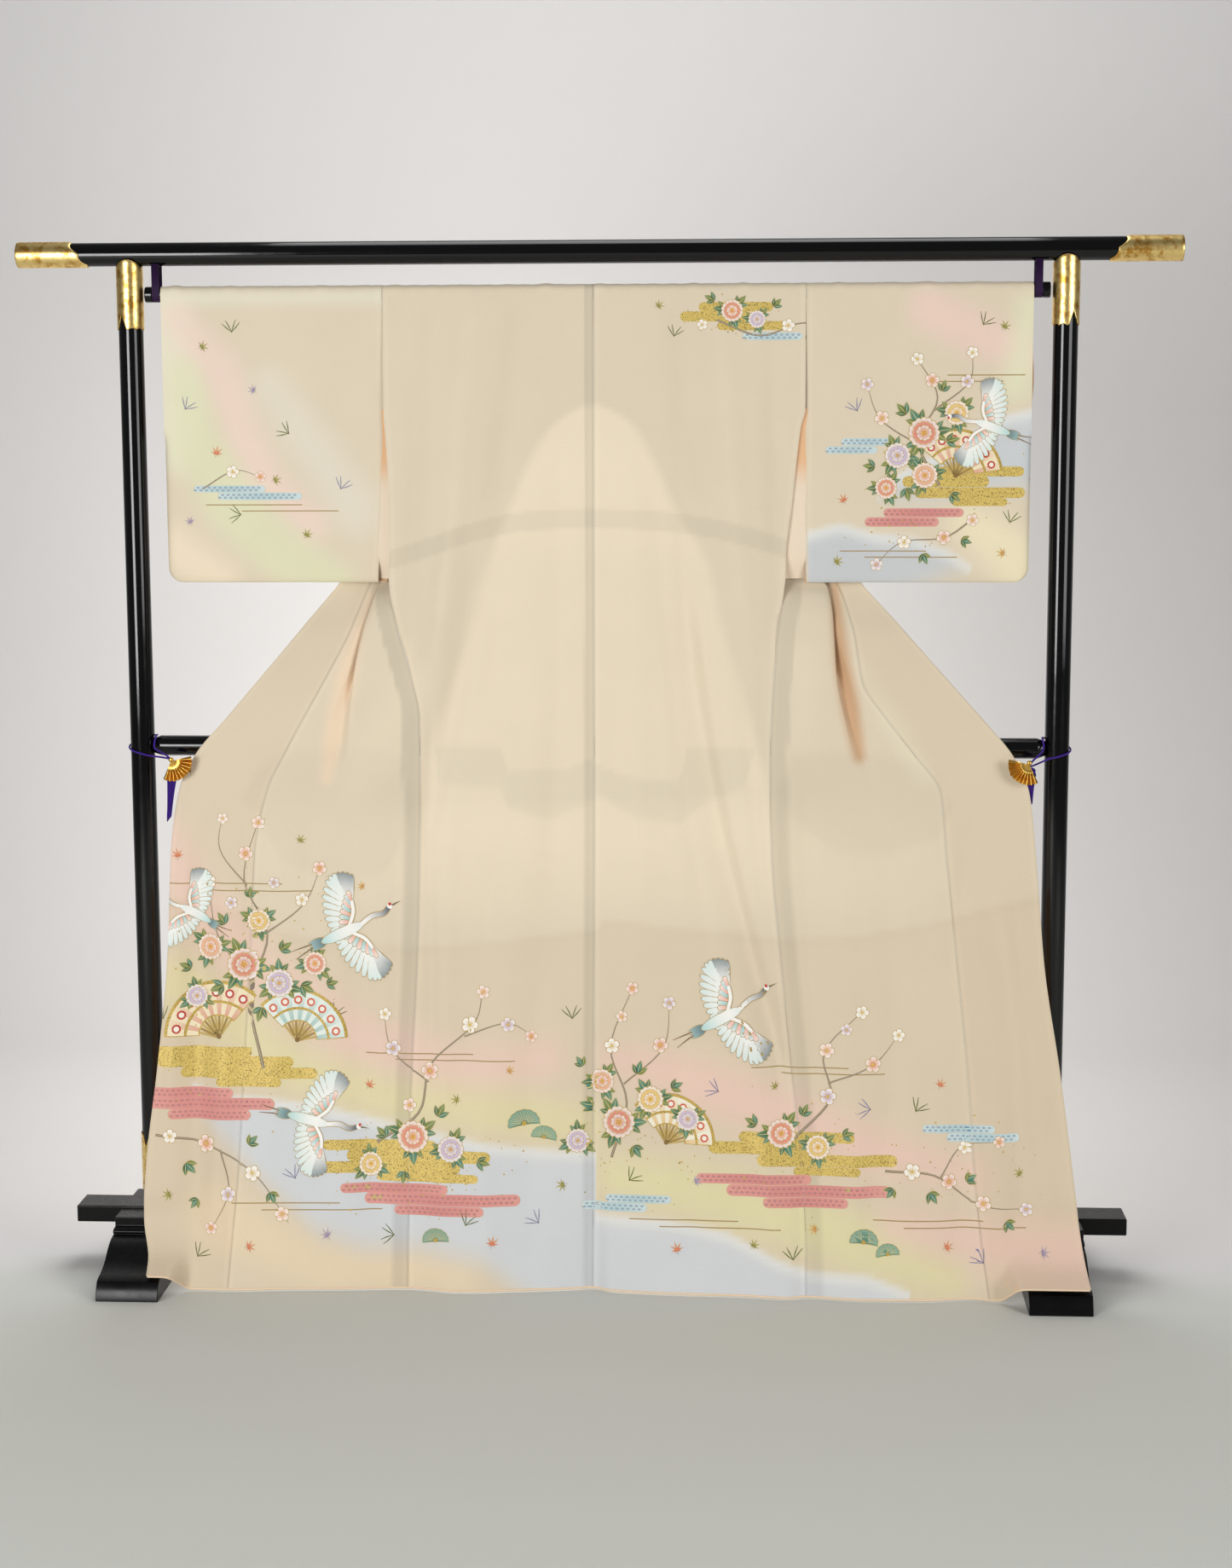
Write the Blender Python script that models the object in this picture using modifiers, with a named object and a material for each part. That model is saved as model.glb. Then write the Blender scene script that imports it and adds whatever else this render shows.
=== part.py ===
"""A homongi kimono hung with its back to the viewer on a black lacquered kimono stand.

The kimono hangs over a thin rod, which two straps hold under the top rail of the stand. Both
fronts are spread to the sides in front of the middle rail and held by small fan shaped clips.
Metres, Z up. X runs along the rail, the viewer stands on the -Y side, the feet stand on Z = 0.
"""

import math

import bpy
import bmesh
import numpy as np
from mathutils import Matrix, Vector

CM = 0.01                   # the tables below are in centimetres
GAP = 0.03                  # clearance between neighbouring pieces, cm

# Stand, cm
RAIL_LENGTH = 188.4
RAIL_RADIUS = 1.9
RAIL_Z = 169.55
RAIL_END_LENGTH = 10.7
RAIL_END_WALL = 0.17
UPRIGHT_X = 75.87
UPRIGHT_RADIUS = 2.0
SLEEVE_WALL = 0.14
TOP_SLEEVE_Z = (157.4, 167.5)
SHOE_Z = (12.4, 22.7)
MIDDLE_RAIL_Z = 89.0
MIDDLE_RAIL_RADIUS = 1.7
MIDDLE_RAIL_TAPER = 1.2
BAR_LENGTH = 177.6
BAR_DEPTH = 6.5
BAR_Z = (7.35, 10.2)
FOOT_WIDTH = 10.3
ROD_Z = 163.1
ROD_RADIUS = 1.1
ROD_LENGTH = 146.6
KNOB_LENGTH = 1.2
KNOB_RADIUS = 1.28
STRAP_X = 71.4
STRAP_WIDTH = 1.2
STRAP_WALL = 0.12

# Side profile of a foot: half depth and height of each corner from the floor up, cm
FOOT_PROFILE = [
    (22.4, 0.0), (21.4, 3.1), (20.4, 3.4), (17.8, 3.9), (15.4, 4.9), (13.4, 6.2), (11.4, 7.0),
    (9.6, 7.3), (9.8, 7.6), (9.8, 7.9), (9.4, 8.2), (8.2, 8.3), (8.2, 9.8),
]

# Garment, cm
CLOTH = 0.2                 # outer silk and lining together
SHOULDER_HALF = 34.3        # centre back seam to sleeve seam
SLEEVE_END = 70.6           # centre back seam to cuff
SLEEVE_BOTTOM = 116.3
CUFF_LOW = 141.0            # the outer sleeve edge is open above this
SLEEVE_CORNER = 2.4
HEM_Z = 0.62
ROD_STEPS = 6               # facets of the cloth over the rod
DRAPE_RADIUS = (ROD_RADIUS + GAP + CLOTH / 2) / math.cos(math.pi / 2 / ROD_STEPS)
COLLAR_WIDTH = 5.5
COLLAR_THICKNESS = 0.3
COLLAR_CLEAR = 0.12
HEM_ROLL_RADIUS = 0.17
HEM_POINT_STEP = 0.5

# How far in front of the rail the cloth hangs at each height
HANG_COLUMNS = ("z", "y")
HANG = [
    (163.1, -1.23), (150.0, -1.60), (130.0, -2.10), (116.0, -2.40), (100.0, -2.75), (88.0, -3.00),
    (82.0, -3.40), (72.0, -4.00), (54.0, -5.80), (36.0, -8.60), (18.0, -11.70), (8.0, -13.60), (0.6, -15.00),
]

# Where the hem wanders from the straight line, fading out upwards
HEM_WAVE_COLUMNS = ("x", "y")
HEM_WAVE = [
    (-80, -1.2), (-69, -1.6), (-60, -1.7), (-50, -0.8), (-40, -0.2), (-30.6, 0.6), (-22, -0.9), (-12, 0.2),
    (-3, 1.6), (0, 2.3), (3, 0.8), (14.8, -0.5), (25, -0.9), (32, -1.8), (35, -0.9), (44, -2.2), (54, -2.0),
    (62, -0.7), (66, -1.6), (80, -1.0),
]
HEM_WAVE_HEIGHT = 46.0

# Long soft folds: valleys are positive, ridges negative. Each runs through three points.
FOLD_COLUMNS = ("x1", "z1", "x2", "z2", "x3", "z3", "depth", "width")
FOLDS = [
    (-17.5, 128, -22.5, 100, -27.0, 78, 0.80, 2.0),
    (-22.5, 132, -25.5, 112, -27.5, 92, -0.45, 1.8),
    (12.0, 126, 17.5, 86, 31.0, 36, 0.90, 2.4),
    (20.0, 116, 24.0, 78, 30.0, 48, -0.50, 2.2),
    (-8.0, 118, -12.0, 70, -17.0, 22, -0.55, 4.0),
    (-37.5, 72, -39.0, 44, -36.0, 10, 0.70, 2.6),
    (-63.0, 84, -66.0, 52, -66.5, 8, 0.90, 2.3),
    (45.0, 70, 50.0, 44, 46.0, 10, 0.70, 2.8),
    (62.0, 80, 69.0, 44, 71.0, 8, 0.90, 2.3),
]

# Cuts through each front, one row for a height. Points of the cut, outwards from the side seam:
# side seam, edge of the near wall, bottom of the deep fold, edge of the far wall, okumi seam, front edge.
# Above the underarm the front lies behind the back and is turned over along the deep fold.
FRONT_COLUMNS = (
    "z", "seam_x", "seam_y", "near_x", "near_y", "fold_x", "fold_y",
    "far_x", "far_y", "okumi_x", "okumi_y", "edge_x", "edge_y",
)
CUT_NAMES = ("seam", "near", "fold", "far", "okumi", "edge")
FRONT_TOP = [
    (163.1, 34.3, 1.23, 25.7, 1.23, 17.1, 1.23, 8.6, 1.23, 0.0, 1.23, 0.0, 1.23),
    (162.3, 34.3, 1.23, 27.0, 1.23, 20.0, 1.23, 14.0, 1.24, 8.8, 1.25, 8.8, 1.25),
    (160.8, 34.3, 1.25, 25.0, 1.25, 16.0, 1.32, 13.0, 1.42, 10.9, 1.45, 10.9, 1.45),
    (157.0, 34.3, 1.30, 22.6, 1.35, 11.2, 1.80, 12.4, 2.30, 13.6, 2.30, 13.6, 2.30),
    (150.0, 34.3, 1.42, 23.7, 1.50, 13.1, 2.10, 16.0, 2.80, 18.6, 2.80, 18.7, 2.80),
]
FRONT_LEFT = FRONT_TOP + [
    (138.0, 34.8, 1.45, 26.0, 1.70, 17.3, 2.50, 22.0, 3.20, 26.2, 3.20, 26.8, 3.20),
    (130.0, 35.0, 1.40, 28.4, 2.10, 20.0, 3.30, 27.0, 3.70, 30.7, 3.30, 32.5, 3.20),
    (124.0, 34.6, 1.30, 31.6, 1.75, 22.5, 5.00, 28.5, 3.70, 33.4, 3.00, 36.7, 2.80),
    (119.0, 34.0, 1.25, 34.2, 1.80, 25.8, 6.20, 32.0, 3.60, 36.0, 2.60, 40.2, 2.40),
    (117.0, 33.8, 1.15, 35.2, 1.75, 27.8, 6.40, 34.4, 3.10, 37.0, 2.30, 41.7, 2.20),
    (114.0, 33.5, -1.50, 36.4, 0.40, 31.6, 6.20, 37.0, 1.60, 38.2, 1.30, 44.2, 1.60),
    (111.0, 32.9, -2.45, 37.4, -0.90, 33.3, 5.30, 38.2, 0.40, 39.4, 0.20, 46.7, 0.90),
    (108.0, 32.2, -2.60, 38.3, -1.70, 34.8, 4.20, 39.5, -0.60, 40.6, -0.80, 49.2, 0.10),
    (100.0, 30.0, -2.80, 39.8, -2.80, 39.2, 0.00, 41.8, -2.20, 44.8, -2.30, 56.0, -1.40),
    (94.0, 28.9, -2.90, 40.4, -3.05, 41.5, -1.60, 43.4, -2.75, 48.2, -2.80, 61.1, -2.30),
    (88.0, 28.9, -3.00, 41.0, -3.20, 42.5, -2.50, 44.4, -3.05, 51.5, -3.00, 66.3, -2.80),
    (82.0, 28.9, -3.40, 42.0, -3.45, 43.8, -3.30, 45.8, -3.45, 54.4, -3.40, 69.2, -3.40),
    (72.0, 29.0, -4.00, 42.5, -4.00, 44.6, -4.00, 46.8, -4.00, 56.6, -4.00, 70.7, -4.00),
    (54.0, 29.4, -5.80, 43.0, -5.80, 45.4, -5.80, 48.0, -5.80, 57.5, -5.80, 71.4, -5.80),
    (36.0, 30.2, -8.60, 43.6, -8.60, 46.2, -8.60, 49.0, -8.60, 58.3, -8.60, 72.9, -8.60),
    (20.0, 30.6, -11.4, 44.0, -11.4, 46.8, -11.4, 49.6, -11.4, 58.9, -11.4, 74.5, -11.4),
    (10.0, 30.6, -13.2, 44.3, -13.2, 47.2, -13.2, 50.2, -13.2, 59.6, -13.2, 74.8, -13.2),
    (0.62, 30.6, -15.0, 44.6, -15.0, 47.6, -15.0, 50.8, -15.0, 60.3, -15.0, 72.8, -15.0),
]
FRONT_RIGHT = FRONT_TOP + [
    (138.0, 34.9, 1.45, 26.0, 1.70, 17.3, 2.50, 22.5, 3.20, 26.8, 3.20, 27.4, 3.20),
    (130.0, 35.0, 1.40, 28.4, 2.10, 20.0, 3.30, 27.5, 3.70, 31.6, 3.30, 33.3, 3.20),
    (124.0, 33.6, 1.25, 31.6, 1.75, 22.5, 5.00, 29.0, 3.70, 34.4, 3.00, 37.7, 2.80),
    (119.0, 31.5, 1.20, 35.6, 1.80, 27.0, 6.40, 33.0, 3.60, 37.8, 2.50, 41.4, 2.40),
    (117.0, 31.25, 1.10, 37.3, 1.75, 29.4, 6.60, 35.6, 3.10, 39.0, 2.20, 42.8, 2.20),
    (114.0, 30.9, -1.60, 38.5, 0.40, 31.8, 6.20, 38.6, 1.60, 40.6, 1.30, 45.4, 1.60),
    (111.0, 30.4, -2.50, 39.2, -0.90, 34.6, 5.60, 40.4, 0.40, 41.6, 0.20, 48.2, 0.90),
    (108.0, 30.0, -2.60, 39.8, -1.70, 35.8, 4.50, 41.2, -0.60, 42.5, -0.80, 50.9, 0.10),
    (100.0, 29.4, -2.80, 41.0, -2.80, 39.6, 1.60, 42.8, -1.90, 43.9, -2.10, 58.1, -1.40),
    (94.0, 29.1, -2.90, 42.2, -3.05, 42.4, -0.60, 45.0, -2.60, 47.9, -2.70, 63.5, -2.30),
    (88.0, 28.9, -3.00, 43.0, -3.20, 44.1, -2.20, 46.6, -3.00, 52.6, -3.00, 68.5, -2.80),
    (82.0, 28.9, -3.40, 44.4, -3.45, 46.2, -3.30, 48.6, -3.45, 56.8, -3.40, 71.2, -3.40),
    (72.0, 29.2, -4.00, 44.4, -4.00, 46.4, -4.00, 48.8, -4.00, 57.8, -4.00, 72.4, -4.00),
    (54.0, 30.8, -5.80, 45.4, -5.80, 47.6, -5.80, 50.0, -5.80, 59.7, -5.80, 73.9, -5.80),
    (36.0, 32.7, -8.60, 47.0, -8.60, 49.2, -8.60, 51.6, -8.60, 61.5, -8.60, 76.6, -8.60),
    (20.0, 34.4, -11.4, 48.6, -11.4, 51.0, -11.4, 53.4, -11.4, 62.6, -11.4, 78.6, -11.4),
    (10.0, 35.0, -13.2, 49.4, -13.2, 52.0, -13.2, 54.6, -13.2, 63.6, -13.2, 79.6, -13.2),
    (0.62, 35.1, -15.0, 50.0, -15.0, 52.8, -15.0, 55.6, -15.0, 64.9, -15.0, 80.7, -15.0),
]
FRONTS = {"left": (FRONT_LEFT, -1.0), "right": (FRONT_RIGHT, 1.0)}

# Side edge of the back above the seam; below it the back ends at the fronts' side seam
SLIT_COLUMNS = ("z", "x")
SLIT = {
    "left": [(150.0, 34.3), (143.8, 34.25), (130.0, 33.6), (121.0, 33.6), (117.0, 33.8)],
    "right": [(150.0, 34.3), (143.8, 33.6), (130.0, 32.3), (121.0, 31.3), (117.0, 31.25)],
}

# Heights of the cross threads of the mesh, from the hem up the back and down the front
BACK_HEIGHTS = [
    0.62, 4, 8, 14, 20, 28, 36, 45, 54, 63, 72, 80, 88, 96, 104, 112, 119, 124, 130, 137, 144, 150, 157,
    163.1,
]
FRONT_HEIGHTS = [
    162.3, 160.8, 157, 150, 144, 138, 134, 130, 127, 124, 121.5, 119, 117, 114, 111, 108, 104, 100, 97, 94,
    91, 88, 85, 82, 77, 72, 63, 54, 45, 36, 28, 20, 14, 8, 4, 0.62,
]
PANEL_STEPS = (3, 3, 3, 3)   # mesh columns between the first five points of a cut
OKUMI_STEPS = 5
OKUMI_TOP = 138.0

# The hem lies over the feet at the outer corners
FOOT_DRAPE_COLUMNS = ("z", "y")
FOOT_DRAPE = [
    (16.0, -12.0), (11.0, -13.3), (8.0, -14.8), (6.2, -16.4), (5.2, -18.2), (4.6, -19.8), (3.95, -21.3),
]
FOOT_DRAPE_FROM = 66.6      # distance from the middle where the hem starts to climb
FOOT_DRAPE_FULL = 69.6
FOOT_HEM_Z = 4.05

# Fan clips, ties and tassels, cm
FAN_RINGS = ((0.35, 0.0), (1.4, 0.0), (1.55, 0.6), (3.4, 1.0))   # radius and share of the pleat depth
FAN_PLEATS = 11
FAN_PLEAT_DEPTH = 0.1
FAN_SPAN = (-13.0, 116.0)   # degrees below the horizontal, towards the garment
FAN_Y = -4.95
FAN_WALL = 0.1
JAW_INSET = 2.4             # from the fan's pivot towards the garment
JAW_Z = 85.6
JAW_SIZE = (1.0, 1.4)       # width and height
FAN_Z = 87.0
CLIPS = {"left": (-70.0, -1.0), "right": (70.9, 1.0)}
CORD_RADIUS = 0.18
TIE_BEND = {"left": (71.4, -3.6, 87.35), "right": (71.4, -2.95, 86.42)}   # first bend past the clip
TIE_RETURN = [(2.35, 0.45, 90.72), (2.4, -0.9, 90.5), (2.35, -1.85, 89.6), (2.7, -2.65, 88.7)]
TASSEL_COLUMNS = ("x", "y", "lean", "length")
TASSELS = {"left": (-70.0, -4.41, -0.06, 9.5), "right": (71.4, -2.78, 0.0, 6.6)}
TASSEL_HEAD = (0.8, 0.36)   # half width and half depth
TASSEL_Z = (85.0, 86.2)     # bottom and top of the head
TASSEL_TAPER = 0.55         # width at the tips over width at the head
STRANDS = (7, 3)            # across and deep
STRAND_GAP = 0.03


def clear_scene():
    """Remove every object of the open file."""
    for old in list(bpy.data.objects):
        bpy.data.objects.remove(old, do_unlink=True)


def new_collection(name):
    """Make a collection for the finished parts."""
    made = bpy.data.collections.new(name)
    bpy.context.scene.collection.children.link(made)
    return made


def finish(name, colour, roughness, metallic=0.0):
    """A plain principled material."""
    made = bpy.data.materials.new(name)
    made.use_nodes = True
    shader = made.node_tree.nodes["Principled BSDF"]
    shader.inputs["Base Color"].default_value = (*colour, 1.0)
    shader.inputs["Roughness"].default_value = roughness
    shader.inputs["Metallic"].default_value = metallic
    return made


def place(obj, material):
    """Put an object into the part's collection with its own material."""
    for holder in list(obj.users_collection):
        holder.objects.unlink(obj)
    PARTS.objects.link(obj)
    obj.data.materials.clear()
    obj.data.materials.append(material)
    return obj


def table(rows, columns, name):
    """One column of a table as an array."""
    return np.array([row[columns.index(name)] for row in rows], dtype=float)


def smooth(known, values, wanted):
    """Cubic curve through a table, with the slope at a row taken from its neighbours, limited so
    that it never overshoots."""
    order = np.argsort(known)
    t = np.asarray(known, float)[order]
    v = np.asarray(values, float)[order]
    step = np.diff(t)
    slope = np.diff(v) / step
    tangent = np.zeros_like(v)
    tangent[0], tangent[-1] = slope[0], slope[-1]
    same = slope[:-1] * slope[1:] > 0
    safe = np.where(same, slope[:-1] + slope[1:], 1.0)
    tangent[1:-1] = np.where(same, 2 * slope[:-1] * slope[1:] / safe, 0.0)
    wanted = np.clip(np.asarray(wanted, float), t[0], t[-1])
    i = np.clip(np.searchsorted(t, wanted, side="right") - 1, 0, len(t) - 2)
    u = (wanted - t[i]) / step[i]
    return (
        v[i] * (2 * u**3 - 3 * u**2 + 1)
        + tangent[i] * step[i] * (u**3 - 2 * u**2 + u)
        + v[i + 1] * (3 * u**2 - 2 * u**3)
        + tangent[i + 1] * step[i] * (u**3 - u**2)
    )


def ease(t):
    """Smooth step from 0 to 1."""
    t = np.clip(t, 0.0, 1.0)
    return t * t * (3 - 2 * t)


def hem_height(x):
    """Height of the hem: level, and lifted where it lies over a foot."""
    climb = ease((np.abs(x) - FOOT_DRAPE_FROM) / (FOOT_DRAPE_FULL - FOOT_DRAPE_FROM))
    return HEM_Z + (FOOT_HEM_Z - HEM_Z) * climb


def fold_offset(x, z):
    """Sum of the long folds: each is a bell across a line through three points, fading at its ends."""
    total = np.zeros(np.broadcast(x, z).shape)
    for row in FOLDS:
        fold = dict(zip(FOLD_COLUMNS, row))
        high, low = fold["z1"], fold["z3"]
        middle = smooth([low, fold["z2"], high], [fold["x3"], fold["x2"], fold["x1"]], z)
        fade = ease((high - z) / (0.3 * (high - low))) * ease((z - low) / (0.2 * (high - low)) + 0.5)
        total = total + fold["depth"] * fade * np.exp(-(((x - middle) / fold["width"]) ** 2))
    return total


def hang_y(x, z):
    """Depth of the hanging cloth: the hang line, the hem's waves, the long folds and the drape over
    the feet."""
    y = smooth(table(HANG, HANG_COLUMNS, "z"), table(HANG, HANG_COLUMNS, "y"), z)
    wave = smooth(table(HEM_WAVE, HEM_WAVE_COLUMNS, "x"), table(HEM_WAVE, HEM_WAVE_COLUMNS, "y"), x)
    y = y + wave * np.clip(1 - z / HEM_WAVE_HEIGHT, 0, 1) ** 1.4 + fold_offset(x, z)
    over = smooth(table(FOOT_DRAPE, FOOT_DRAPE_COLUMNS, "z"), table(FOOT_DRAPE, FOOT_DRAPE_COLUMNS, "y"), z)
    low = ease((16.0 - z) / 5.0)
    share = ease((np.abs(x) - FOOT_DRAPE_FROM) / (FOOT_DRAPE_FULL - FOOT_DRAPE_FROM)) * low
    return y * (1 - share) + over * share


def cut_points(side, z):
    """The six points of a front's cut at height z, outwards positive."""
    rows = FRONTS[side][0]
    known = table(rows, FRONT_COLUMNS, "z")
    xs = [smooth(known, table(rows, FRONT_COLUMNS, c + "_x"), z) for c in CUT_NAMES]
    ys = [smooth(known, table(rows, FRONT_COLUMNS, c + "_y"), z) for c in CUT_NAMES]
    return np.array(xs), np.array(ys)


def curve_through(points, per_span):
    """Catmull-Rom curve through plan points: positions and, for each, its place counted in spans."""
    points = np.asarray(points, float)
    ends = np.vstack([2 * points[0] - points[1], points, 2 * points[-1] - points[-2]])
    out, place_in = [], []
    for i in range(len(points) - 1):
        p0, p1, p2, p3 = ends[i], ends[i + 1], ends[i + 2], ends[i + 3]
        pull = 0.5 * min(1.0, np.linalg.norm(p2 - p1) / max(np.linalg.norm(p2 - p0), 1e-6))
        push = 0.5 * min(1.0, np.linalg.norm(p2 - p1) / max(np.linalg.norm(p3 - p1), 1e-6))
        t = np.linspace(0, 1, per_span, endpoint=i == len(points) - 2)[:, None]
        m1, m2 = (p2 - p0) * pull, (p3 - p1) * push
        out.append(
            p1 * (2 * t**3 - 3 * t**2 + 1) + m1 * (t**3 - 2 * t**2 + t) + p2 * (3 * t**2 - 2 * t**3)
            + m2 * (t**3 - t**2)
        )
        place_in.append(i + t[:, 0])
    return np.vstack(out), np.concatenate(place_in)


def front_cut(side, z, first, last, steps):
    """Points of a front's cut at height z from one named point to another. High up the columns are
    spread evenly along the cloth, lower down they follow the edges of the deep fold."""
    xs, ys = cut_points(side, z)
    curve, spans = curve_through(np.column_stack([xs, ys]), 24)
    keep = (spans >= first - 1e-9) & (spans <= last + 1e-9)
    curve, spans = curve[keep], spans[keep]
    length = np.concatenate([[0], np.cumsum(np.linalg.norm(np.diff(curve, axis=0), axis=1))])
    marks = np.concatenate([[first], *[
        first + i + np.arange(1, n + 1) / n for i, n in enumerate(steps)
    ]])
    by_span = np.interp(marks, spans, length)
    even = np.linspace(0, length[-1], len(marks))
    share = ease((z - 122.0) / 20.0)
    at = by_span * (1 - share) + even * share
    return np.column_stack([np.interp(at, length, curve[:, 0]), np.interp(at, length, curve[:, 1])])


def front_row(side, z, first, last, steps):
    """A front's cut as points in space, lower down laid on the hanging cloth."""
    sign = FRONTS[side][1]
    cut = front_cut(side, z, first, last, steps)
    x, y = cut[:, 0] * sign, cut[:, 1]
    lift = hem_height(x)
    height = np.where(z < 20.0, lift + (z - HEM_Z) * (20.0 - lift) / (20.0 - HEM_Z), z)
    share = ease((90.0 - z) / 8.0)
    y = y * (1 - share) + hang_y(x, height) * share + fold_offset(x, height) * (1 - share) * (z < 100.0)
    return np.column_stack([x, y, height])


def seam_gap(points, inner, outer):
    """Pull the two ends of a row in by half a seam clearance each."""
    points = points.copy()
    if inner:
        along = points[1] - points[0]
        points[0] += along / np.linalg.norm(along) * GAP * inner
    if outer:
        along = points[-2] - points[-1]
        points[-1] += along / np.linalg.norm(along) * GAP * outer
    return points


def body_rows(side):
    """One body panel: up the back from the hem, over the rod and down the front to the hem."""
    rows, sign = FRONTS[side]
    columns = sum(PANEL_STEPS)
    heights = table(rows, FRONT_COLUMNS, "z")
    seams = table(rows, FRONT_COLUMNS, "seam_x")
    share = np.linspace(0, 1, columns + 1)
    slit = SLIT[side]
    out = []
    for z in BACK_HEIGHTS:
        low = smooth(heights, seams, z)
        high = smooth(table(slit, SLIT_COLUMNS, "z"), table(slit, SLIT_COLUMNS, "x"), z)
        x = (high if z > slit[-1][0] else low) * (1 - share) * sign
        out.append(seam_gap(np.column_stack([x, hang_y(x, z), np.full_like(x, z)]), 1.0, 1.2))
    for step in range(1, ROD_STEPS + 1):
        turn = math.pi * step / ROD_STEPS
        x = SHOULDER_HALF * (1 - share) * sign
        y, z = -DRAPE_RADIUS * math.cos(turn), ROD_Z + DRAPE_RADIUS * math.sin(turn)
        ring = np.column_stack([x, np.full_like(x, y), np.full_like(x, z)])
        out.append(seam_gap(ring, 0.5, 0.5))
    for z in FRONT_HEIGHTS:
        out.append(seam_gap(front_row(side, z, 0, 4, PANEL_STEPS), 1.0, 0.5))
    return np.array(out)


def okumi_rows(side):
    """The overlap strip between a front and its front edge."""
    return np.array([
        seam_gap(front_row(side, z, 4, 5, (OKUMI_STEPS,)), 1.0, 0)
        for z in FRONT_HEIGHTS if z <= OKUMI_TOP
    ])


def sheet(name, rows, thickness, material, extra_faces=(), closed=False):
    """A cloth wall on a grid of points, in centimetres, with even thickness to both sides."""
    count, width = rows.shape[:2]
    points = (rows.reshape(-1, 3) * CM).tolist()
    faces = []
    for i in range(count - 1):
        for j in range(width if closed else width - 1):
            k = (j + 1) % width
            faces.append((i * width + j, i * width + k, (i + 1) * width + k, (i + 1) * width + j))
    faces.extend(extra_faces)
    mesh = bpy.data.meshes.new(name)
    mesh.from_pydata(points, [], faces)
    mesh.update()
    mesh.shade_smooth()
    obj = bpy.data.objects.new(name, mesh)
    PARTS.objects.link(obj)
    wall = obj.modifiers.new("Wall", "SOLIDIFY")
    wall.thickness = thickness * CM
    wall.offset = 0.0
    wall.use_rim = True
    return place(obj, material)


def sleeve_rows(side):
    """Closed loops of the sleeve from its inner edge to the cuff. A loop goes up the back, over the
    rod, down the front and round the bottom seam."""
    sign = FRONTS[side][1]
    across = np.array([0, 0.06, 0.25, 0.5, 0.75, 0.9, 0.965, 1.0])
    heights = [118.0, 120.5, 126.0, 134.0, CUFF_LOW, 150.0, 157.0, ROD_Z]
    out = []
    for share in across:
        x = SHOULDER_HALF + GAP / 2 + share * (SLEEVE_END - SHOULDER_HALF - GAP / 2)
        from_end = SLEEVE_END - x
        corner = SLEEVE_CORNER - math.sqrt(max(SLEEVE_CORNER**2 - max(SLEEVE_CORNER - from_end, 0) ** 2, 0))
        bottom = SLEEVE_BOTTOM + corner
        pinch = 0.55 + 0.45 * ease(from_end / 3.0)
        ring = []
        for z in heights:
            low = bottom + (z - SLEEVE_BOTTOM) * (CUFF_LOW - bottom) / (CUFF_LOW - SLEEVE_BOTTOM)
            height = low if z < CUFF_LOW else z
            narrow = pinch if z < CUFF_LOW else 1.0
            half = DRAPE_RADIUS - 0.33 * (ROD_Z - z) / (ROD_Z - SLEEVE_BOTTOM)
            ring.append((-half * narrow - 0.1 * (ROD_Z - z) / (ROD_Z - SLEEVE_BOTTOM), height))
        turns = [math.pi * k / ROD_STEPS for k in range(1, ROD_STEPS)]
        top = [(-DRAPE_RADIUS * math.cos(a), ROD_Z + DRAPE_RADIUS * math.sin(a)) for a in turns]
        front = [(-y - 0.15 * (ROD_Z - z) / (ROD_Z - SLEEVE_BOTTOM), z) for y, z in reversed(ring)]
        under = [(0.35 * pinch - 0.1, bottom), (-0.35 * pinch - 0.1, bottom)]
        loop = ring + top + front + under
        out.append([(x * sign, y, z) for y, z in loop])
    return np.array(out), len(heights)


def sleeve(side, material):
    """A sleeve: open at the inner edge and at the cuff, closed along the outer edge below the cuff."""
    rows, layers = sleeve_rows(side)
    stations, width = rows.shape[:2]
    last = (stations - 1) * width
    closing = []
    back = list(range(layers))
    front = [layers + (ROD_STEPS - 1) + (layers - 1 - i) for i in range(layers)]
    cuff = 4
    for i in range(cuff):
        closing.append((last + back[i], last + back[i + 1], last + front[i + 1], last + front[i]))
    closing.append((last + back[0], last + front[0], last + front[0] + 1, last + front[0] + 2))
    return sheet(f"sleeve_{side}", rows, CLOTH, material, closing, closed=True)


def collar_path(side):
    """Front edge of the garment from the middle of the neck down to the clip: x, y, z."""
    rows, sign = FRONTS[side]
    known = table(rows, FRONT_COLUMNS, "z")
    neck = [(0.0, 1.34, 162.95), (4.4, 1.34, 162.9), (8.2, 1.36, 162.3)]
    out = [(x * sign, y, z) for x, y, z in neck]
    for z in (160.6, 157, 152, 146, 140, 134, 128, 122, 116, 110, 104, 98, 93, 88.5, 85.8):
        x = smooth(known, table(rows, FRONT_COLUMNS, "edge_x"), z)
        y = smooth(known, table(rows, FRONT_COLUMNS, "edge_y"), z)
        out.append((float(x) * sign, float(y), float(z)))
    return out


def collar_strip(path):
    """The collar, folded back behind the front edge: a band on the inner side of its path."""
    path = np.array(path)
    tangent = np.gradient(path, axis=0)
    tangent[:, 1] = 0
    tangent /= np.linalg.norm(tangent, axis=1)[:, None]
    inward = np.column_stack([tangent[:, 2], np.zeros(len(path)), -tangent[:, 0]])
    inward[inward[:, 2] > 0] *= -1
    tilt = 0.02 + 0.30 * ease((path[:, 2] - 98.0) / 14.0) * ease((161.0 - path[:, 2]) / 12.0)
    out = []
    for across in (-0.05, COLLAR_WIDTH / 2, COLLAR_WIDTH):
        strip = path + inward * across
        strip[:, 1] += CLOTH / 2 + COLLAR_CLEAR + COLLAR_THICKNESS / 2 + tilt * across
        out.append(strip)
    return np.array(out).transpose(1, 0, 2)


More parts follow.
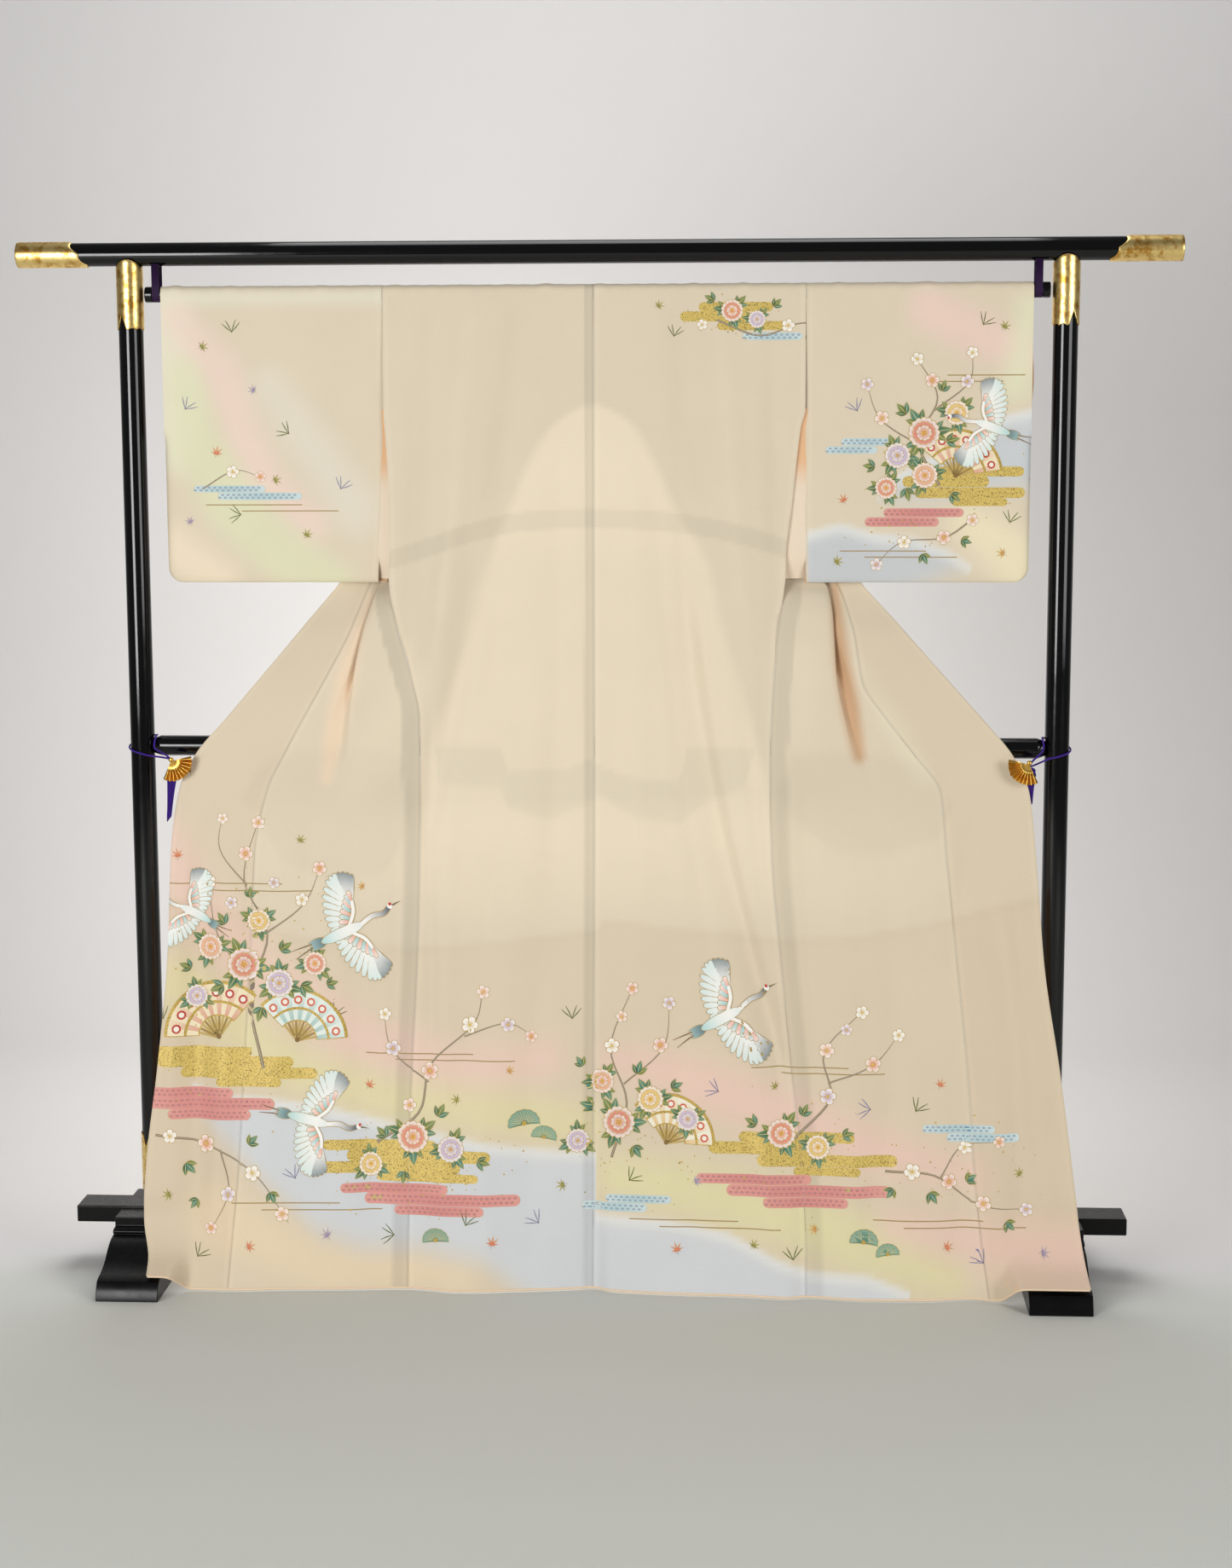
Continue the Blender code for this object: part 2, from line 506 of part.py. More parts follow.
def hem_path(panels):
    """Centre line of the rolled edge of the lining, just past the hem of every panel in turn."""
    out = []
    for side in FRONTS:
        body, okumi = panels[side]
        hems = [(body[0], body[1]), (body[-1], body[-2]), (okumi[-1], okumi[-2])]
        hems[0] = tuple(row[::-1] for row in hems[0])
        run = []
        for low, above in hems:
            down = low - above
            run.extend(low + down / np.linalg.norm(down, axis=1)[:, None] * (GAP + HEM_ROLL_RADIUS))
        out.append(run)
    line = out[0][::-1] + out[1]
    kept = line[:1]
    for point in line[1:]:
        if np.linalg.norm(point - kept[-1]) > HEM_POINT_STEP:
            kept.append(point)
    return np.array(kept)


def tube(name, points, radius, material, resolution=2, closed=False):
    """A round tube along points given in centimetres."""
    data = bpy.data.curves.new(name, "CURVE")
    data.dimensions = "3D"
    data.bevel_depth = radius * CM
    data.bevel_resolution = resolution
    data.use_fill_caps = True
    line = data.splines.new("POLY")
    line.points.add(len(points) - 1)
    for point, where in zip(line.points, points):
        point.co = (*(Vector(where) * CM), 1.0)
    line.use_cyclic_u = closed
    obj = bpy.data.objects.new(name, data)
    PARTS.objects.link(obj)
    return place(obj, material)


def turned(name, profile, material, centre, along_x=True, segments=32):
    """A turned piece: radius and height pairs, top to bottom on the outside, spun about its axis."""
    mesh = bpy.data.meshes.new(name)
    count = len(profile)
    hollow = profile[0][0] > 0
    points = [(r * CM, 0.0, z * CM) for r, z in profile]
    edges = [(i, i + 1) for i in range(count - 1)]
    if hollow:
        edges.append((count - 1, 0))
    mesh.from_pydata(points, edges, [])
    obj = bpy.data.objects.new(name, mesh)
    PARTS.objects.link(obj)
    spin = obj.modifiers.new("Turn", "SCREW")
    spin.steps = segments
    spin.render_steps = segments
    spin.use_merge_vertices = True
    spin.merge_threshold = 0.00001
    spin.use_smooth_shade = True
    if along_x:
        obj.rotation_euler = (0.0, math.pi / 2, 0.0)
    obj.location = Vector(centre) * CM
    return place(obj, material)


def bar(name, size, centre, bevel, material):
    """A box with softened edges."""
    bpy.ops.mesh.primitive_cube_add(size=1.0, location=Vector(centre) * CM)
    obj = bpy.context.active_object
    obj.name = name
    obj.data.transform(Matrix.Diagonal((*(Vector(size) * CM), 1.0)))
    soften = obj.modifiers.new("Soft edges", "BEVEL")
    soften.width = bevel * CM
    soften.segments = 2
    return place(obj, material)


def outline(name, loops, depth, centre, material):
    """A flat piece from closed outlines in the YZ plane, with its thickness along X."""
    data = bpy.data.curves.new(name, "CURVE")
    data.dimensions = "2D"
    data.fill_mode = "BOTH"
    data.extrude = depth / 2 * CM
    for loop in loops:
        line = data.splines.new("POLY")
        line.points.add(len(loop) - 1)
        for point, (y, z) in zip(line.points, loop):
            point.co = (y * CM, z * CM, 0.0, 1.0)
        line.use_cyclic_u = True
    obj = bpy.data.objects.new(name, data)
    obj.matrix_world = Matrix.Translation(Vector(centre) * CM) @ Matrix(
        ((0, 0, 1, 0), (1, 0, 0, 0), (0, 1, 0, 0), (0, 0, 0, 1))
    )
    PARTS.objects.link(obj)
    return place(obj, material)


def foot_outline():
    """Side view of a foot, with the slot that the bar lies in."""
    slot = BAR_DEPTH / 2 + GAP
    front = [(-y, z) for y, z in FOOT_PROFILE]
    back = list(reversed(FOOT_PROFILE))
    top = FOOT_PROFILE[-1][1]
    notch = [(-slot, top), (-slot, BAR_Z[0] - GAP), (slot, BAR_Z[0] - GAP), (slot, top)]
    return front + notch + back


def strap_loop(grow):
    """Outline of a strap round the rail and the rod: two arcs joined by straight sides."""
    high, low = RAIL_RADIUS + GAP + grow, ROD_RADIUS + GAP + grow
    lean = math.asin((high - low) / (RAIL_Z - ROD_Z))
    top = np.linspace(-lean, math.pi + lean, 15)
    bottom = np.linspace(math.pi + lean, 2 * math.pi - lean, 11)
    over = [(high * math.cos(a), RAIL_Z + high * math.sin(a)) for a in top]
    under = [(low * math.cos(a), ROD_Z + low * math.sin(a)) for a in bottom]
    return over + under


def fan_rows(side):
    """A folding fan: a plain plate round the pivot and pleats beyond it."""
    pivot, sign = CLIPS[side]
    count = FAN_PLEATS * 2
    out = []
    for i in range(count + 1):
        angle = math.radians(FAN_SPAN[0] + (FAN_SPAN[1] - FAN_SPAN[0]) * i / count)
        wave = FAN_PLEAT_DEPTH * (1 if i % 2 else -1)
        line = []
        for radius, share in FAN_RINGS:
            x, z = pivot - sign * radius * math.cos(angle), FAN_Z - radius * math.sin(angle)
            line.append((x, FAN_Y + wave * share, z))
        out.append(line)
    return np.array(out)


def tie_points(side):
    """A tie: from the clip in front of the upright, round it and back over the middle rail's end."""
    pivot, sign = CLIPS[side]
    post = UPRIGHT_X
    reach = UPRIGHT_RADIUS + CORD_RADIUS + 2 * GAP
    near = abs(pivot)
    hook = FAN_Y + FAN_WALL / 2 + CORD_RADIUS + 3 * GAP
    route = [(near - 0.1, hook, FAN_Z + 0.15), TIE_BEND[side], (post - 1.6, -2.75, 87.6)]
    for k in range(12):
        angle = math.radians(-100 + 22.5 * k)
        route.append((post + reach * math.cos(angle), reach * math.sin(angle), 87.8 + 0.25 * k))
    route += [(post - d, y, z) for d, y, z in TIE_RETURN]
    route += [(near + 1.0, -3.9, 87.75), (near - 0.05, hook + 0.02, FAN_Z - 0.15)]
    curve = curve_through([(x * sign, y, z) for x, y, z in route], 3)[0]
    return curve[:-1]


def tassel(side, material):
    """A tassel: strands drawn down from the underside of a flattened head, drawing in towards the tips."""
    x, y, lean, length = (TASSELS[side][TASSEL_COLUMNS.index(name)] for name in TASSEL_COLUMNS)
    low, top = TASSEL_Z
    across, deep = STRANDS
    build = bmesh.new()
    centre = Vector((x, y, low))

    def vertex(i, j, share, height):
        """Corner of the strand grid on a rounded head, drawn in by a share."""
        u, v = 2 * i / across - 1, 2 * j / deep - 1
        return build.verts.new((
            x + TASSEL_HEAD[0] * share * u * math.sqrt(1 - v * v / 2),
            y + TASSEL_HEAD[1] * share * v * math.sqrt(1 - u * u / 2), height,
        ))

    grid = [[vertex(i, j, 1.0, low) for j in range(deep + 1)] for i in range(across + 1)]
    faces = [
        build.faces.new((grid[i][j], grid[i][j + 1], grid[i + 1][j + 1], grid[i + 1][j]))
        for i in range(across) for j in range(deep)
    ]
    around = [(i, 0) for i in range(across)] + [(across, j) for j in range(deep)]
    around += [(i, deep) for i in range(across, 0, -1)] + [(0, j) for j in range(deep, 0, -1)]
    rings = [
        [grid[i][j] for i, j in around], [vertex(i, j, 1.0, low + 0.6 * (top - low)) for i, j in around],
        [vertex(i, j, 0.45, top) for i, j in around],
    ]
    for lower, upper in zip(rings, rings[1:]):
        for k in range(len(around)):
            m = (k + 1) % len(around)
            build.faces.new((lower[k], lower[m], upper[m], upper[k]))
    build.faces.new(rings[-1])
    bmesh.ops.inset_individual(build, faces=faces, thickness=STRAND_GAP)
    drop = Vector((lean, 0.0, -1.0)) * (length - (top - low))
    for number, face in enumerate(faces):
        tip = bmesh.ops.extrude_discrete_faces(build, faces=[face])["faces"][0]
        shorter = 1.0 - 0.07 * ((number * 7) % 5) / 4
        for vert in tip.verts:
            vert.co = centre + (vert.co - centre) * TASSEL_TAPER + drop * shorter
    bmesh.ops.recalc_face_normals(build, faces=build.faces[:])
    mesh = bpy.data.meshes.new(f"tassel_{side}")
    build.to_mesh(mesh)
    build.free()
    mesh.transform(Matrix.Scale(CM, 4))
    obj = bpy.data.objects.new(f"tassel_{side}", mesh)
    PARTS.objects.link(obj)
    return place(obj, material)


def make_garment():
    """Every sewn piece of the kimono."""
    silk = finish("kimono silk", (0.72, 0.62, 0.45), 0.55)
    lining = finish("peach lining silk", (0.78, 0.50, 0.32), 0.5)
    panels = {side: (body_rows(side), okumi_rows(side)) for side in FRONTS}
    for side, (body, okumi) in panels.items():
        sheet(f"body_{side}", body, CLOTH, silk)
        sheet(f"okumi_{side}", okumi, CLOTH, silk)
        sleeve(side, silk)
    left, right = collar_path("left"), collar_path("right")
    split = 10
    for side, path in (("left", left), ("right", right)):
        sheet(f"collar_{side}", collar_strip(path)[split:], COLLAR_THICKNESS, silk)
    whole = left[::-1] + right[1:]
    middle = len(left) - 1
    strip = collar_strip(whole)[middle - split:middle + split + 1]
    strip[0] += (strip[1] - strip[0]) * (GAP * 1.5 / np.linalg.norm(strip[1, 0] - strip[0, 0]))
    strip[-1] += (strip[-2] - strip[-1]) * (GAP * 1.5 / np.linalg.norm(strip[-2, 0] - strip[-1, 0]))
    sheet("over_collar", strip, COLLAR_THICKNESS, silk)
    tube("hem_roll", hem_path(panels).tolist(), HEM_ROLL_RADIUS, lining, resolution=1)


def make_stand():
    """Rails, uprights, base and their gilt fittings."""
    lacquer = finish("black lacquer", (0.012, 0.012, 0.013), 0.18)
    gilt = finish("gilt metal", (0.80, 0.58, 0.22), 0.3, 1.0)
    half = RAIL_LENGTH / 2
    end_wall = 0.35
    turned("top_rail", [(0, half - end_wall - GAP), (RAIL_RADIUS, half - end_wall - GAP),
                        (RAIL_RADIUS, -half + end_wall + GAP), (0, -half + end_wall + GAP)],
           lacquer, (0, 0, RAIL_Z), segments=28)
    inner, outer = RAIL_RADIUS + GAP, RAIL_RADIUS + GAP + RAIL_END_WALL
    for side, sign in (("left", -1), ("right", 1)):
        cap = [(0, half), (outer - 0.12, half), (outer, half - 0.12), (outer, half - RAIL_END_LENGTH),
               (inner, half - RAIL_END_LENGTH), (inner, half - end_wall), (0, half - end_wall)]
        piece = turned(f"rail_end_{side}", cap, gilt, (0, 0, RAIL_Z), segments=28)
        piece.rotation_euler = (0.0, sign * math.pi / 2, 0.0)
    reach = UPRIGHT_X - UPRIGHT_RADIUS - GAP
    thin = MIDDLE_RAIL_RADIUS * 0.74
    turned("middle_rail", [(0, reach), (thin, reach), (MIDDLE_RAIL_RADIUS, reach - MIDDLE_RAIL_TAPER),
                           (MIDDLE_RAIL_RADIUS, MIDDLE_RAIL_TAPER - reach), (thin, -reach), (0, -reach)],
           lacquer, (0, 0, MIDDLE_RAIL_Z), segments=28)
    rod = ROD_LENGTH / 2
    knob = [(0, rod), (KNOB_RADIUS - 0.15, rod), (KNOB_RADIUS, rod - 0.15), (KNOB_RADIUS, rod - KNOB_LENGTH),
            (ROD_RADIUS, rod - KNOB_LENGTH)]
    turned("rod", knob + [(r, -z) for r, z in reversed(knob)], lacquer, (0, 0, ROD_Z), segments=24)
    bar("base_bar", (BAR_LENGTH, BAR_DEPTH, BAR_Z[1] - BAR_Z[0]), (0, 0, sum(BAR_Z) / 2), 0.15, lacquer)
    post_top = RAIL_Z - RAIL_RADIUS - GAP
    for side, sign in (("left", -1), ("right", 1)):
        x = sign * UPRIGHT_X
        low = BAR_Z[1] + GAP
        post = [(0, post_top), (UPRIGHT_RADIUS, post_top), (UPRIGHT_RADIUS, low), (0, low)]
        turned(f"upright_{side}", post, lacquer, (x, 0, 0), along_x=False, segments=28)
        bore, skin = UPRIGHT_RADIUS + GAP, UPRIGHT_RADIUS + GAP + SLEEVE_WALL
        for name, (bottom, top) in (("upright_cap", TOP_SLEEVE_Z), ("upright_shoe", SHOE_Z)):
            turned(f"{name}_{side}", [(bore, top), (skin, top), (skin, bottom), (bore, bottom)],
                   gilt, (x, 0, 0), along_x=False, segments=28)
        outline(f"foot_{side}", [foot_outline()], FOOT_WIDTH, (x, 0, 0), lacquer)


def make_fittings():
    """Straps, fan clips, ties and tassels."""
    purple = finish("purple braid", (0.10, 0.03, 0.22), 0.7)
    gilt = finish("gilt brass", (0.85, 0.62, 0.22), 0.28, 1.0)
    for side, (pivot, sign) in CLIPS.items():
        loops = [strap_loop(STRAP_WALL), strap_loop(0.0)]
        outline(f"strap_{side}", loops, STRAP_WIDTH, (sign * STRAP_X, 0, 0), purple)
        sheet(f"fan_clip_{side}", fan_rows(side), FAN_WALL, gilt)
        jaw_x = pivot - sign * JAW_INSET
        jaw_back = float(hang_y(jaw_x, JAW_Z - JAW_SIZE[1] / 2)) - CLOTH / 2 - GAP
        jaw_front = FAN_Y + FAN_PLEAT_DEPTH + FAN_WALL / 2 + GAP
        bar(f"clip_jaw_{side}", (JAW_SIZE[0], jaw_back - jaw_front, JAW_SIZE[1]),
            (jaw_x, (jaw_back + jaw_front) / 2, JAW_Z), 0.08, gilt)
        tube(f"tie_cord_{side}", tie_points(side).tolist(), CORD_RADIUS, purple, resolution=1, closed=True)
        tassel(side, purple)


clear_scene()
PARTS = new_collection("homongi kimono on a stand")
make_garment()
make_stand()
make_fittings()
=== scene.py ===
"""Looks of a homongi kimono hung with its back to the viewer on a black lacquered kimono stand.

Sizes in the tables are in centimetres: X along the rail, Y away from the viewer, Z up.
"""

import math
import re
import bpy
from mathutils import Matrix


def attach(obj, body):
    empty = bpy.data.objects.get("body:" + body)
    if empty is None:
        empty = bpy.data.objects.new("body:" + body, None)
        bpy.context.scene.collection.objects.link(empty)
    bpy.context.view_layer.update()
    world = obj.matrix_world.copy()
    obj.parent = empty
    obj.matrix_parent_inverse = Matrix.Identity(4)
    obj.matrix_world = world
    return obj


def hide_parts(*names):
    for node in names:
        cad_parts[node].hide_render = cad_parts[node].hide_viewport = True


bl_info = {
    "name": "Homongi kimono on a lacquered stand",
    "version": (1, 0, 0),
    "blender": (4, 5, 0),
    "location": "3D View > Sidebar > Kimono",
    "description": "Builds the silk, the stand, its fittings and the studio round the packed part",
    "category": "Add Mesh",
}

import bpy
import bmesh
import numpy as np
from mathutils import Matrix
from mathutils.geometry import delaunay_2d_cdt

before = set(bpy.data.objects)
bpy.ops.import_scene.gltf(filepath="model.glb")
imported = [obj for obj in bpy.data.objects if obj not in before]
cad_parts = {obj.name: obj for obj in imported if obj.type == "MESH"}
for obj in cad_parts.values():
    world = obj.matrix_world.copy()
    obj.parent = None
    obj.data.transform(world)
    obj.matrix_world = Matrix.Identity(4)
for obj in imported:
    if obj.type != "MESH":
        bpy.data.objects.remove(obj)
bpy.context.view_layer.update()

CM = 0.01
GAP = 0.03

# Dyes of the design, sRGB
TINTS = {
    "coral": "#d9694f", "crimson": "#c2483e", "rose": "#eda592", "lilac": "#a98fc0", "cream": "#f2d68c",
    "teal": "#3f7f74", "olive": "#7c7f33", "moss": "#3a6348", "orchid": "#dccde4", "apricot": "#f6c9a8",
    "amber": "#e2a64e", "shell": "#f0b3a2", "salmon": "#e98f7c", "ivory": "#f6efe2", "wisteria": "#c7aed4",
    "blush": "#f2d3cd", "peach": "#eeb08e", "straw": "#c9c27a", "ochre": "#c98a3f", "violet": "#8f7fae",
    "mauve": "#d4c8de", "sand": "#f4e4c0", "brick": "#d98a76", "mint": "#e8efe6", "sea": "#8fb9b0",
    "linen": "#f6eed8", "honey": "#e3b45e", "pine": "#4f7d68", "fir": "#5d8a6c",
    "dusk": "#d98f88", "dusk_edge": "#e9a99c", "dusk_dot": "#a8555c",
    "water": "#b7cfd2", "water_edge": "#dfe8e6", "water_dot": "#6f93a8",
}
GREENS = (TINTS["teal"], TINTS["olive"], TINTS["moss"])


def table(text):
    """Rows of numbers, dye names and sRGB hex colours: a comma or a new line starts the next row."""
    rows = [row.split() for row in re.split("[,\n]", text) if row.strip()]
    return [tuple(TINTS.get(word) or (word if word[0] == "#" else float(word)) for word in row) for row in rows]


def strokes(text):
    """Strokes apart by semicolons: what each is drawn with, a colon and a table of its points."""
    return [(*table(head)[0], table(points)) for head, points in (one.split(":") for one in text.split(";"))]


# Garment, cm. The fronts and the slits stand a little off the solids, so that the folds look as they hang.
SHOULDER_HALF = 34.3
SLEEVE_END = 70.6
SLEEVE_BOTTOM = 116.3
SLEEVE_SEAM = 34.33
CUFF_LOW = 141.0
SLEEVE_CORNER = 2.4
HEM_Z = 0.62
HEM_ROLL_RADIUS = 0.17
ROD_Z = 163.1
ROD_RADIUS = 1.1
DRAPE_RADIUS = 1.25
TURN_ROWS = 11
COLLAR_WIDTH = 5.5
SLIT_WALL = 0.06
FOOT_DRAPE_FROM = 66.6
FOOT_DRAPE_FULL = 69.6
FOOT_HEM_Z = 4.05
HEM_WAVE_HEIGHT = 46.0

# Hang of the back: height and depth
HANG = table("""
    163.1 -1.23, 150 -1.6, 130 -2.1, 116 -2.4, 100 -2.75, 88 -3, 82 -3.4, 72 -4, 54 -5.8, 36 -8.6, 18 -11.7
    8 -13.6, 0.6 -15""")
# Waves of the hem: place across and depth
HEM_WAVE = table("""
    -80 -1.2, -69 -1.6, -60 -1.7, -50 -0.8, -40 -0.2, -30.6 0.6, -22 -0.9, -12 0.2, -3 1.6, 0 2.3, 3 0.8
    14.8 -0.5, 25 -0.9, 32 -1.8, 35 -0.9, 44 -2.2, 54 -2, 62 -0.7, 66 -1.6, 80 -1""")
# The cloth over a foot: height and depth
FOOT_DRAPE = table("16 -12, 11 -13.3, 8 -14.8, 6.2 -16.4, 5.2 -18.2, 4.6 -19.8, 3.95 -21.3")

# Folds: valleys positive, ridges negative. Line through three points, depth and width.
FOLDS = table("""
    -17.5 128 -22.5 100 -27 78 0.8 2
    -22.5 132 -25.5 112 -27.5 92 -0.45 1.8
    12 126 17.5 86 31 36 0.9 2.4
    20 116 24 78 30 48 -0.5 2.2
    -8 118 -12 70 -17 22 -0.55 4
    -37.5 72 -39 44 -36 10 0.7 2.6
    -63 84 -66 52 -66.5 8 0.9 2.3
    45 70 50 44 46 10 0.7 2.8
    62 80 69 44 71 8 0.9 2.3""")
# Finer creases that only the dressed garment has
CREASES = table("""
    -26 112 -27.6 80 -27 40 0.32 1
    -24 96 -24.5 60 -25 12 -0.3 1.6
    -12 110 -16 74 -20.5 40 0.22 1.5
    -14 158 -15 130 -17 96 0.48 2.3
    -22 159 -22.6 132 -25.5 104 -0.46 2.1
    -28.6 159 -29.6 130 -30.6 102 0.44 1.6
    13.6 158 14.6 130 16 98 0.44 2.1
    21.5 158 22.6 130 26.5 102 -0.44 2
    28.5 158 29.2 130 29.6 106 0.42 1.5
    13 127 19 86 30.5 38 0.6 1.2
    24 116 26.5 92 30.5 62 -0.4 1.5
    -5.5 156 -6 116 -7 66 0.3 1.9
    6 156 7 114 8 60 -0.3 1.9
    9 140 13 96 19.5 52 0.3 1.3
    15.5 132 21.5 92 27.5 56 0.34 1.1
    24.5 104 27 74 31.5 30 0.3 1.1
    22 60 27 34 30 6 -0.35 1.5
    12 62 14 36 17 4 0.28 2.2
    -9 58 -10.5 34 -10 4 0.3 2.4
    -17.5 44 -18.5 24 -17 3 -0.3 2
    -33.5 90 -33 60 -33.5 20 0.3 1.3
    -45 90 -47.5 66 -48 34 0.3 1.8
    -52 88 -53 64 -53.5 20 -0.26 2
    -63.5 85 -59 70 -55 52 0.34 1.4
    -67.5 83 -69.5 58 -71 26 -0.3 1.2
    -61 66 -61.5 40 -62.5 10 -0.25 1.6
    35.5 96 35 66 37.5 24 0.3 1.2
    40.5 78 41.5 52 43.5 14 -0.3 1.6
    52 84 54 62 55 26 0.26 1.9
    63 84 60.5 66 58 48 0.34 1.5
    68.5 82 70 56 73 22 -0.3 1.3
    74 44 76 26 77 6 0.3 1.2
    58.5 46 60 28 60.5 6 0.28 1.6""")

# Cuts of the fronts, one height a row: x and y at the seam, near the fold, on it, past it, at the overlap's seam
# and at the front edge
FRONT_TOP = table("""
    163.1 34.3 1.23 25.7 1.23 17.1 1.23 8.6 1.23 0 1.23 0 1.23
    162.3 34.3 1.23 27 1.23 20 1.23 14 1.24 8.8 1.25 8.8 1.25
    160.8 34.3 1.25 25 1.25 16 1.32 13 1.42 10.9 1.45 10.9 1.45
    157 34.3 1.3 22.6 1.35 11.2 1.8 12.4 2.3 13.6 2.3 13.6 2.3
    150 34.3 1.42 23.7 1.5 13.1 2.1 16 2.8 18.6 2.8 18.7 2.8""")
FRONT_LEFT = FRONT_TOP + table("""
    138 34.8 1.45 26 1.7 17.3 2.5 22 3.2 26.2 3.2 26.8 3.2
    130 35 1.4 28.4 2.1 20 3.3 27 3.7 30.7 3.3 32.5 3.2
    124 34.6 1.3 31.6 1.75 22.5 5 28.5 3.7 33.4 3 36.7 2.8
    119 34 1.25 34.2 1.8 25.8 6.2 32 3.95 36 2.6 40.2 2.4
    117 33.8 1.15 35.2 1.75 27.8 6.4 34.4 3.5 37 2.3 41.7 2.2
    114 33.5 -1.5 36.4 0.1 31.6 4.5 36.8 0.95 38.2 1.3 44.2 1.6
    111 32.9 -2.45 37.4 -1.1 33.3 3.5 37.85 -0.3 39.4 0.2 46.7 0.9
    108 32.2 -2.6 38.3 -1.7 34.8 2.2 38.9 -1.25 40.6 -0.8 49.2 0.1
    100 30 -2.8 39.8 -2.8 40 -1.3 41.3 -2.35 44.8 -2.3 56 -1.4
    94 28.9 -2.9 40.4 -3.05 41.5 -2.3 43.4 -2.75 48.2 -2.8 61.1 -2.3
    88 28.9 -3 41 -3.2 42.5 -2.5 44.4 -3.05 51.5 -3 66.3 -2.8
    82 28.9 -3.4 42 -3.45 43.8 -3.3 45.8 -3.45 54.4 -3.4 69.2 -3.4
    72 29 -4 42.5 -4 44.6 -4 46.8 -4 56.6 -4 70.7 -4
    54 29.4 -5.8 43 -5.8 45.4 -5.8 48 -5.8 57.5 -5.8 71.4 -5.8
    36 30.2 -8.6 43.6 -8.6 46.2 -8.6 49 -8.6 58.3 -8.6 72.9 -8.6
    20 30.6 -11.4 44 -11.4 46.8 -11.4 49.6 -11.4 58.9 -11.4 74.5 -11.4
    10 30.6 -13.2 44.3 -13.2 47.2 -13.2 50.2 -13.2 59.6 -13.2 74.8 -13.2
    0.62 30.6 -15 44.6 -15 47.6 -15 50.8 -15 60.3 -15 72.8 -15""")
FRONT_RIGHT = FRONT_TOP + table("""
    138 34.9 1.45 26 1.7 17.3 2.5 22.5 3.2 26.8 3.2 27.4 3.2
    130 35 1.4 28.4 2.1 20 3.3 27.5 3.7 31.6 3.3 33.3 3.2
    124 33.6 1.25 31.6 1.75 22.5 5 29 3.9 34.4 3 37.7 2.8
    119 31.5 1.2 35.6 1.8 27 6.4 33 4.15 37.8 2.5 41.4 2.4
    117 31.25 1.1 37.3 1.75 29.4 6.6 35.6 3.75 39 2.2 42.8 2.2
    114 30.9 -1.6 38.5 0.1 31.8 4.5 38.9 1.1 40.6 1.3 45.4 1.6
    111 30.4 -2.5 38.9 -1.2 34.6 3.6 39.45 -0.2 41.6 0.2 48.2 0.9
    108 30 -2.6 39.1 -1.7 35.8 2.4 39.9 -1.15 42.5 -0.8 50.9 0.1
    100 29.4 -2.8 39.6 -2.8 40.2 -1 42.2 -2 43.9 -2.1 58.1 -1.4
    94 29.1 -2.9 40.9 -3.05 41.9 -1.9 44.2 -2.6 47.9 -2.7 63.5 -2.3
    88 28.9 -3 42.3 -3.2 43.7 -2.6 46.2 -3 52.6 -3 68.5 -2.8
    82 28.9 -3.4 44.4 -3.45 46.2 -3.3 48.6 -3.45 56.8 -3.4 71.2 -3.4
    72 29.2 -4 44.4 -4 46.4 -4 48.8 -4 57.8 -4 72.4 -4
    54 30.8 -5.8 45.4 -5.8 47.6 -5.8 50 -5.8 59.7 -5.8 73.9 -5.8
    36 32.7 -8.6 47 -8.6 49.2 -8.6 51.6 -8.6 61.5 -8.6 76.6 -8.6
    20 34.4 -11.4 48.6 -11.4 51 -11.4 53.4 -11.4 62.6 -11.4 78.6 -11.4
    10 35 -13.2 49.4 -13.2 52 -13.2 54.6 -13.2 63.6 -13.2 79.6 -13.2
    0.62 35.1 -15 50 -15 52.8 -15 55.6 -15 64.9 -15 80.7 -15""")
FRONTS = {"left": (FRONT_LEFT, -1.0), "right": (FRONT_RIGHT, 1.0)}

# Side edge of the back above the seam: height and place across
SLIT = {
    "left": table("150 34.3, 143.4 34.29, 141 34.1, 130 33.6, 121 33.6, 117 33.8"),
    "right": table("150 34.3, 144.2 34.28, 141.6 33.6, 130 32.3, 121 31.3, 117 31.25"),
}
# Inner edge of the back of each sleeve: height and place across
SLEEVE_INNER = {
    "left": table("163.1 34.33, 146 34.33, 143.8 34.37, 130 34.9, 116.3 35.7"),
    "right": table("163.1 34.33, 146 34.33, 143.8 34.34, 130 34.35, 116.3 34.6"),
}
OKUMI_TOP = 138.0
FRONT_SHOWS_BELOW = 90.0

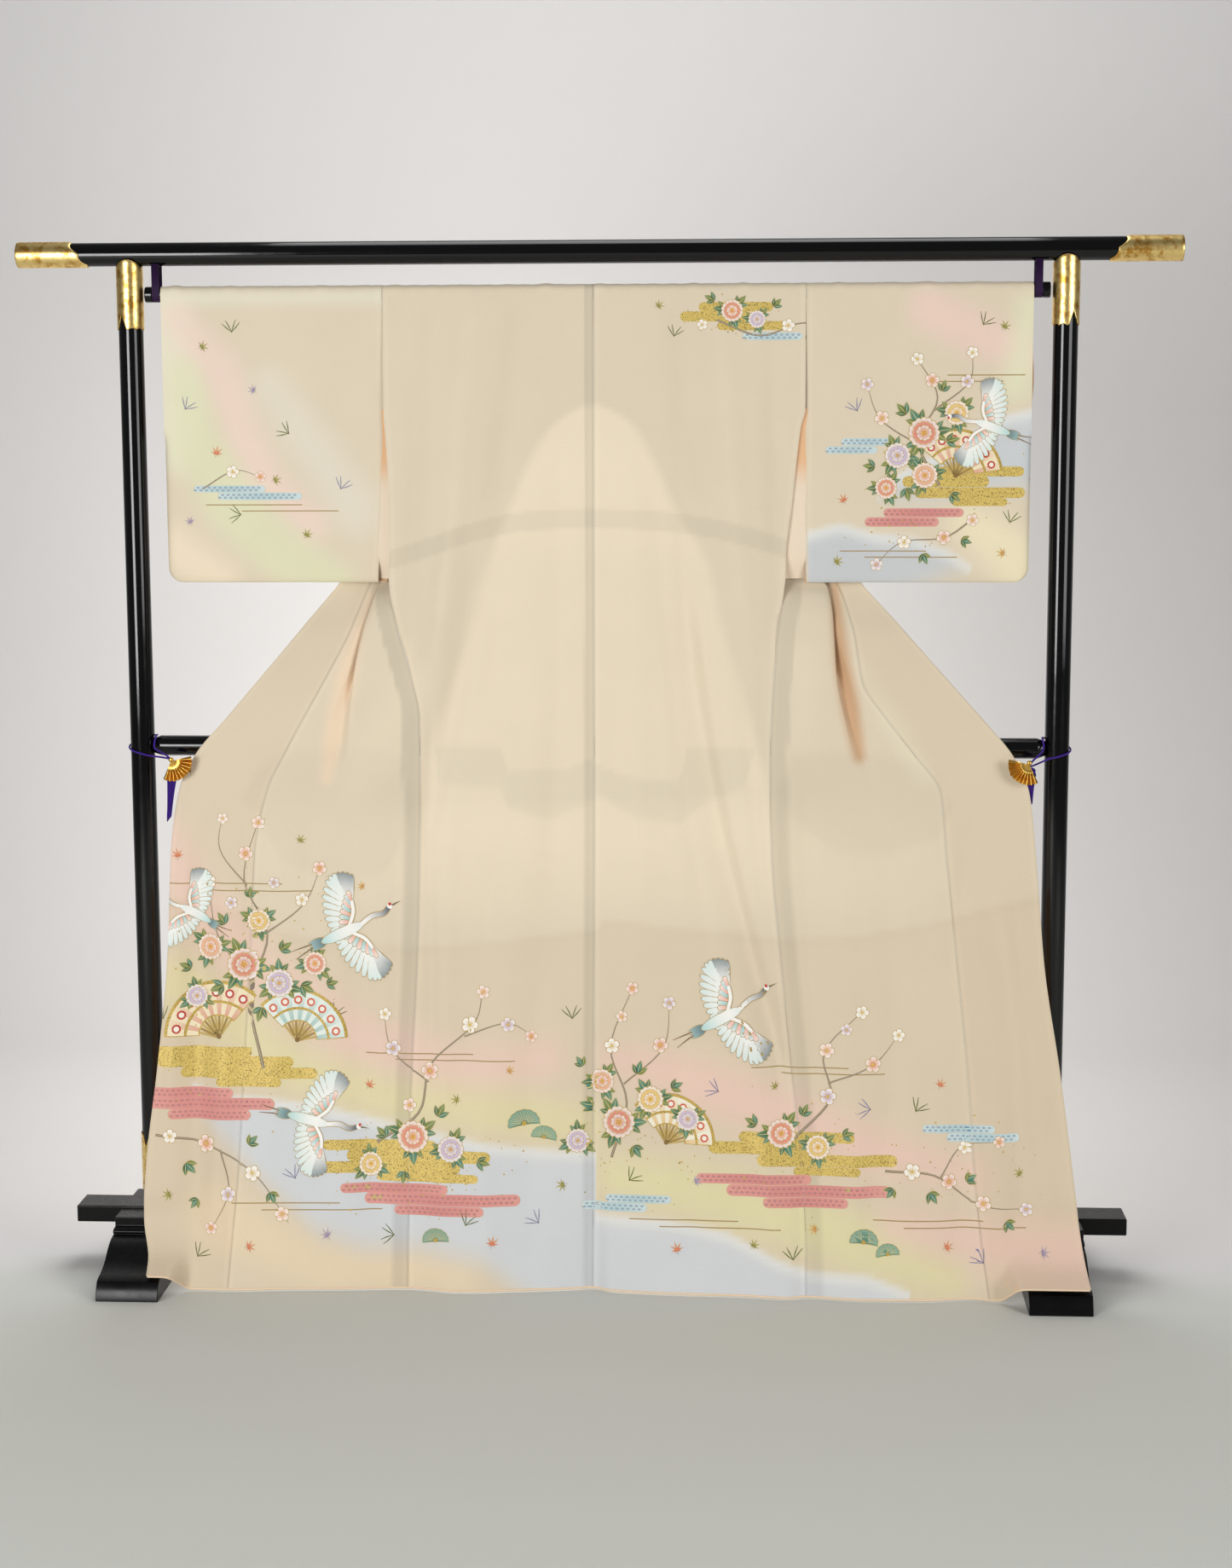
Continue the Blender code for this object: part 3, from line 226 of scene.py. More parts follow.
# Soft grounds in the silk: colour, strength and softness, then a line of points with half widths
SLEEVE_GROUNDS = strokes("""
    #eef0dc 0.55 2: -70 162.5 0.8, -30 162.5 0.6;
    #f0ecd2 0.6 3: -70 158 4, -68 148 3.6, -69 137 2.6;
    #f4d8ca 0.7 2.6: -68 159 2.2, -61 151 3.2, -58 142 3, -54 133 3, -47 126 2.8;
    #e2e2bb 0.75 2.6: -67 150 2.4, -65 138 4.2, -59 128 4.6, -50 120 4.2, -42 117 2;
    #e9e4d6 0.5 3.4: -53 148 2.6, -46 138 3.4, -39 128 3.6;
    #f6e3c6 0.7 3: -70 122 3.4, -62 117 3;
    #f5d3c6 0.75 3: 54 160 3, 62 156 3.4, 70 153 2.6;
    #e9ebc4 0.7 3: 70 160 1.8, 68 148 2.2;
    #f6e9c4 0.75 3: 61 126 3.2, 70 119 4.6""")
HEM_GROUNDS = strokes("""
    #f5d2c4 0.7 4.2: -72 74 3.5, -66 62 4, -56 52 4.2, -40 41 4.4, -22 36 3.8, -8 38 3;
    #ebe2ae 0.7 3.6: -70 50 4, -50 36 3.6, -34 31 3.4, -14 29 3.4, -2 27 3.4;
    #f4dfbd 0.6 3.6: -62 12 5, -46 4 3.4, -22 3 2.6;
    #f5d0c2 0.75 4.2: 4 38 2.4, 18 34 4.2, 32 29 4, 46 24 3.6, 62 20 2;
    #e9e2b0 0.8 3.6: 4 19 3.6, 16 17 4.4, 30 14 5, 44 9 4.6, 58 4 3;
    #f5d0c4 0.65 4.2: 50 12 2.4, 64 9 3.6, 78 8 4""")
# Blue grounds with a pale upper edge: colour, then place across, upper and lower edge
HEM_BLUES = strokes("""
    #d8dde2: -67 33 31, -62 31.5 25, -55 31 18, -46 30 10, -38 28 7, -28 26 7, -18 24 5, -9 23 -2, 0.3 22.6 -6
    0.5 12.6 -6, 12 12 -6, 22 10.2 -6, 30 6.4 -6, 36 4.2 -6, 45 4 -5, 52 1.6 0""")
SLEEVE_BLUES = strokes("""
    #cdd2d5: 46 131 131, 50 134 130, 58 138 130.5, 64 142.5 131, 71 144 132;
    #c9cdd0: 35 124.4 112, 40 125.6 112, 46 124 113, 52 123.4 115, 58 121 118, 61 119 119""")
# Painted shade and light of the deep folds: warm shade down the right fold, a lighter facet beside it and warm light in
# the left fold
FOLD_SHADE_AND_LIGHT = strokes("""
    #cfa277 0.85 1.1: 39.2 117 0.5, 39.8 110 0.9, 40.6 103 1.3, 41.9 96 1.5, 43.4 88 1;
    #e9dec2 0.55 1.6: 43.6 103 0.4, 48.5 94 2, 54 85 1.6;
    #f6dabb 0.75 1.3: -37.3 114 0.4, -39.2 108 1, -41 101 1.7, -43 92 1.7, -44.5 84 0.8""")

# Painted shadows of the middle rail and of the clipped front edges, cast through the silk by the light from behind:
# place across, upper and lower edge
RAIL_SHADOW = table("""
    -26.4 89.4 89, -26 89.4 83.2, -15.7 89.4 82.4, -14.2 85.2 79.3, -7.7 85.6 77.4, -4.1 85.9 78.8
    -0.8 87.4 80.2, 0.8 86.3 81.4, 4.8 84.6 78.9, 6.6 84.3 77.9, 13.9 83.6 76.6, 15.3 89.4 77.8, 18.3 89.4 80.2
    24.6 89.4 82.8, 26.4 89.4 89""")
CLIPS_SHADOW = table("""
    -59 80 80, -56.4 85 78.7, -52.2 88 70.2, -43.6 89 66.7, -35 89 68.2, -32.2 88 73.1, -30 80 80, 30 82 82
    32.7 88 77.7, 39.7 89 72.1, 48.1 88 71.8, 56.4 85 74.3, 59 80 80""")
# Upper edge of the tuck across the back: place across and height
TUCK_TOP = table("""
    -34 121.4, -27.4 123.5, -19 126.3, -10.6 127.9, -0.8 128.3, 8.9 128, 18.5 126.8, 28.2 124.4, 34 122.3""")
TUCK_DEPTH = 3.1
# Light and shade of the soft drapes: strength and softness, then a line of points with half widths
GLOWS = strokes("""
    -0.035 2.2: -13.5 159 0.8, -15 144 1.3, -18.5 128 0.8;
    0.03 1.8: -20 159 0.8, -22 140 1.3, -25 112 0.9;
    -0.035 1.8: -27.5 159 0.7, -28.8 138 1.2, -30.2 108 0.8;
    -0.03 2.2: 12.5 159 0.8, 13.6 146 1.2, 16.5 132 0.8;
    0.025 1.8: 20 159 0.8, 21.8 140 1.2, 24 114 0.9;
    -0.035 1.8: 27.8 159 0.7, 28.6 140 1.2, 29.6 110 0.8;
    0.05 3: -34 88 2, -40 84 3, -30 100 2;
    0.04 3: 34 92 2, 34 104 2.4;
    0.05 5: -50 72 6, -20 70 9, 0 70 9, 20 70 9, 50 71 6""")
# Edges of the painted light down the middle of the back, where the light from behind comes through the single layer:
# height and place across
LIT_DOME = {
    "left": table("""
        145.7 -0.8, 141.6 -7, 134.1 -11.6, 127.2 -14.5, 119.6 -17.6, 111.2 -19.6, 100 -23.5, 91.5 -26.7
        81.6 -28.3, 60 -29"""),
    "right": table("""
        145.7 0.6, 141.6 6.8, 134.1 10.9, 127.2 14.1, 119.6 18.6, 108.5 21.4, 97.3 24.9, 88.9 27, 80.5 29.2
        60 30"""),
}
# Where the lower lining starts: place across and height
LINING_LINE = table("""
    -75 64.5, -56.5 60.9, -50.8 58.2, -42.2 56.7, -30.8 56.2, -19.4 56.8, -8.1 58.2, 0.4 59.2, 1.8 60.9
    11.7 59.7, 22.9 58.7, 33 57.9, 42.6 58.4, 50.9 59.6, 60 61.8, 80 67""")
SIDE_ALLOWANCE = 2.9
CENTRE_ALLOWANCE = 1.45
OVERLAP_TINT = np.array([0.965, 0.945, 0.93])
# How far the drawn shapes lie above the cloth, and how much each layer adds, so that none lie in one plane
PAINT_LIFT = 0.012
LAYER_LIFT = 0.005

# Stand, cm
RAIL_LENGTH = 188.4
RAIL_RADIUS = 1.9
RAIL_Z = 169.55
RAIL_END_LENGTH = 10.7
RAIL_END_WALL = 0.17
UPRIGHT_X = 75.87
UPRIGHT_RADIUS = 2.0
GILT_WALL = 0.15
GILT_FIT = 0.008
TOP_SLEEVE_Z = (157.4, 167.5)
SHOE_Z = (12.4, 22.7)
LOBE = 0.3
SHEET_STEPS = 144
MIDDLE_RAIL_Z = 89.0
MIDDLE_RAIL_RADIUS = 1.7
BAR_LENGTH = 177.6
BAR_DEPTH = 6.5
BAR_Z = (7.35, 10.2)
FOOT_WIDTH = 10.3
# Side of a foot: distance from its middle and height
FOOT_PROFILE = table("""
    22.4 0, 22.2 1.2, 21.7 2.3, 21.2 3, 20.3 3.4, 19 3.6, 17.8 3.9, 16.6 4.3, 15.4 4.9, 14.4 5.6, 13.4 6.2
    12.4 6.7, 11.4 7, 10.4 7.2, 9.6 7.3, 9.85 7.6, 9.85 7.9, 9.4 8.2, 8.2 8.3, 8.2 9.8""")
ROD_LENGTH = 146.6
KNOB_LENGTH = 1.2
KNOB_RADIUS = 1.28
STRAP_X = 71.4
STRAP_WIDTH = 1.2
STRAP_WALL = 0.12

# Clips, ties and tassels, cm
FAN_Z = 87.0
FAN_Y = -4.95
FAN_SPAN = (-13.0, 116.0)
FAN_PLEATS = 10
FAN_WALL = 0.07
# Fan from its pivot outwards: radius, depth of the pleats and how far it stands out
FAN_RINGS = table("0.18 0 0.3, 0.7 0 0.24, 1.25 0 0.06, 1.38 0 0.14, 1.46 0.05 0.12, 1.6 0.15 0, 2.2 0.22 0, "
                  "2.9 0.27 0, 3.3 0.3 0, 3.42 0.3 0")
CLIPS = {"left": (-70.0, -1.0), "right": (70.9, 1.0)}
CORD_RADIUS = 0.16
TIE_BEND = {"left": (71.4, -3.6, 87.35), "right": (71.4, -2.95, 86.42)}
TIE_RETURN = table("2.35 0.45 90.72, 2.4 -0.9 90.5, 2.35 -1.85 89.6, 2.7 -2.65 88.7")
TASSELS = {"left": (-70.0, -4.41, -0.095, 9.5), "right": (71.4, -2.78, 0.0, 6.6)}
TASSEL_Z = (85.0, 86.2)
STRANDS = (14, 8)
# Tassel head: radius and height
HEAD_PROFILE = table("0 -0.08, 0.9 -0.06, 1.02 0.06, 1.04 0.3, 0.94 0.42, 1 0.55, 0.98 0.8, 0.8 1.02, 0.45 1.16, "
                     "0 1.2")

# Camera: its place in metres, turn, tilt and roll in degrees, and focal length in heights of the frame
CAMERA_PLACE = (0.259, -4.20, 1.419)
CAMERA_TURN = (3.07, 8.0, -0.17)
FOCAL_HEIGHTS = 3000.0 / 1839.0
SENSOR_HEIGHT = 36.0
# Backdrop, metres: radius of its bend, and how far behind the object it stands
COVE_RADIUS = 0.9
COVE_Y = 2.4


def linear(text):
    """Linear red, green and blue of an sRGB hex colour."""
    value = np.array([int(text[i:i + 2], 16) for i in (1, 3, 5)]) / 255.0
    return np.where(value <= 0.04045, value / 12.92, ((value + 0.055) / 1.055) ** 2.4)


def hermite(t, start, leave, end, arrive):
    """Cubic from one value to the next with its slope at both."""
    return (start * (2 * t**3 - 3 * t**2 + 1) + leave * (t**3 - 2 * t**2 + t) + end * (3 * t**2 - 2 * t**3)
            + arrive * (t**3 - t**2))


def smooth(known, values, wanted):
    """Cubic through a table: the slope at each row is the harmonic mean of its neighbours' slopes, so the
    curve never overshoots."""
    order = np.argsort(known)
    t, v = np.asarray(known, float)[order], np.asarray(values, float)[order]
    step = np.diff(t)
    slope = np.diff(v) / step
    same = slope[:-1] * slope[1:] > 0
    safe = np.where(same, slope[:-1] + slope[1:], 1.0)
    tangent = np.concatenate([slope[:1], np.where(same, 2 * slope[:-1] * slope[1:] / safe, 0.0), slope[-1:]])
    wanted = np.clip(np.asarray(wanted, float), t[0], t[-1])
    i = np.clip(np.searchsorted(t, wanted, side="right") - 1, 0, len(t) - 2)
    return hermite((wanted - t[i]) / step[i], v[i], tangent[i] * step[i], v[i + 1], tangent[i + 1] * step[i])


def read(rows, wanted):
    """A two column table at the wanted places."""
    rows = np.asarray(rows, float)
    return smooth(rows[:, 0], rows[:, 1], wanted)


def ease(t):
    """Smooth step from 0 to 1."""
    t = np.clip(t, 0.0, 1.0)
    return t * t * (3 - 2 * t)


def bell(away, width):
    """Bell curve: e to the power of minus the square of the distance in widths."""
    return np.exp(-((away / width) ** 2))


def distance(points):
    """Distance of each point of a path from its start."""
    return np.concatenate([[0], np.cumsum(np.linalg.norm(np.diff(points, axis=0), axis=1))])


def spread(points, length, wanted):
    """Points of a path at the wanted distances, on straight lines between its own."""
    return np.column_stack([np.interp(wanted, length, column) for column in points.T])


def circle(count):
    """Cosine and sine of even steps round a circle."""
    angle = np.linspace(0, 2 * np.pi, count, endpoint=False)
    return np.cos(angle), np.sin(angle)


def over_foot(x):
    """How far a place lies over a foot, from 0 to 1."""
    return ease((np.abs(x) - FOOT_DRAPE_FROM) / (FOOT_DRAPE_FULL - FOOT_DRAPE_FROM))


def hem_height(x):
    """Height of the hem: level, and lifted where it lies over a foot."""
    return HEM_Z + (FOOT_HEM_Z - HEM_Z) * over_foot(x)


def fold_offset(x, z, folds):
    """Sum of folds: depth times a bell of the distance from a line through three points, faded at its ends."""
    total = np.zeros(np.broadcast(x, z).shape)
    for x1, z1, x2, z2, x3, z3, depth, width in folds:
        middle = smooth([z3, z2, z1], [x3, x2, x1], z)
        fade = ease((z1 - z) / (0.3 * (z1 - z3))) * ease((z - z3) / (0.2 * (z1 - z3)) + 0.5)
        total = total + depth * fade * bell(x - middle, width)
    return total


def storage_creases(x, z):
    """Sharp shallow lines where the garment was folded away: a narrow peak across each level."""
    line = 81.0 + 0.01 * x + 0.25 * np.sin(x / 9.0)
    return -0.10 * np.exp(-np.abs(z - line) / 0.45) - 0.06 * np.exp(-np.abs(z - 41.5 - 0.3 * np.sin(x / 7.0)) / 0.5)


def hang_y(x, z):
    """Depth of the hanging cloth: hang line, waves of the hem, folds, creases and the drape over the feet."""
    y = read(HANG, z)
    y = y + read(HEM_WAVE, x) * np.clip(1 - z / HEM_WAVE_HEIGHT, 0, 1) ** 1.4
    y = y + fold_offset(x, z, FOLDS) + fold_offset(x, z, CREASES) + storage_creases(x, z)
    share = over_foot(x) * ease((FOOT_DRAPE[0][0] - z) / 5.0)
    return y * (1 - share) + read(FOOT_DRAPE, z) * share


def front_points(side, z):
    """Place across and depth of the six points of a front's cut."""
    rows = np.array(FRONTS[side][0]).T
    return np.array([smooth(rows[0], row, z) for row in rows[1:]]).reshape(6, 2, *np.shape(z))


def front_cut(side, z, marks):
    """Points of a front's cut at one height: a Catmull-Rom curve through the cut's points, read at marks
    counted in spans, or spread evenly along the cloth high up."""
    points = front_points(side, z)
    ends = np.vstack([2 * points[0] - points[1], points, 2 * points[-1] - points[-2]])
    t = np.linspace(0, 1, 25)
    curve = []
    for p0, p1, p2, p3 in zip(ends[:-3], ends[1:-2], ends[2:-1], ends[3:]):
        span = np.linalg.norm(p2 - p1)
        leave, arrive = (way * 0.5 * min(1.0, span / max(np.linalg.norm(way), 1e-6)) for way in (p2 - p0, p3 - p1))
        curve.append(hermite(t[:, None], p1, leave, p2, arrive))
    spans = (np.arange(5)[:, None] + t * (1 - 1e-9)).ravel()
    inside = (spans >= marks[0] - 1e-9) & (spans <= marks[-1] + 1e-9)
    curve, spans = np.vstack(curve)[inside], spans[inside]
    length = distance(curve)
    even = length[-1] * (marks - marks[0]) / (marks[-1] - marks[0])
    share = ease((z - 122.0) / 20.0)
    return spread(curve, length, np.interp(marks, spans, length) * (1 - share) + even * share)


def front_rows(side, heights, marks):
    """A front as rows of points, from the top down, laid on the hanging cloth below the clips."""
    out = []
    for z in heights:
        cut = front_cut(side, z, marks)
        x, y = cut[:, 0] * FRONTS[side][1], cut[:, 1]
        lift = hem_height(x)
        height = np.where(z < 20.0, lift + (z - HEM_Z) * (20.0 - lift) / (20.0 - HEM_Z), z)
        share = ease((90.0 - z) / 8.0)
        loose = fold_offset(x, height, FOLDS) * (z < 100.0)
        loose = loose + 0.6 * fold_offset(x, height, CREASES) * ease((104.0 - z) / 8.0)
        out.append(np.column_stack([x, y * (1 - share) + hang_y(x, height) * share + loose * (1 - share), height]))
    return np.array(out)


def close_seams(grid, inner, outer):
    """Draw the first and last column of a grid in by a share of the seam clearance."""
    for at, to, share in ((0, 1, inner), (-1, -2, outer)):
        along = grid[:, to] - grid[:, at]
        grid[:, at] += along / np.maximum(np.linalg.norm(along, axis=1)[:, None], 1e-6) * GAP * share
    return grid


def panel_shares(count, *bands):
    """Column places across a panel from 0 to 1, closer together at the seams and at the edges of the bands."""
    even = np.linspace(0, 1, count)[1:-1]
    even = even[np.abs(even[:, None] - np.array(bands)).min(axis=1) > 0.011]
    ends = [0, 0.0035, 0.008]
    return np.sort(np.concatenate([even, ends, 1 - np.array(ends), [b + d for b in bands for d in (-0.004, 0.004)]]))


def puckers(x):
    """Small puckers where the cloth bends over the rod: the product of two waves, sharpened."""
    wave = np.sin(x * 0.93 + 1.3 * np.sin(x * 0.31)) * np.cos(x * 0.41)
    return 0.03 * np.sin(x * 2.1) + 0.17 * np.clip(wave, 0, 1) ** 3


def over_rod(x):
    """Rows over the rod from back to front: a half circle with the puckers added to its radius."""
    turn = np.pi * np.arange(1, TURN_ROWS + 1)[:, None] / (TURN_ROWS + 1)
    radius = DRAPE_RADIUS + puckers(x)
    y, z = -radius * np.cos(turn), ROD_Z + radius * np.sin(turn)
    return np.stack([np.broadcast_to(x, y.shape), y, z], axis=2)


def body_grid(side):
    """One body panel: rows up the back from the hem, over the rod and down the front to the hem."""
    shares = panel_shares(60, SIDE_ALLOWANCE / SHOULDER_HALF, 1 - CENTRE_ALLOWANCE / SHOULDER_HALF)
    z = np.concatenate([np.linspace(HEM_Z, 112, 130), np.linspace(112.8, 130, 32), np.linspace(130.8, ROD_Z, 40)])
    edge = np.where(z > SLIT[side][-1][0], read(SLIT[side], z), front_points(side, z)[0, 0])
    x = edge[:, None] * (1 - shares)[None, :] * FRONTS[side][1]
    height = np.broadcast_to(z[:, None], x.shape)
    back = np.stack([x, hang_y(x, height), height], axis=2)
    down = np.concatenate([np.linspace(162.6, 124, 50), np.linspace(123.4, 84, 80), np.linspace(83.2, HEM_Z, 96)])
    front = front_rows(side, down, 4 * shares)
    return close_seams(np.concatenate([back, over_rod(x[-1]), front]), 0.5, 0.5), len(z)


def okumi_grid(side):
    """The overlap strip between a front and its front edge, from its pointed top to the hem."""
    down = np.concatenate([np.linspace(OKUMI_TOP, 84, 92), np.linspace(83.2, HEM_Z, 96)])
    return close_seams(front_rows(side, down, np.linspace(4, 5, 26)), 0.5, 0.0)


def sleeve_grid(side):
    """A sleeve as one length of cloth: rows up the back, over the rod and down the front. Both walls draw
    together along the sewn edges, and the outer corner is rounded."""
    across = np.concatenate([[0, 0.018, 0.035, 0.043, 0.051, 0.061], np.linspace(0.08, 0.9, 40),
                             np.linspace(0.91, 1, 13)])
    z = np.unique(np.concatenate([SLEEVE_BOTTOM + 6 * np.linspace(0, 1, 14) ** 2, np.linspace(122.3, ROD_Z, 54)]))
    corner_rise = np.clip(SLEEVE_CORNER - (z - SLEEVE_BOTTOM), 0, SLEEVE_CORNER)
    edge = SLEEVE_END - (SLEEVE_CORNER - np.sqrt(SLEEVE_CORNER**2 - corner_rise**2))
    cuff = (0.5 if side == "right" else 0.25) * bell(z - 149.0, 4.5)
    walls = []
    for behind, inner, outer in ((True, read(SLEEVE_INNER[side], z), edge), (False, np.full_like(z, SLEEVE_SEAM),
                                                                             edge + cuff)):
        x = inner[:, None] + (outer - inner)[:, None] * across[None, :]
        height = np.broadcast_to(z[:, None], x.shape)
        drop = (ROD_Z - height) / (ROD_Z - SLEEVE_BOTTOM)
        sewn = np.minimum(outer[:, None] - x + 4.0 * ease((height - CUFF_LOW + 2.0) / 6.0), height - SLEEVE_BOTTOM)
        draw_in = np.sqrt(np.clip(1 - (1 - np.clip(sewn / 2.2, 0, 1)) ** 2, 0, 1))
        half = 0.13 + (DRAPE_RADIUS - 0.33 * drop - 0.13) * draw_in
        sway = 0.16 * drop * np.sin(x / 4.3 + height / 31.0) + 0.10 * drop * np.sin(x / 2.3 - height / 17.0 + 1.0)
        sink = 0.22 * bell(x - 34.5, 2.5) * ease((143.8 - height) / 14.0)
        y = (-half - 0.1 * drop) + sway * 0.8 + sink if behind else (half - 0.05 * drop) + sway * 0.6
        walls.append(np.stack([x * FRONTS[side][1], y, height], axis=2))
    return np.concatenate([walls[0], over_rod(walls[0][-1, :, 0]), walls[1][::-1]]), len(z)


def slit_grid(side, sleeve):
    """Lining that shows in the open seam between a sleeve and the body: a strip from behind the sleeve's edge
    to behind the body's edge, bulging a little and drawn back at its foot."""
    sign = FRONTS[side][1]
    z = np.linspace(144.4, 116.9, 64)[:, None]
    t = np.linspace(0, 1, 13)[None, :]
    outer = np.interp(z, sleeve[:, 1, 2], sleeve[:, 1, 0] * sign)
    inner = read(SLIT[side], z) - 0.8
    near = np.interp(z, sleeve[:, 1, 2], sleeve[:, 1, 1]) + 0.26
    x = (outer * (1 - t) + inner * t) * sign
    y = near * (1 - t) + (hang_y(inner * sign, z) + 0.26) * t
    y = y - 0.10 * np.sin(np.pi * t) * (1 + 0.8 * np.sin(z / 1.9 + 2 * t)) + 1.3 * ease((121 - z) / 4.4)
    return np.stack([x, y, np.broadcast_to(z, x.shape)], axis=2)


def collar_path(side, count):
    """Front edge of the garment from the middle of the neck down to the clip."""
    neck = [(0.0, 1.36, 162.95), (4.4, 1.36, 162.9), (8.2, 1.38, 162.3)]
    z = np.array([160.6, 157, 152, 146, 140, 134, 128, 122, 116, 110, 104, 98, 93, 88.5, 85.8])
    points = np.vstack([neck, np.column_stack([*front_points(side, z)[5], z])])
    length = distance(points)
    path = np.column_stack([smooth(length, column, np.linspace(0, length[-1], count)) for column in points.T])
    return path * [FRONTS[side][1], 1, 1]


def collar_grid(path):
    """The folded collar: a band of one width on the inner side of its path, tilted off the fronts."""
    tangent = np.gradient(path, axis=0)
    tangent[:, 1] = 0
    tangent /= np.linalg.norm(tangent, axis=1)[:, None]
    inward = np.column_stack([tangent[:, 2], np.zeros(len(path)), -tangent[:, 0]])
    inward[inward[:, 2] > 0] *= -1
    tilt = 0.02 + 0.30 * ease((path[:, 2] - 98.0) / 14.0) * ease((161.0 - path[:, 2]) / 12.0)
    across = np.linspace(-0.05, COLLAR_WIDTH, 13)
    grid = path[:, None, :] + inward[:, None, :] * across[None, :, None]
    grid[:, :, 1] += 0.37 + tilt[:, None] * across[None, :] + 0.05 * np.sin(path[:, 2] / 2.3)[:, None]
    return grid


def normals(grid, closed=False):
    """Unit normals of a grid: the cross product of its two directions."""
    if closed:
        across = np.roll(grid, -1, axis=1) - np.roll(grid, 1, axis=1)
    else:
        across = np.gradient(grid, axis=1)
    out = np.cross(across, np.gradient(grid, axis=0))
    return out / np.maximum(np.linalg.norm(out, axis=2, keepdims=True), 1e-9)


def new_object(name, verts, faces, materials):
    """A smooth mesh object at the origin from points in centimetres and faces."""
    mesh = bpy.data.meshes.new(name)
    faces = faces.tolist() if isinstance(faces, np.ndarray) else faces
    mesh.from_pydata((np.asarray(verts) * CM).tolist(), [], faces)
    mesh.update()
    mesh.polygons.foreach_set("use_smooth", np.ones(len(mesh.polygons), bool))
    for one in materials:
        mesh.materials.append(one)
    obj = bpy.data.objects.new(name, mesh)
    bpy.context.scene.collection.objects.link(obj)
    return obj


def paint(mesh, colours):
    """Store one linear colour per point, the dye."""
    rgba = np.ones((len(mesh.vertices), 4), np.float32)
    rgba[:, :3] = colours
    mesh.color_attributes.new("dye", "FLOAT_COLOR", "POINT").data.foreach_set("color", rgba.ravel())


def map_cloth(mesh, places):
    """Store each point's place on its own cloth, in metres, as the UV map."""
    corner = np.zeros(len(mesh.loops), np.int32)
    mesh.loops.foreach_get("vertex_index", corner)
    mesh.uv_layers.new(name="cloth").data.foreach_set("uv", places[corner].astype(np.float32).ravel())


def grid_quads(rows, columns, closed=False):
    """Quads of a grid, as indices."""
    i = np.arange(rows - 1)[:, None]
    j = np.arange(columns if closed else columns - 1)[None, :]
    k = (j + 1) % columns
    return np.stack(np.broadcast_arrays(i * columns + j, i * columns + k, (i + 1) * columns + k,
                                        (i + 1) * columns + j), axis=2).reshape(-1, 4)


def sew(name, grid, wall, flip, materials, outside=None, inside=None, closed=False):
    """A cloth wall: the grid moved half a wall out and in along its normals, joined by a rim. The outer
    skin has the first material, the inner skin the second. Returns the object and its outer skin."""
    rows, columns = grid.shape[:2]
    count = rows * columns
    way = normals(grid, closed) * (-1 if flip else 1)
    outer, inner = grid + way * wall / 2, grid - way * wall / 2
    skin = grid_quads(rows, columns, closed)
    number = np.arange(count).reshape(rows, columns)
    if closed:
        loops = [number[0], number[-1][::-1]]
    else:
        loops = [np.concatenate([number[0, :-1], number[:-1, -1], number[-1, :0:-1], number[:0:-1, 0]])]
    rims = [np.stack([loop, loop + count, np.roll(loop, -1) + count, np.roll(loop, -1)], axis=1) for loop in loops]
    faces = np.concatenate([skin, skin[:, ::-1] + count, *rims])
    obj = new_object(name, np.concatenate([outer.reshape(-1, 3), inner.reshape(-1, 3)]),
                     faces[:, ::-1] if flip else faces, materials)
    mesh = obj.data
    index = np.zeros(len(faces), np.int32)
    index[len(skin):2 * len(skin)] = len(materials) > 1
    mesh.polygons.foreach_set("material_index", index)
    edges = np.zeros(len(mesh.edges) * 2, np.int32)
    mesh.edges.foreach_get("vertices", edges)
    edges = edges.reshape(-1, 2)
    on_rim = np.isin(np.arange(2 * count) % count, np.concatenate(loops))
    sharp = on_rim[edges].all(axis=1) & (edges[:, 0] // count == edges[:, 1] // count)
    mesh.attributes.new("sharp_edge", "BOOLEAN", "EDGE").data.foreach_set("value", sharp)
    u, v = (np.linalg.norm(np.diff(grid, axis=axis), axis=2).mean(axis=1 - axis) for axis in (1, 0))
    u, v = (np.concatenate([[0], np.cumsum(steps)]) * CM for steps in (u, v))
    places = np.stack(np.broadcast_arrays(u[None, :], v[:, None]), axis=2).reshape(-1, 2)
    map_cloth(mesh, np.concatenate([places, places]))
    if outside is not None:
        inside = outside if inside is None else inside
        paint(mesh, np.concatenate([outside.reshape(-1, 3), inside.reshape(-1, 3)]))
    return obj, (outer, way)


def stroke_mask(x, z, line, soft):
    """How much a soft stroke covers each point: 1 inside its half width, fading over its softness."""
    best = np.full(x.shape, 1e9)
    for (xa, za, wa), (xb, zb, wb) in zip(line[:-1], line[1:]):
        along = np.array([xb - xa, zb - za])
        t = np.clip(((x - xa) * along[0] + (z - za) * along[1]) / (along @ along), 0, 1)
        away = np.hypot(x - xa - t * along[0], z - za - t * along[1]) - (wa + (wb - wa) * t)
        best = np.minimum(best, away)
    return 1 - ease((best + soft) / (2 * soft))


def between(x, z, rows, soft_top, soft_low):
    """How much each point lies between an upper and a lower edge: a smooth step across each edge."""
    across, top, low = np.array(rows).T
    above, below = np.interp(x, across, top) - z, z - np.interp(x, across, low)
    inside = (x > across[0]) & (x < across[-1])
    return ease(above / soft_top + 0.5) * ease(below / soft_low + 0.5) * inside


def tinted(colour, tint, share):
    """A colour with a tint laid over it by a share of each point."""
    share = share[..., None]
    return colour * (1 - share) + linear(tint) * share


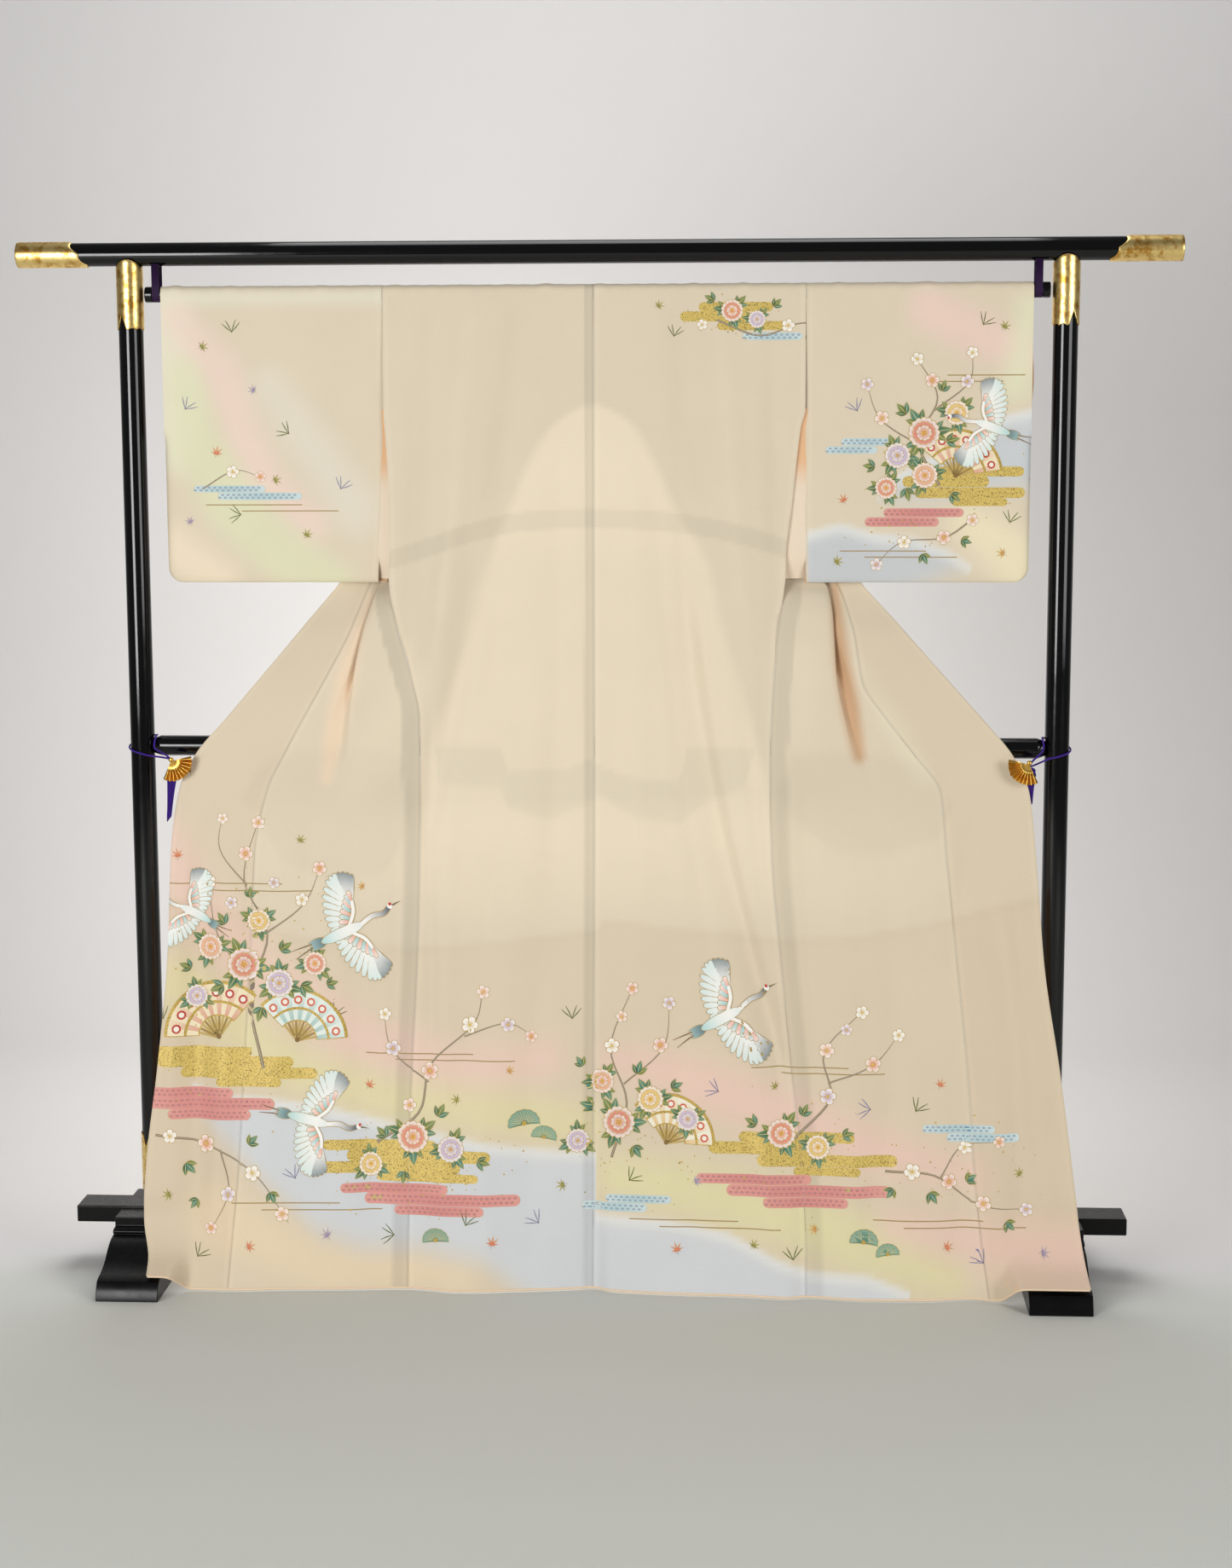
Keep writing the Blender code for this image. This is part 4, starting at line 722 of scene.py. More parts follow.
def silk_colour(x, z, base, grounds, blues=()):
    """Colour of the silk: the cream and the soft grounds laid over it one by one, among them the painted shade and
    light of the deep folds; then the lining's edge showing through, a painted highlight on the cloth's top over the
    rod, the drapes' painted light and shade, and painted shade and light where the light from behind comes through: the
    tuck, the rail and the single layer down the middle."""
    colour = np.broadcast_to(linear(base), x.shape + (3,))
    for tint, strength, soft, line in grounds:
        colour = tinted(colour, tint, stroke_mask(x, z, line, soft) * strength)
    for tint, rows in blues:
        blue = between(x, z, rows, 1.2, 7.0) * 0.92
        across, top, _ = np.array(rows).T
        edge = bell(z - np.interp(x, across, top) + 0.5, 1.1) * (x > across[0]) * (x < across[-1])
        colour = tinted(tinted(colour, tint, blue), "#f6f4ec", 0.5 * edge * ease((blue + edge) / 0.8))
    # Below the lower lining's edge the silk is a little darker, with a thin dark line along that edge. The cloth's top
    # over the rod gets a painted highlight, lighter where the light from above falls on it.
    line = read(LINING_LINE, x)
    below = ease((line - z) / 0.7 + 0.5)
    light = (1 + 0.12 * ease((z - 163.2) / 0.8)) * (1 - 0.045 * below - 0.02 * bell(z - line + 0.6, 0.9))
    # Painted shade of the tuck, where its extra layers hold back the light coming through the silk.
    top = read(TUCK_TOP, x)
    tuck = ease((top - z) / 0.5 + 0.5) * ease((z - top + TUCK_DEPTH) / 0.5 + 0.5)
    light *= 1 - 0.085 * tuck * (np.abs(x) < 34.4)
    # Painted shadows of the middle rail and of the clipped front edges, cast through the silk by the light from behind.
    shown = between(x, z, RAIL_SHADOW, 0.7, 1.8)
    light *= 1 - 0.065 * shown - 0.045 * between(x, z, CLIPS_SHADOW, 3.0, 2.2)
    for strength, soft, stroke in GLOWS:
        light *= 1 + strength * stroke_mask(x, z, stroke, soft)
    # Painted light down the middle of the back, where the light from behind comes through the single layer, stronger
    # higher up.
    inside = np.minimum(x - read(LIT_DOME["left"], z), read(LIT_DOME["right"], z) - x)
    dome = ease(inside / 2.6 + 0.4) * ease((145.6 - z) / 1.2) * ease((z - 58) / 22)
    light *= 1 + (0.10 + 0.05 * ease((z - 112) / 22)) * dome * ((z < 146) & (np.abs(x) < 36))
    # Warmer below the lining's edge, and a little less red in the rail's painted shadow.
    tint = np.stack([1 + 0.012 * below - 0.012 * shown, 1 - 0.005 * below, 1 - 0.027 * below], axis=-1)
    return colour * light[..., None] * tint


def seam_marks(away, band=0.0, depth=0.0, line=0.14):
    """Light left along a seam: the allowance behind the silk greys a band, painted shade where it holds back the light
    coming through the silk, and the seam is a thin dark line with a pale one beside it, a painted highlight along the
    edge that stands up there."""
    greyed = depth * (1 - ease((away - band) / 0.25 + 0.5)) if band else 0.0
    return (1 - greyed) * (1 - line * bell(away, 0.15) + 0.04 * bell(away - 0.55, 0.3))


def widths(grid):
    """Distance of each point from its row's first point, along the cloth."""
    steps = np.linalg.norm(np.diff(grid, axis=1), axis=2)
    return np.concatenate([np.zeros((len(grid), 1)), np.cumsum(steps, axis=1)], axis=1)


def connect(node, inputs):
    """Link or set a node's inputs: each to a socket, an sRGB hex colour or a value."""
    for key, value in inputs.items():
        if isinstance(value, bpy.types.NodeSocket):
            node.id_data.links.new(value, node.inputs[key])
        else:
            node.inputs[key].default_value = (*linear(value), 1.0) if isinstance(value, str) else value


def add_node(tree, kind, inputs=None, **settings):
    """Add a node with its settings and links."""
    node = tree.nodes.new(kind)
    for key, value in settings.items():
        setattr(node, key, value)
    connect(node, inputs or {})
    return node


def material(name, values):
    """A principled material with values set on its own sockets."""
    made = bpy.data.materials.new(name)
    made.use_nodes = True
    shader = made.node_tree.nodes["Principled BSDF"]
    connect(shader, values)
    return made, made.node_tree, shader


def crepe_silk(name, roughness, sheen):
    """Silk crepe: its tightly twisted weft shrinks into a fine pebbled grain about 0.5 mm across, which
    scatters light softly and leaves a faint lustre. The grain is drawn about 1 mm across so that it shows."""
    made, tree, shader = material(name, {"Roughness": roughness, "Sheen Weight": sheen, "Sheen Roughness": 0.45,
                                         "Specular IOR Level": 0.32})
    dye = add_node(tree, "ShaderNodeAttribute", attribute_name="dye")
    uv = add_node(tree, "ShaderNodeUVMap", uv_map="cloth").outputs["UV"]
    threads = add_node(tree, "ShaderNodeMapping", {"Vector": uv, "Scale": (900.0, 520.0, 1.0)})
    grain = add_node(tree, "ShaderNodeTexNoise", {"Vector": threads.outputs["Vector"], "Scale": 1.0, "Detail": 2.0})
    cloudy = add_node(tree, "ShaderNodeTexNoise", {"Vector": uv, "Scale": 9.0, "Detail": 3.0})
    level, drift = (
        add_node(tree, "ShaderNodeMapRange", {"Value": noise.outputs["Fac"], "From Min": 0.3, "From Max": 0.7,
                                              "To Min": low, "To Max": high}).outputs["Result"]
        for noise, low, high in ((grain, 0.965, 1.03), (cloudy, 0.985, 1.012)))
    both = add_node(tree, "ShaderNodeMath", {0: level, 1: drift}, operation="MULTIPLY")
    colour = add_node(tree, "ShaderNodeVectorMath", {0: dye.outputs["Color"], "Scale": both.outputs["Value"]},
                      operation="SCALE")
    bump = add_node(tree, "ShaderNodeBump", {"Height": grain.outputs["Fac"], "Strength": 0.22, "Distance": 0.0004})
    connect(shader, {"Base Color": colour.outputs["Vector"], "Normal": bump.outputs["Normal"]})
    return made


def gold_leaf():
    """Gold leaf pressed on paste: a matt warm gold, worn through to brown in specks about 1 mm across."""
    made, tree, shader = material("gold leaf on silk", {"Metallic": 0.15, "Roughness": 0.55})
    dye = add_node(tree, "ShaderNodeAttribute", attribute_name="dye")
    place = add_node(tree, "ShaderNodeTexCoord").outputs["Object"]
    specks = add_node(tree, "ShaderNodeTexNoise", {"Vector": place, "Scale": 420.0, "Detail": 4.0, "Roughness": 0.7})
    worn = add_node(tree, "ShaderNodeMapRange", {"Value": specks.outputs["Fac"], "From Min": 0.41, "From Max": 0.47})
    mix = add_node(tree, "ShaderNodeMix", {"Factor": worn.outputs["Result"], "A": "#8e7434", "B": dye.outputs["Color"]},
                   data_type="RGBA")
    bump = add_node(tree, "ShaderNodeBump", {"Height": specks.outputs["Fac"], "Strength": 0.2, "Distance": 0.0004})
    connect(shader, {"Base Color": mix.outputs["Result"], "Normal": bump.outputs["Normal"]})
    return made


def lacquer(name, low, high, specular):
    """Black urushi lacquer over turned wood: many rubbed coats, mirror smooth and duller on the feet, with
    faint dust and handling marks that only change the gloss between a low and a high roughness."""
    made, tree, shader = material(name, {"Base Color": "#040405", "Roughness": low, "Specular IOR Level": specular})
    place = add_node(tree, "ShaderNodeTexCoord").outputs["Object"]
    marks = add_node(tree, "ShaderNodeTexNoise", {"Vector": place, "Scale": 14.0, "Detail": 6.0, "Roughness": 0.7})
    rough = add_node(tree, "ShaderNodeMapRange", {"Value": marks.outputs["Fac"], "From Min": 0.35, "From Max": 0.75,
                                                  "To Min": low, "To Max": high})
    wave = add_node(tree, "ShaderNodeTexNoise", {"Vector": place, "Scale": 30.0, "Detail": 2.0})
    bump = add_node(tree, "ShaderNodeBump", {"Height": wave.outputs["Fac"], "Strength": 0.04, "Distance": 0.001})
    connect(shader, {"Roughness": rough.outputs["Result"], "Normal": bump.outputs["Normal"]})
    return made


def gilt(name, colour, roughness, dented=0.25):
    """Gilt sheet brass, beaten round the wood: warm mirror gloss broken by soft dents about 8 mm across and
    by brown tarnish in patches."""
    made, tree, shader = material(name, {"Metallic": 1.0, "Roughness": roughness})
    place = add_node(tree, "ShaderNodeTexCoord").outputs["Object"]
    patch = add_node(tree, "ShaderNodeTexNoise", {"Vector": place, "Scale": 70.0, "Detail": 5.0, "Roughness": 0.65})
    cover = add_node(tree, "ShaderNodeMapRange", {"Value": patch.outputs["Fac"], "From Min": 0.36, "From Max": 0.52})
    mix = add_node(tree, "ShaderNodeMix", {"Factor": cover.outputs["Result"], "A": "#cb9440", "B": colour},
                   data_type="RGBA")
    dents = add_node(tree, "ShaderNodeTexNoise", {"Vector": place, "Scale": 120.0, "Detail": 1.0})
    bump = add_node(tree, "ShaderNodeBump", {"Height": dents.outputs["Fac"], "Strength": dented, "Distance": 0.001})
    connect(shader, {"Base Color": mix.outputs["Result"], "Normal": bump.outputs["Normal"]})
    return made


def braid(name, dark, bright):
    """Twisted silk cord: plies of one dye that wind round every 3 mm, with a soft sheen. The dark and the bright colour
    between the plies are painted shade in their grooves and painted light on their crowns.
    """
    made, tree, shader = material(name, {"Roughness": 0.65, "Sheen Weight": 0.05, "Sheen Roughness": 0.4,
                                         "Specular IOR Level": 0.25})
    place = add_node(tree, "ShaderNodeTexCoord").outputs["Object"]
    plies = add_node(tree, "ShaderNodeTexWave", {"Vector": place, "Scale": 160.0, "Distortion": 1.0},
                     bands_direction="DIAGONAL")
    mix = add_node(tree, "ShaderNodeMix", {"Factor": plies.outputs["Fac"], "A": dark, "B": bright}, data_type="RGBA")
    bump = add_node(tree, "ShaderNodeBump", {"Height": plies.outputs["Fac"], "Strength": 0.3, "Distance": 0.0005})
    connect(shader, {"Base Color": mix.outputs["Result"], "Normal": bump.outputs["Normal"]})
    return made


def keep(obj, slot, *nodes):
    """Let a piece ride on the part and stand for its solids, which are hidden. The slot is not used."""
    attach(obj, "root")
    if nodes:
        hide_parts(*nodes)
    return obj


def rounded(profile, radius, steps=5):
    """A profile with each inner corner replaced by a small arc and a support point on both sides of it."""
    profile = np.asarray(profile, float)
    out = [profile[0]]
    t = np.linspace(0, 1, steps)[:, None]
    for before, corner, after in zip(profile[:-2], profile[1:-1], profile[2:]):
        a, b = before - corner, after - corner
        la, lb = np.linalg.norm(a), np.linalg.norm(b)
        reach = min(radius, 0.42 * la, 0.42 * lb)
        start, end = corner + a / la * reach, corner + b / lb * reach
        out += [corner + a / la * reach * 1.15, (1 - t) ** 2 * start + 2 * t * (1 - t) * corner + t**2 * end,
                corner + b / lb * reach * 1.15]
    return np.vstack([*out, profile[-1]])


def weld(obj):
    """Merge the doubled points at poles and turn the faces outwards."""
    build = bmesh.new()
    build.from_mesh(obj.data)
    bmesh.ops.remove_doubles(build, verts=build.verts, dist=0.000002)
    bmesh.ops.recalc_face_normals(build, faces=build.faces)
    build.to_mesh(obj.data)
    build.free()
    obj.data.polygons.foreach_set("use_smooth", np.ones(len(obj.data.polygons), bool))
    return obj


def turned(name, profile, centre, axis, materials, segments=96):
    """A turned piece: each row's radius swept round the axis at the row's height, which may vary round it."""
    c, s = circle(segments)
    rows = [(r * c, r * s, h + 0 * c) for r, h in profile]
    order = [2, 0, 1] if axis == "x" else [0, 1, 2]
    grid = np.array(rows).transpose(0, 2, 1)[..., order] + np.array(centre)
    return weld(new_object(name, grid.reshape(-1, 3), grid_quads(len(rows), segments, closed=True), materials))


def metal_sleeve(name, radii, low, high, centre, axis, materials, sign=1, cap=None):
    """Sheet metal round a post: an outer and an inner skin between two edges that vary round the post.
    A cap closes the outer skin at its high end. The sign turns it end for end."""
    inner, outer = radii
    rows = [(inner, low), ((inner + outer) / 2, low - 0.03), (outer - 0.02, low)]
    rows += [(outer, low + 0.04 + (high - low - 0.08) * s) for s in np.linspace(0, 1, 24)] + [(outer - 0.02, high)]
    if cap is None:
        rows = [(inner, high), *rows, ((inner + outer) / 2, high + 0.03), (inner, high)]
    else:
        rows = [(0.0, high - cap), (inner, high - cap), *rows, (outer - 0.10, high + 0.06), (outer * 0.75, high + 0.07),
                (outer * 0.4, high + 0.07), (0.0, high + 0.07)]
    return turned(name, [(r, h * sign) for r, h in rows], centre, axis, materials, SHEET_STEPS)


def tube(name, path, radius, materials, sides=12, closed=False):
    """A round tube: circles carried along a path in frames that turn as little as they can."""
    tangent = np.roll(path, -1, 0) - np.roll(path, 1, 0) if closed else np.gradient(path, axis=0)
    tangent /= np.linalg.norm(tangent, axis=1)[:, None]
    up = np.zeros_like(path)
    first = np.cross(tangent[0], [0.3, 0.2, 0.93])
    up[0] = first / np.linalg.norm(first)
    for i in range(1, len(path)):
        side = up[i - 1] - tangent[i] * (up[i - 1] @ tangent[i])
        up[i] = side / np.linalg.norm(side)
    other = np.cross(tangent, up)
    c, s = (wave[None, :, None] for wave in circle(sides))
    grid = path[:, None] + radius * (up[:, None] * c + other[:, None] * s)
    if closed:
        grid = np.concatenate([grid, grid[:1]])
    verts = grid.reshape(-1, 3)
    faces = grid_quads(len(grid), sides, closed=True).tolist()
    if not closed:
        last, k = len(verts), np.arange(sides)
        after = (k + 1) % sides
        faces += np.stack([np.full(sides, last), after, k], 1).tolist()
        faces += np.stack([np.full(sides, last + 1), last - sides + k, last - sides + after], 1).tolist()
        verts = np.vstack([verts, path[0], path[-1]])
    return weld(new_object(name, verts, faces, materials))


def through(points, per_span, closed=False):
    """Catmull-Rom curve through points."""
    points = np.asarray(points, float)
    if closed:
        ends = np.vstack([points[-1], points, points[:2]])
    else:
        ends = np.vstack([2 * points[0] - points[1], points, 2 * points[-1] - points[-2]])
    t = np.linspace(0, 1, per_span, endpoint=False)[:, None]
    out = []
    for p0, p1, p2, p3 in zip(ends[:-3], ends[1:-2], ends[2:-1], ends[3:]):
        out.append(0.5 * (2 * p1 + (p2 - p0) * t + (2 * p0 - 5 * p1 + 4 * p2 - p3) * t**2
                          + (3 * p1 - p0 - 3 * p2 + p3) * t**3))
    return np.vstack(out if closed else [*out, points[-1:]])


def turned_by(points, angle):
    """Points turned by an angle in degrees."""
    c, s = np.cos(np.radians(angle)), np.sin(np.radians(angle))
    return np.asarray(points, float) @ np.array([[c, s], [-s, c]])


def both_sides(x, half):
    """An outline from half its width along x."""
    return np.vstack([np.column_stack([x, -half]), np.column_stack([x, half])[::-1][1:-1]])


def petal(length, width, notch=0.0, count=9):
    """A petal from the origin along x: half its width is a sine that is fuller towards its tip, which may be
    notched."""
    t = np.linspace(0, np.pi, count)
    x = length * (1 - np.cos(t)) / 2
    out = both_sides(x, width / 2 * np.sin(t) ** 0.75 * (0.62 + 0.42 * x / length))
    out[:, 0] -= notch * length * bell(out[:, 1], 0.18 * width) * (out[:, 0] > 0.7 * length)
    return out


def leaf(length, width):
    """A pointed leaf from the origin along x: half its width is a sine, fuller at its foot."""
    t = np.linspace(0, 1, 9)
    return both_sides(t * length, width / 2 * np.sin(np.pi * t) ** 0.85 * (1.25 - 0.5 * t))


def disc(radius, count):
    """A round spot."""
    return radius * np.column_stack(circle(count))


def arc(radius, start, end, count):
    """Points along an arc."""
    angle = np.linspace(start, end, count)
    return radius * np.column_stack([np.cos(angle), np.sin(angle)])


def bar(length, height):
    """A bar along x with round ends, its middle at the origin."""
    end = arc(height / 2, -np.pi / 2, np.pi / 2, 7) + [length / 2 - height / 2, 0]
    return np.vstack([end, -end])


def beside(points, near, far):
    """A band along a line: the line moved to both sides."""
    along = np.gradient(points, axis=0)
    along /= np.maximum(np.linalg.norm(along, axis=1)[:, None], 1e-9)
    side = np.column_stack([-along[:, 1], along[:, 0]])
    return np.vstack([points + side * near[:, None], (points - side * far[:, None])[::-1]])


def ribbon(points, width, taper=0.35):
    """A drawn line with tapered ends: half its width is a round bow over the taper."""
    points = np.asarray(points, float)
    t = np.linspace(0, 1, len(points))
    half = width / 2 * (taper + (1 - taper) * np.sqrt(np.clip(4 * t * (1 - t), 0, 1)))
    return beside(points, half, half)


class Pattern:
    """Shapes painted on the silk: each an outline in x and z, a near and a far colour with their centre and
    reach, a layer, and whether it is gold. Each motif is drawn at the places of a table."""

    def __init__(self):
        self.shapes = []

    def at(self, x, z, angle=0.0, size=1.0):
        """Set where the next motif goes."""
        self.place = (x, z, angle, size)
        return self

    def add(self, outline, near, far=None, centre=(0, 0), reach=1.0, layer=1.0, gold=False):
        """Add one shape at the current place."""
        x, z, angle, size = self.place
        points = turned_by(np.asarray(outline) * size, angle) + [x, z]
        middle = turned_by(np.array([centre]) * size, angle)[0] + [x, z]
        self.shapes.append((points, linear(near), linear(far or near), middle, reach * size, layer, gold))

    def edged(self, outline, near, far, edge, rim, layer, **spec):
        """A shape with a thin resist line round it: the line's colour, then the same shape drawn in."""
        self.add(outline, edge, layer=layer)
        middle = outline.mean(axis=0)
        away = outline - middle
        far_out = np.maximum(np.linalg.norm(away, axis=1)[:, None], 1e-6)
        self.add(middle + away * np.clip(1 - rim / far_out, 0.3, 1), near, far, layer=layer + 0.4, **spec)

    def plums(self, rows, layer, turn):
        """Plum blossoms: five round petals, stamens with dots and a yellow heart."""
        for x, z, size, tint in rows:
            self.at(x, z, turn * x, size)
            for k in range(5):
                self.edged(turned_by(petal(1.0, 0.98), 90 + 72 * k), tint, "#fbf4ea", "#c9a961", 0.07,
                           layer + 0.12 * k, reach=0.95)
            for k in range(10):
                way = turned_by([[0.12, 0], [0.42, 0]], 36 * k + 12)
                self.add(ribbon(way, 0.05, 1.0), "#b8913c", layer=layer + 1.6)
                self.add(disc(0.065, 6) + way[1], "#e9c95f", layer=layer + 1.8)
            self.add(disc(0.17, 8), "#e4bd4e", layer=layer + 2.0)

    def peony(self, deep, mid, layer):
        """Peony: three rings of notched petals, deep at the heart and pale at their edges."""
        rings = ((8, 1.0, 0.82, 0), (7, 0.74, 0.70, 25), (5, 0.50, 0.56, 8))
        for ring, (count, length, width, turn) in enumerate(rings):
            for k in range(count):
                outline = turned_by(petal(length, width, 0.10, 11), turn + 360 / count * k)
                self.edged(outline, deep, mid if ring == 1 else "#fbf3ea", "#cdb06a", 0.045,
                           layer + 0.9 * ring + 0.09 * k, reach=length * 0.98)
        for k in range(9):
            spot = turned_by([[0.16 + 0.05 * (k % 2), 0]], 40 * k)[0]
            self.add(disc(0.05, 6) + spot, "#f0cf62", layer=layer + 3.2)
        self.add(disc(0.10, 8), "#d8a93c", layer=layer + 3.2)

    def bloom(self, rows, layer):
        """Peonies over three sprays of leaves each."""
        for x, z, angle, size, deep, mid in rows:
            for k, turn in enumerate((25, 150, 262)):
                way = turned_by([[0.55 * size, 0]], angle + turn)[0]
                self.at(x + way[0], z + way[1], angle + turn, 1.15 * size)
                self.spray(GREENS[k:] + GREENS[:k], layer - 1.2)
            self.at(x, z, angle, size).peony(deep, mid, layer)

    def blooms(self, rows, layer, turn):
        """Peonies of a cluster, each turned by its place."""
        self.bloom([(x, z, turn * x, *rest) for x, z, *rest in rows], layer)

    def spray(self, colours, layer):
        """A spray of three lobed leaves with veins."""
        for angle, size, colour in zip((-38, 4, 44), (0.85, 1.0, 0.8), colours):
            outline = turned_by(leaf(size, 0.46 * size), angle)
            self.edged(outline, colour, "#7f9f74", "#cdb470", 0.035, layer, reach=1.2)
            vein = turned_by([[0.08, 0], [0.45 * size, 0.0], [0.86 * size, 0]], angle)
            self.add(ribbon(vein, 0.035), "#dcc98a", layer=layer + 0.7)

    def leaves(self, rows, layer, *colours):
        """Sprays of leaves."""
        for place in rows:
            self.at(*place).spray(colours, layer)

    def maples(self, rows):
        """Maple leaves: seven pointed lobes round their stalk."""
        points = []
        for angle, length in zip((-128, -86, -43, 0, 43, 86, 128), (0.5, 0.78, 0.95, 1.0, 0.95, 0.78, 0.5)):
            for turn, share in ((-9, 0.55), (0, 1.0), (9, 0.55)):
                points.append(turned_by([[length * share, 0]], angle + turn)[0])
            if angle < 120:
                points.append(turned_by([[0.26, 0]], angle + 21.5)[0])
        points.append([-0.10, 0.0])
        for x, z, angle, size, near, far in rows:
            self.at(x, z, angle, size)
            self.edged(np.array(points), near, far, "#c9ad66", 0.035, 2.5, reach=0.95)
            for turn, length in ((-43, 0.75), (0, 0.85), (43, 0.75)):
                self.add(ribbon(turned_by([[0, 0], [length / 2, 0], [length, 0]], turn), 0.035), "#dcc27a", layer=3.3)
            self.add(ribbon([[-0.05, 0], [-0.3, 0.03], [-0.55, 0.1]], 0.05), "#8a6b3a", layer=2.5)

    def pines(self, rows, layer, tint):
        """Pine clumps: a half round of needles each, drawn as fine rays over a green ground."""
        t = np.radians(np.linspace(-12, 192, 35))
        r = 1 + 0.045 * np.abs(np.sin(7.5 * t))
        outline = np.vstack([np.column_stack([r * np.cos(t), r * np.sin(t) * 0.86]), [[-0.4, -0.12], [0.4, -0.12]]])
        for place in rows:
            self.at(*place).edged(outline, tint, "#8fb09a", "#b9a052", 0.04, layer, reach=1.05)
            for angle in np.linspace(2, 178, 17):
                way = turned_by([[0.22, 0], [0.55, 0], [0.9, 0]], angle) * [1, 0.86]
                self.add(ribbon(way, 0.03, 0.6), "#e7dfae", layer=layer + 0.8)
            self.add(disc(0.16, 9), "#c2a24e", layer=layer + 1.0)

    def needles(self, rows, size):
        """Fallen pine needles, two pairs at each place, every third place in another tint."""
        for k, place in enumerate(rows):
            self.at(*place, size)
            for turn in (0, 70):
                for apart in (-11, 11):
                    way = turned_by([[0, 0], [0.5, 0.02 * np.sign(apart)], [1, 0]], turn + apart)
                    self.add(ribbon(way, 0.075, 0.5), "#8a84a4" if k % 3 == 1 else "#5f6b22", layer=1.6)
                self.add(disc(0.05, 6), "#a08548", layer=1.8)

    def fans(self, rows, layer):
        """Open folding fans: pleats in two tones, a gold rim, a band of rings and their sticks."""
        count = 14
        edges = np.radians(np.linspace(25, 155, count + 1))
        first, last = edges[0], edges[-1]
        for *place, light, dark, spot in rows:
            self.at(*place)
            for k in range(11):
                way = turned_by([[0.06, 0], [0.25, 0], [0.44, 0]], 32 + 11.6 * k)
                self.add(ribbon(way, 0.045, 0.9), "#a98a4a" if k % 2 else "#c7ab66", layer=layer)
            rim = np.vstack([arc(1.015, first - 0.02, last + 0.02, 30), arc(0.385, last + 0.03, first - 0.03, 20)])
            self.add(rim, "#c9a94f", layer=layer + 0.3, gold=True)
            for k in range(count):
                pleat = np.vstack([arc(0.955, edges[k], edges[k + 1], 3), arc(0.41, edges[k + 1], edges[k], 3)])
                self.add(pleat, light if k % 2 else dark, light, layer=layer + 0.7)
            for k in range(7):
                middle = turned_by([[0.80, 0]], 34 + 18.7 * k)[0]
                self.add(disc(0.085, 10) + middle, spot, layer=layer + 1.1)
                self.add(disc(0.05, 8) + middle, "#f8f0e0", layer=layer + 1.4)
            self.add(np.vstack([arc(0.66, first, last, 26), arc(0.61, last, first, 24)]), "#c9a94f",
                     layer=layer + 1.1, gold=True)
            self.add(disc(0.05, 8) + [0, 0.02], "#8a6b3a", layer=layer + 1.0)

    def cranes(self, rows, layer):
        """Cranes in flight."""
        for place in rows:
            self.at(*place).crane(layer)

    def crane(self, layer):
        """Crane in flight: feathered wings, long neck and legs, black tips and a red crown."""
        white, shade, ink, edge = "#fdfaf3", "#b9dcd8", "#5d7278", "#b79c62"
        for side in (1, -1):
            shoulder, wrist = np.array([[0.16, 0.07], [0.36, 0.50]]) * [1, side]
            for k in range(14):
                share = k / 13
                root = shoulder + (wrist - shoulder) * min(1.0, share * 1.8)
                length = 0.44 + 0.26 * math.sin(2.6 * share)
                outline = turned_by(petal(length, 0.15), side * (172 - 106 * share)) + root
                self.edged(outline, white, ink if k > 9 else shade, edge, 0.016, layer + 0.08 * k, centre=root,
                           reach=length * (1.1 if k > 9 else 1.5))
            for k in range(8):
                share = k / 7
                root = shoulder + (wrist - shoulder) * share
                outline = turned_by(petal(0.25, 0.13), side * (168 - 84 * share)) + root
                self.edged(outline, "#f0b09c" if k % 2 else "#9fcdca", white, edge, 0.014, layer + 1.3 + 0.06 * k,
                           centre=root, reach=0.3)
            arm = through([shoulder - [0.05, 0], (shoulder + wrist) / 2 + [0.04, 0], wrist + [0.02, 0.03 * side]], 5)
            self.add(ribbon(arm, 0.10, 0.8), edge, layer=layer + 1.9)
            self.add(ribbon(arm, 0.07, 0.8), white, layer=layer + 2.2)
        for k, angle in enumerate((168, 180, 192)):
            outline = turned_by(leaf(0.42, 0.15), angle) + [-0.38, 0]
            self.edged(outline, ink, shade, edge, 0.015, layer + 0.8 + 0.06 * k, centre=(-0.4, 0), reach=0.5)
        for lift in (-0.03, 0.03):
            leg = ribbon([[-0.5, lift], [-0.85, lift * 1.6], [-1.15, lift * 3 - 0.02]], 0.028)
            self.add(leg, "#8c7350", layer=layer + 0.7)
        body = disc(1.0, 21) * [0.48, 0.125] - [0.06, 0]
        self.edged(body, white, shade, edge, 0.018, layer + 2.0, centre=(0.1, 0.04), reach=0.6)
        neck = through([[0.34, 0.0], [0.62, 0.07], [0.86, 0.03], [1.02, 0.10]], 6)
        self.add(ribbon(neck, 0.125, 0.75), edge, layer=layer + 2.2)
        self.add(ribbon(neck, 0.095, 0.75), white, "#4a555e", centre=(0.4, 0), reach=0.62, layer=layer + 2.5)
        self.add(disc(0.062, 10) + [1.05, 0.115], white, layer=layer + 2.7)
        self.add(disc(0.034, 8) + [1.06, 0.15], "#c8452f", layer=layer + 2.9)
        self.add([[1.08, 0.13], [1.09, 0.09], [1.30, 0.12]], "#7a6a4a", layer=layer + 2.7)

    def branch(self, rows, width):
        """A branch: a line that thins towards its tip, with a pale line along it."""
        path = through(rows, 6)
        half = width / 2 * np.linspace(1, 0.22, len(path))
        self.at(0, 0).add(beside(path, half, half), "#8a7a68", layer=1.4)
        self.add(beside(path, half * 0.35, half * 0.1), "#c9b790", layer=1.9)

    def lines(self, rows, height):
        """Fine gold lines of mist."""
        for x0, x1, z in rows:
            self.at((x0 + x1) / 2, z).add(bar(x1 - x0, height), "#a98d52")

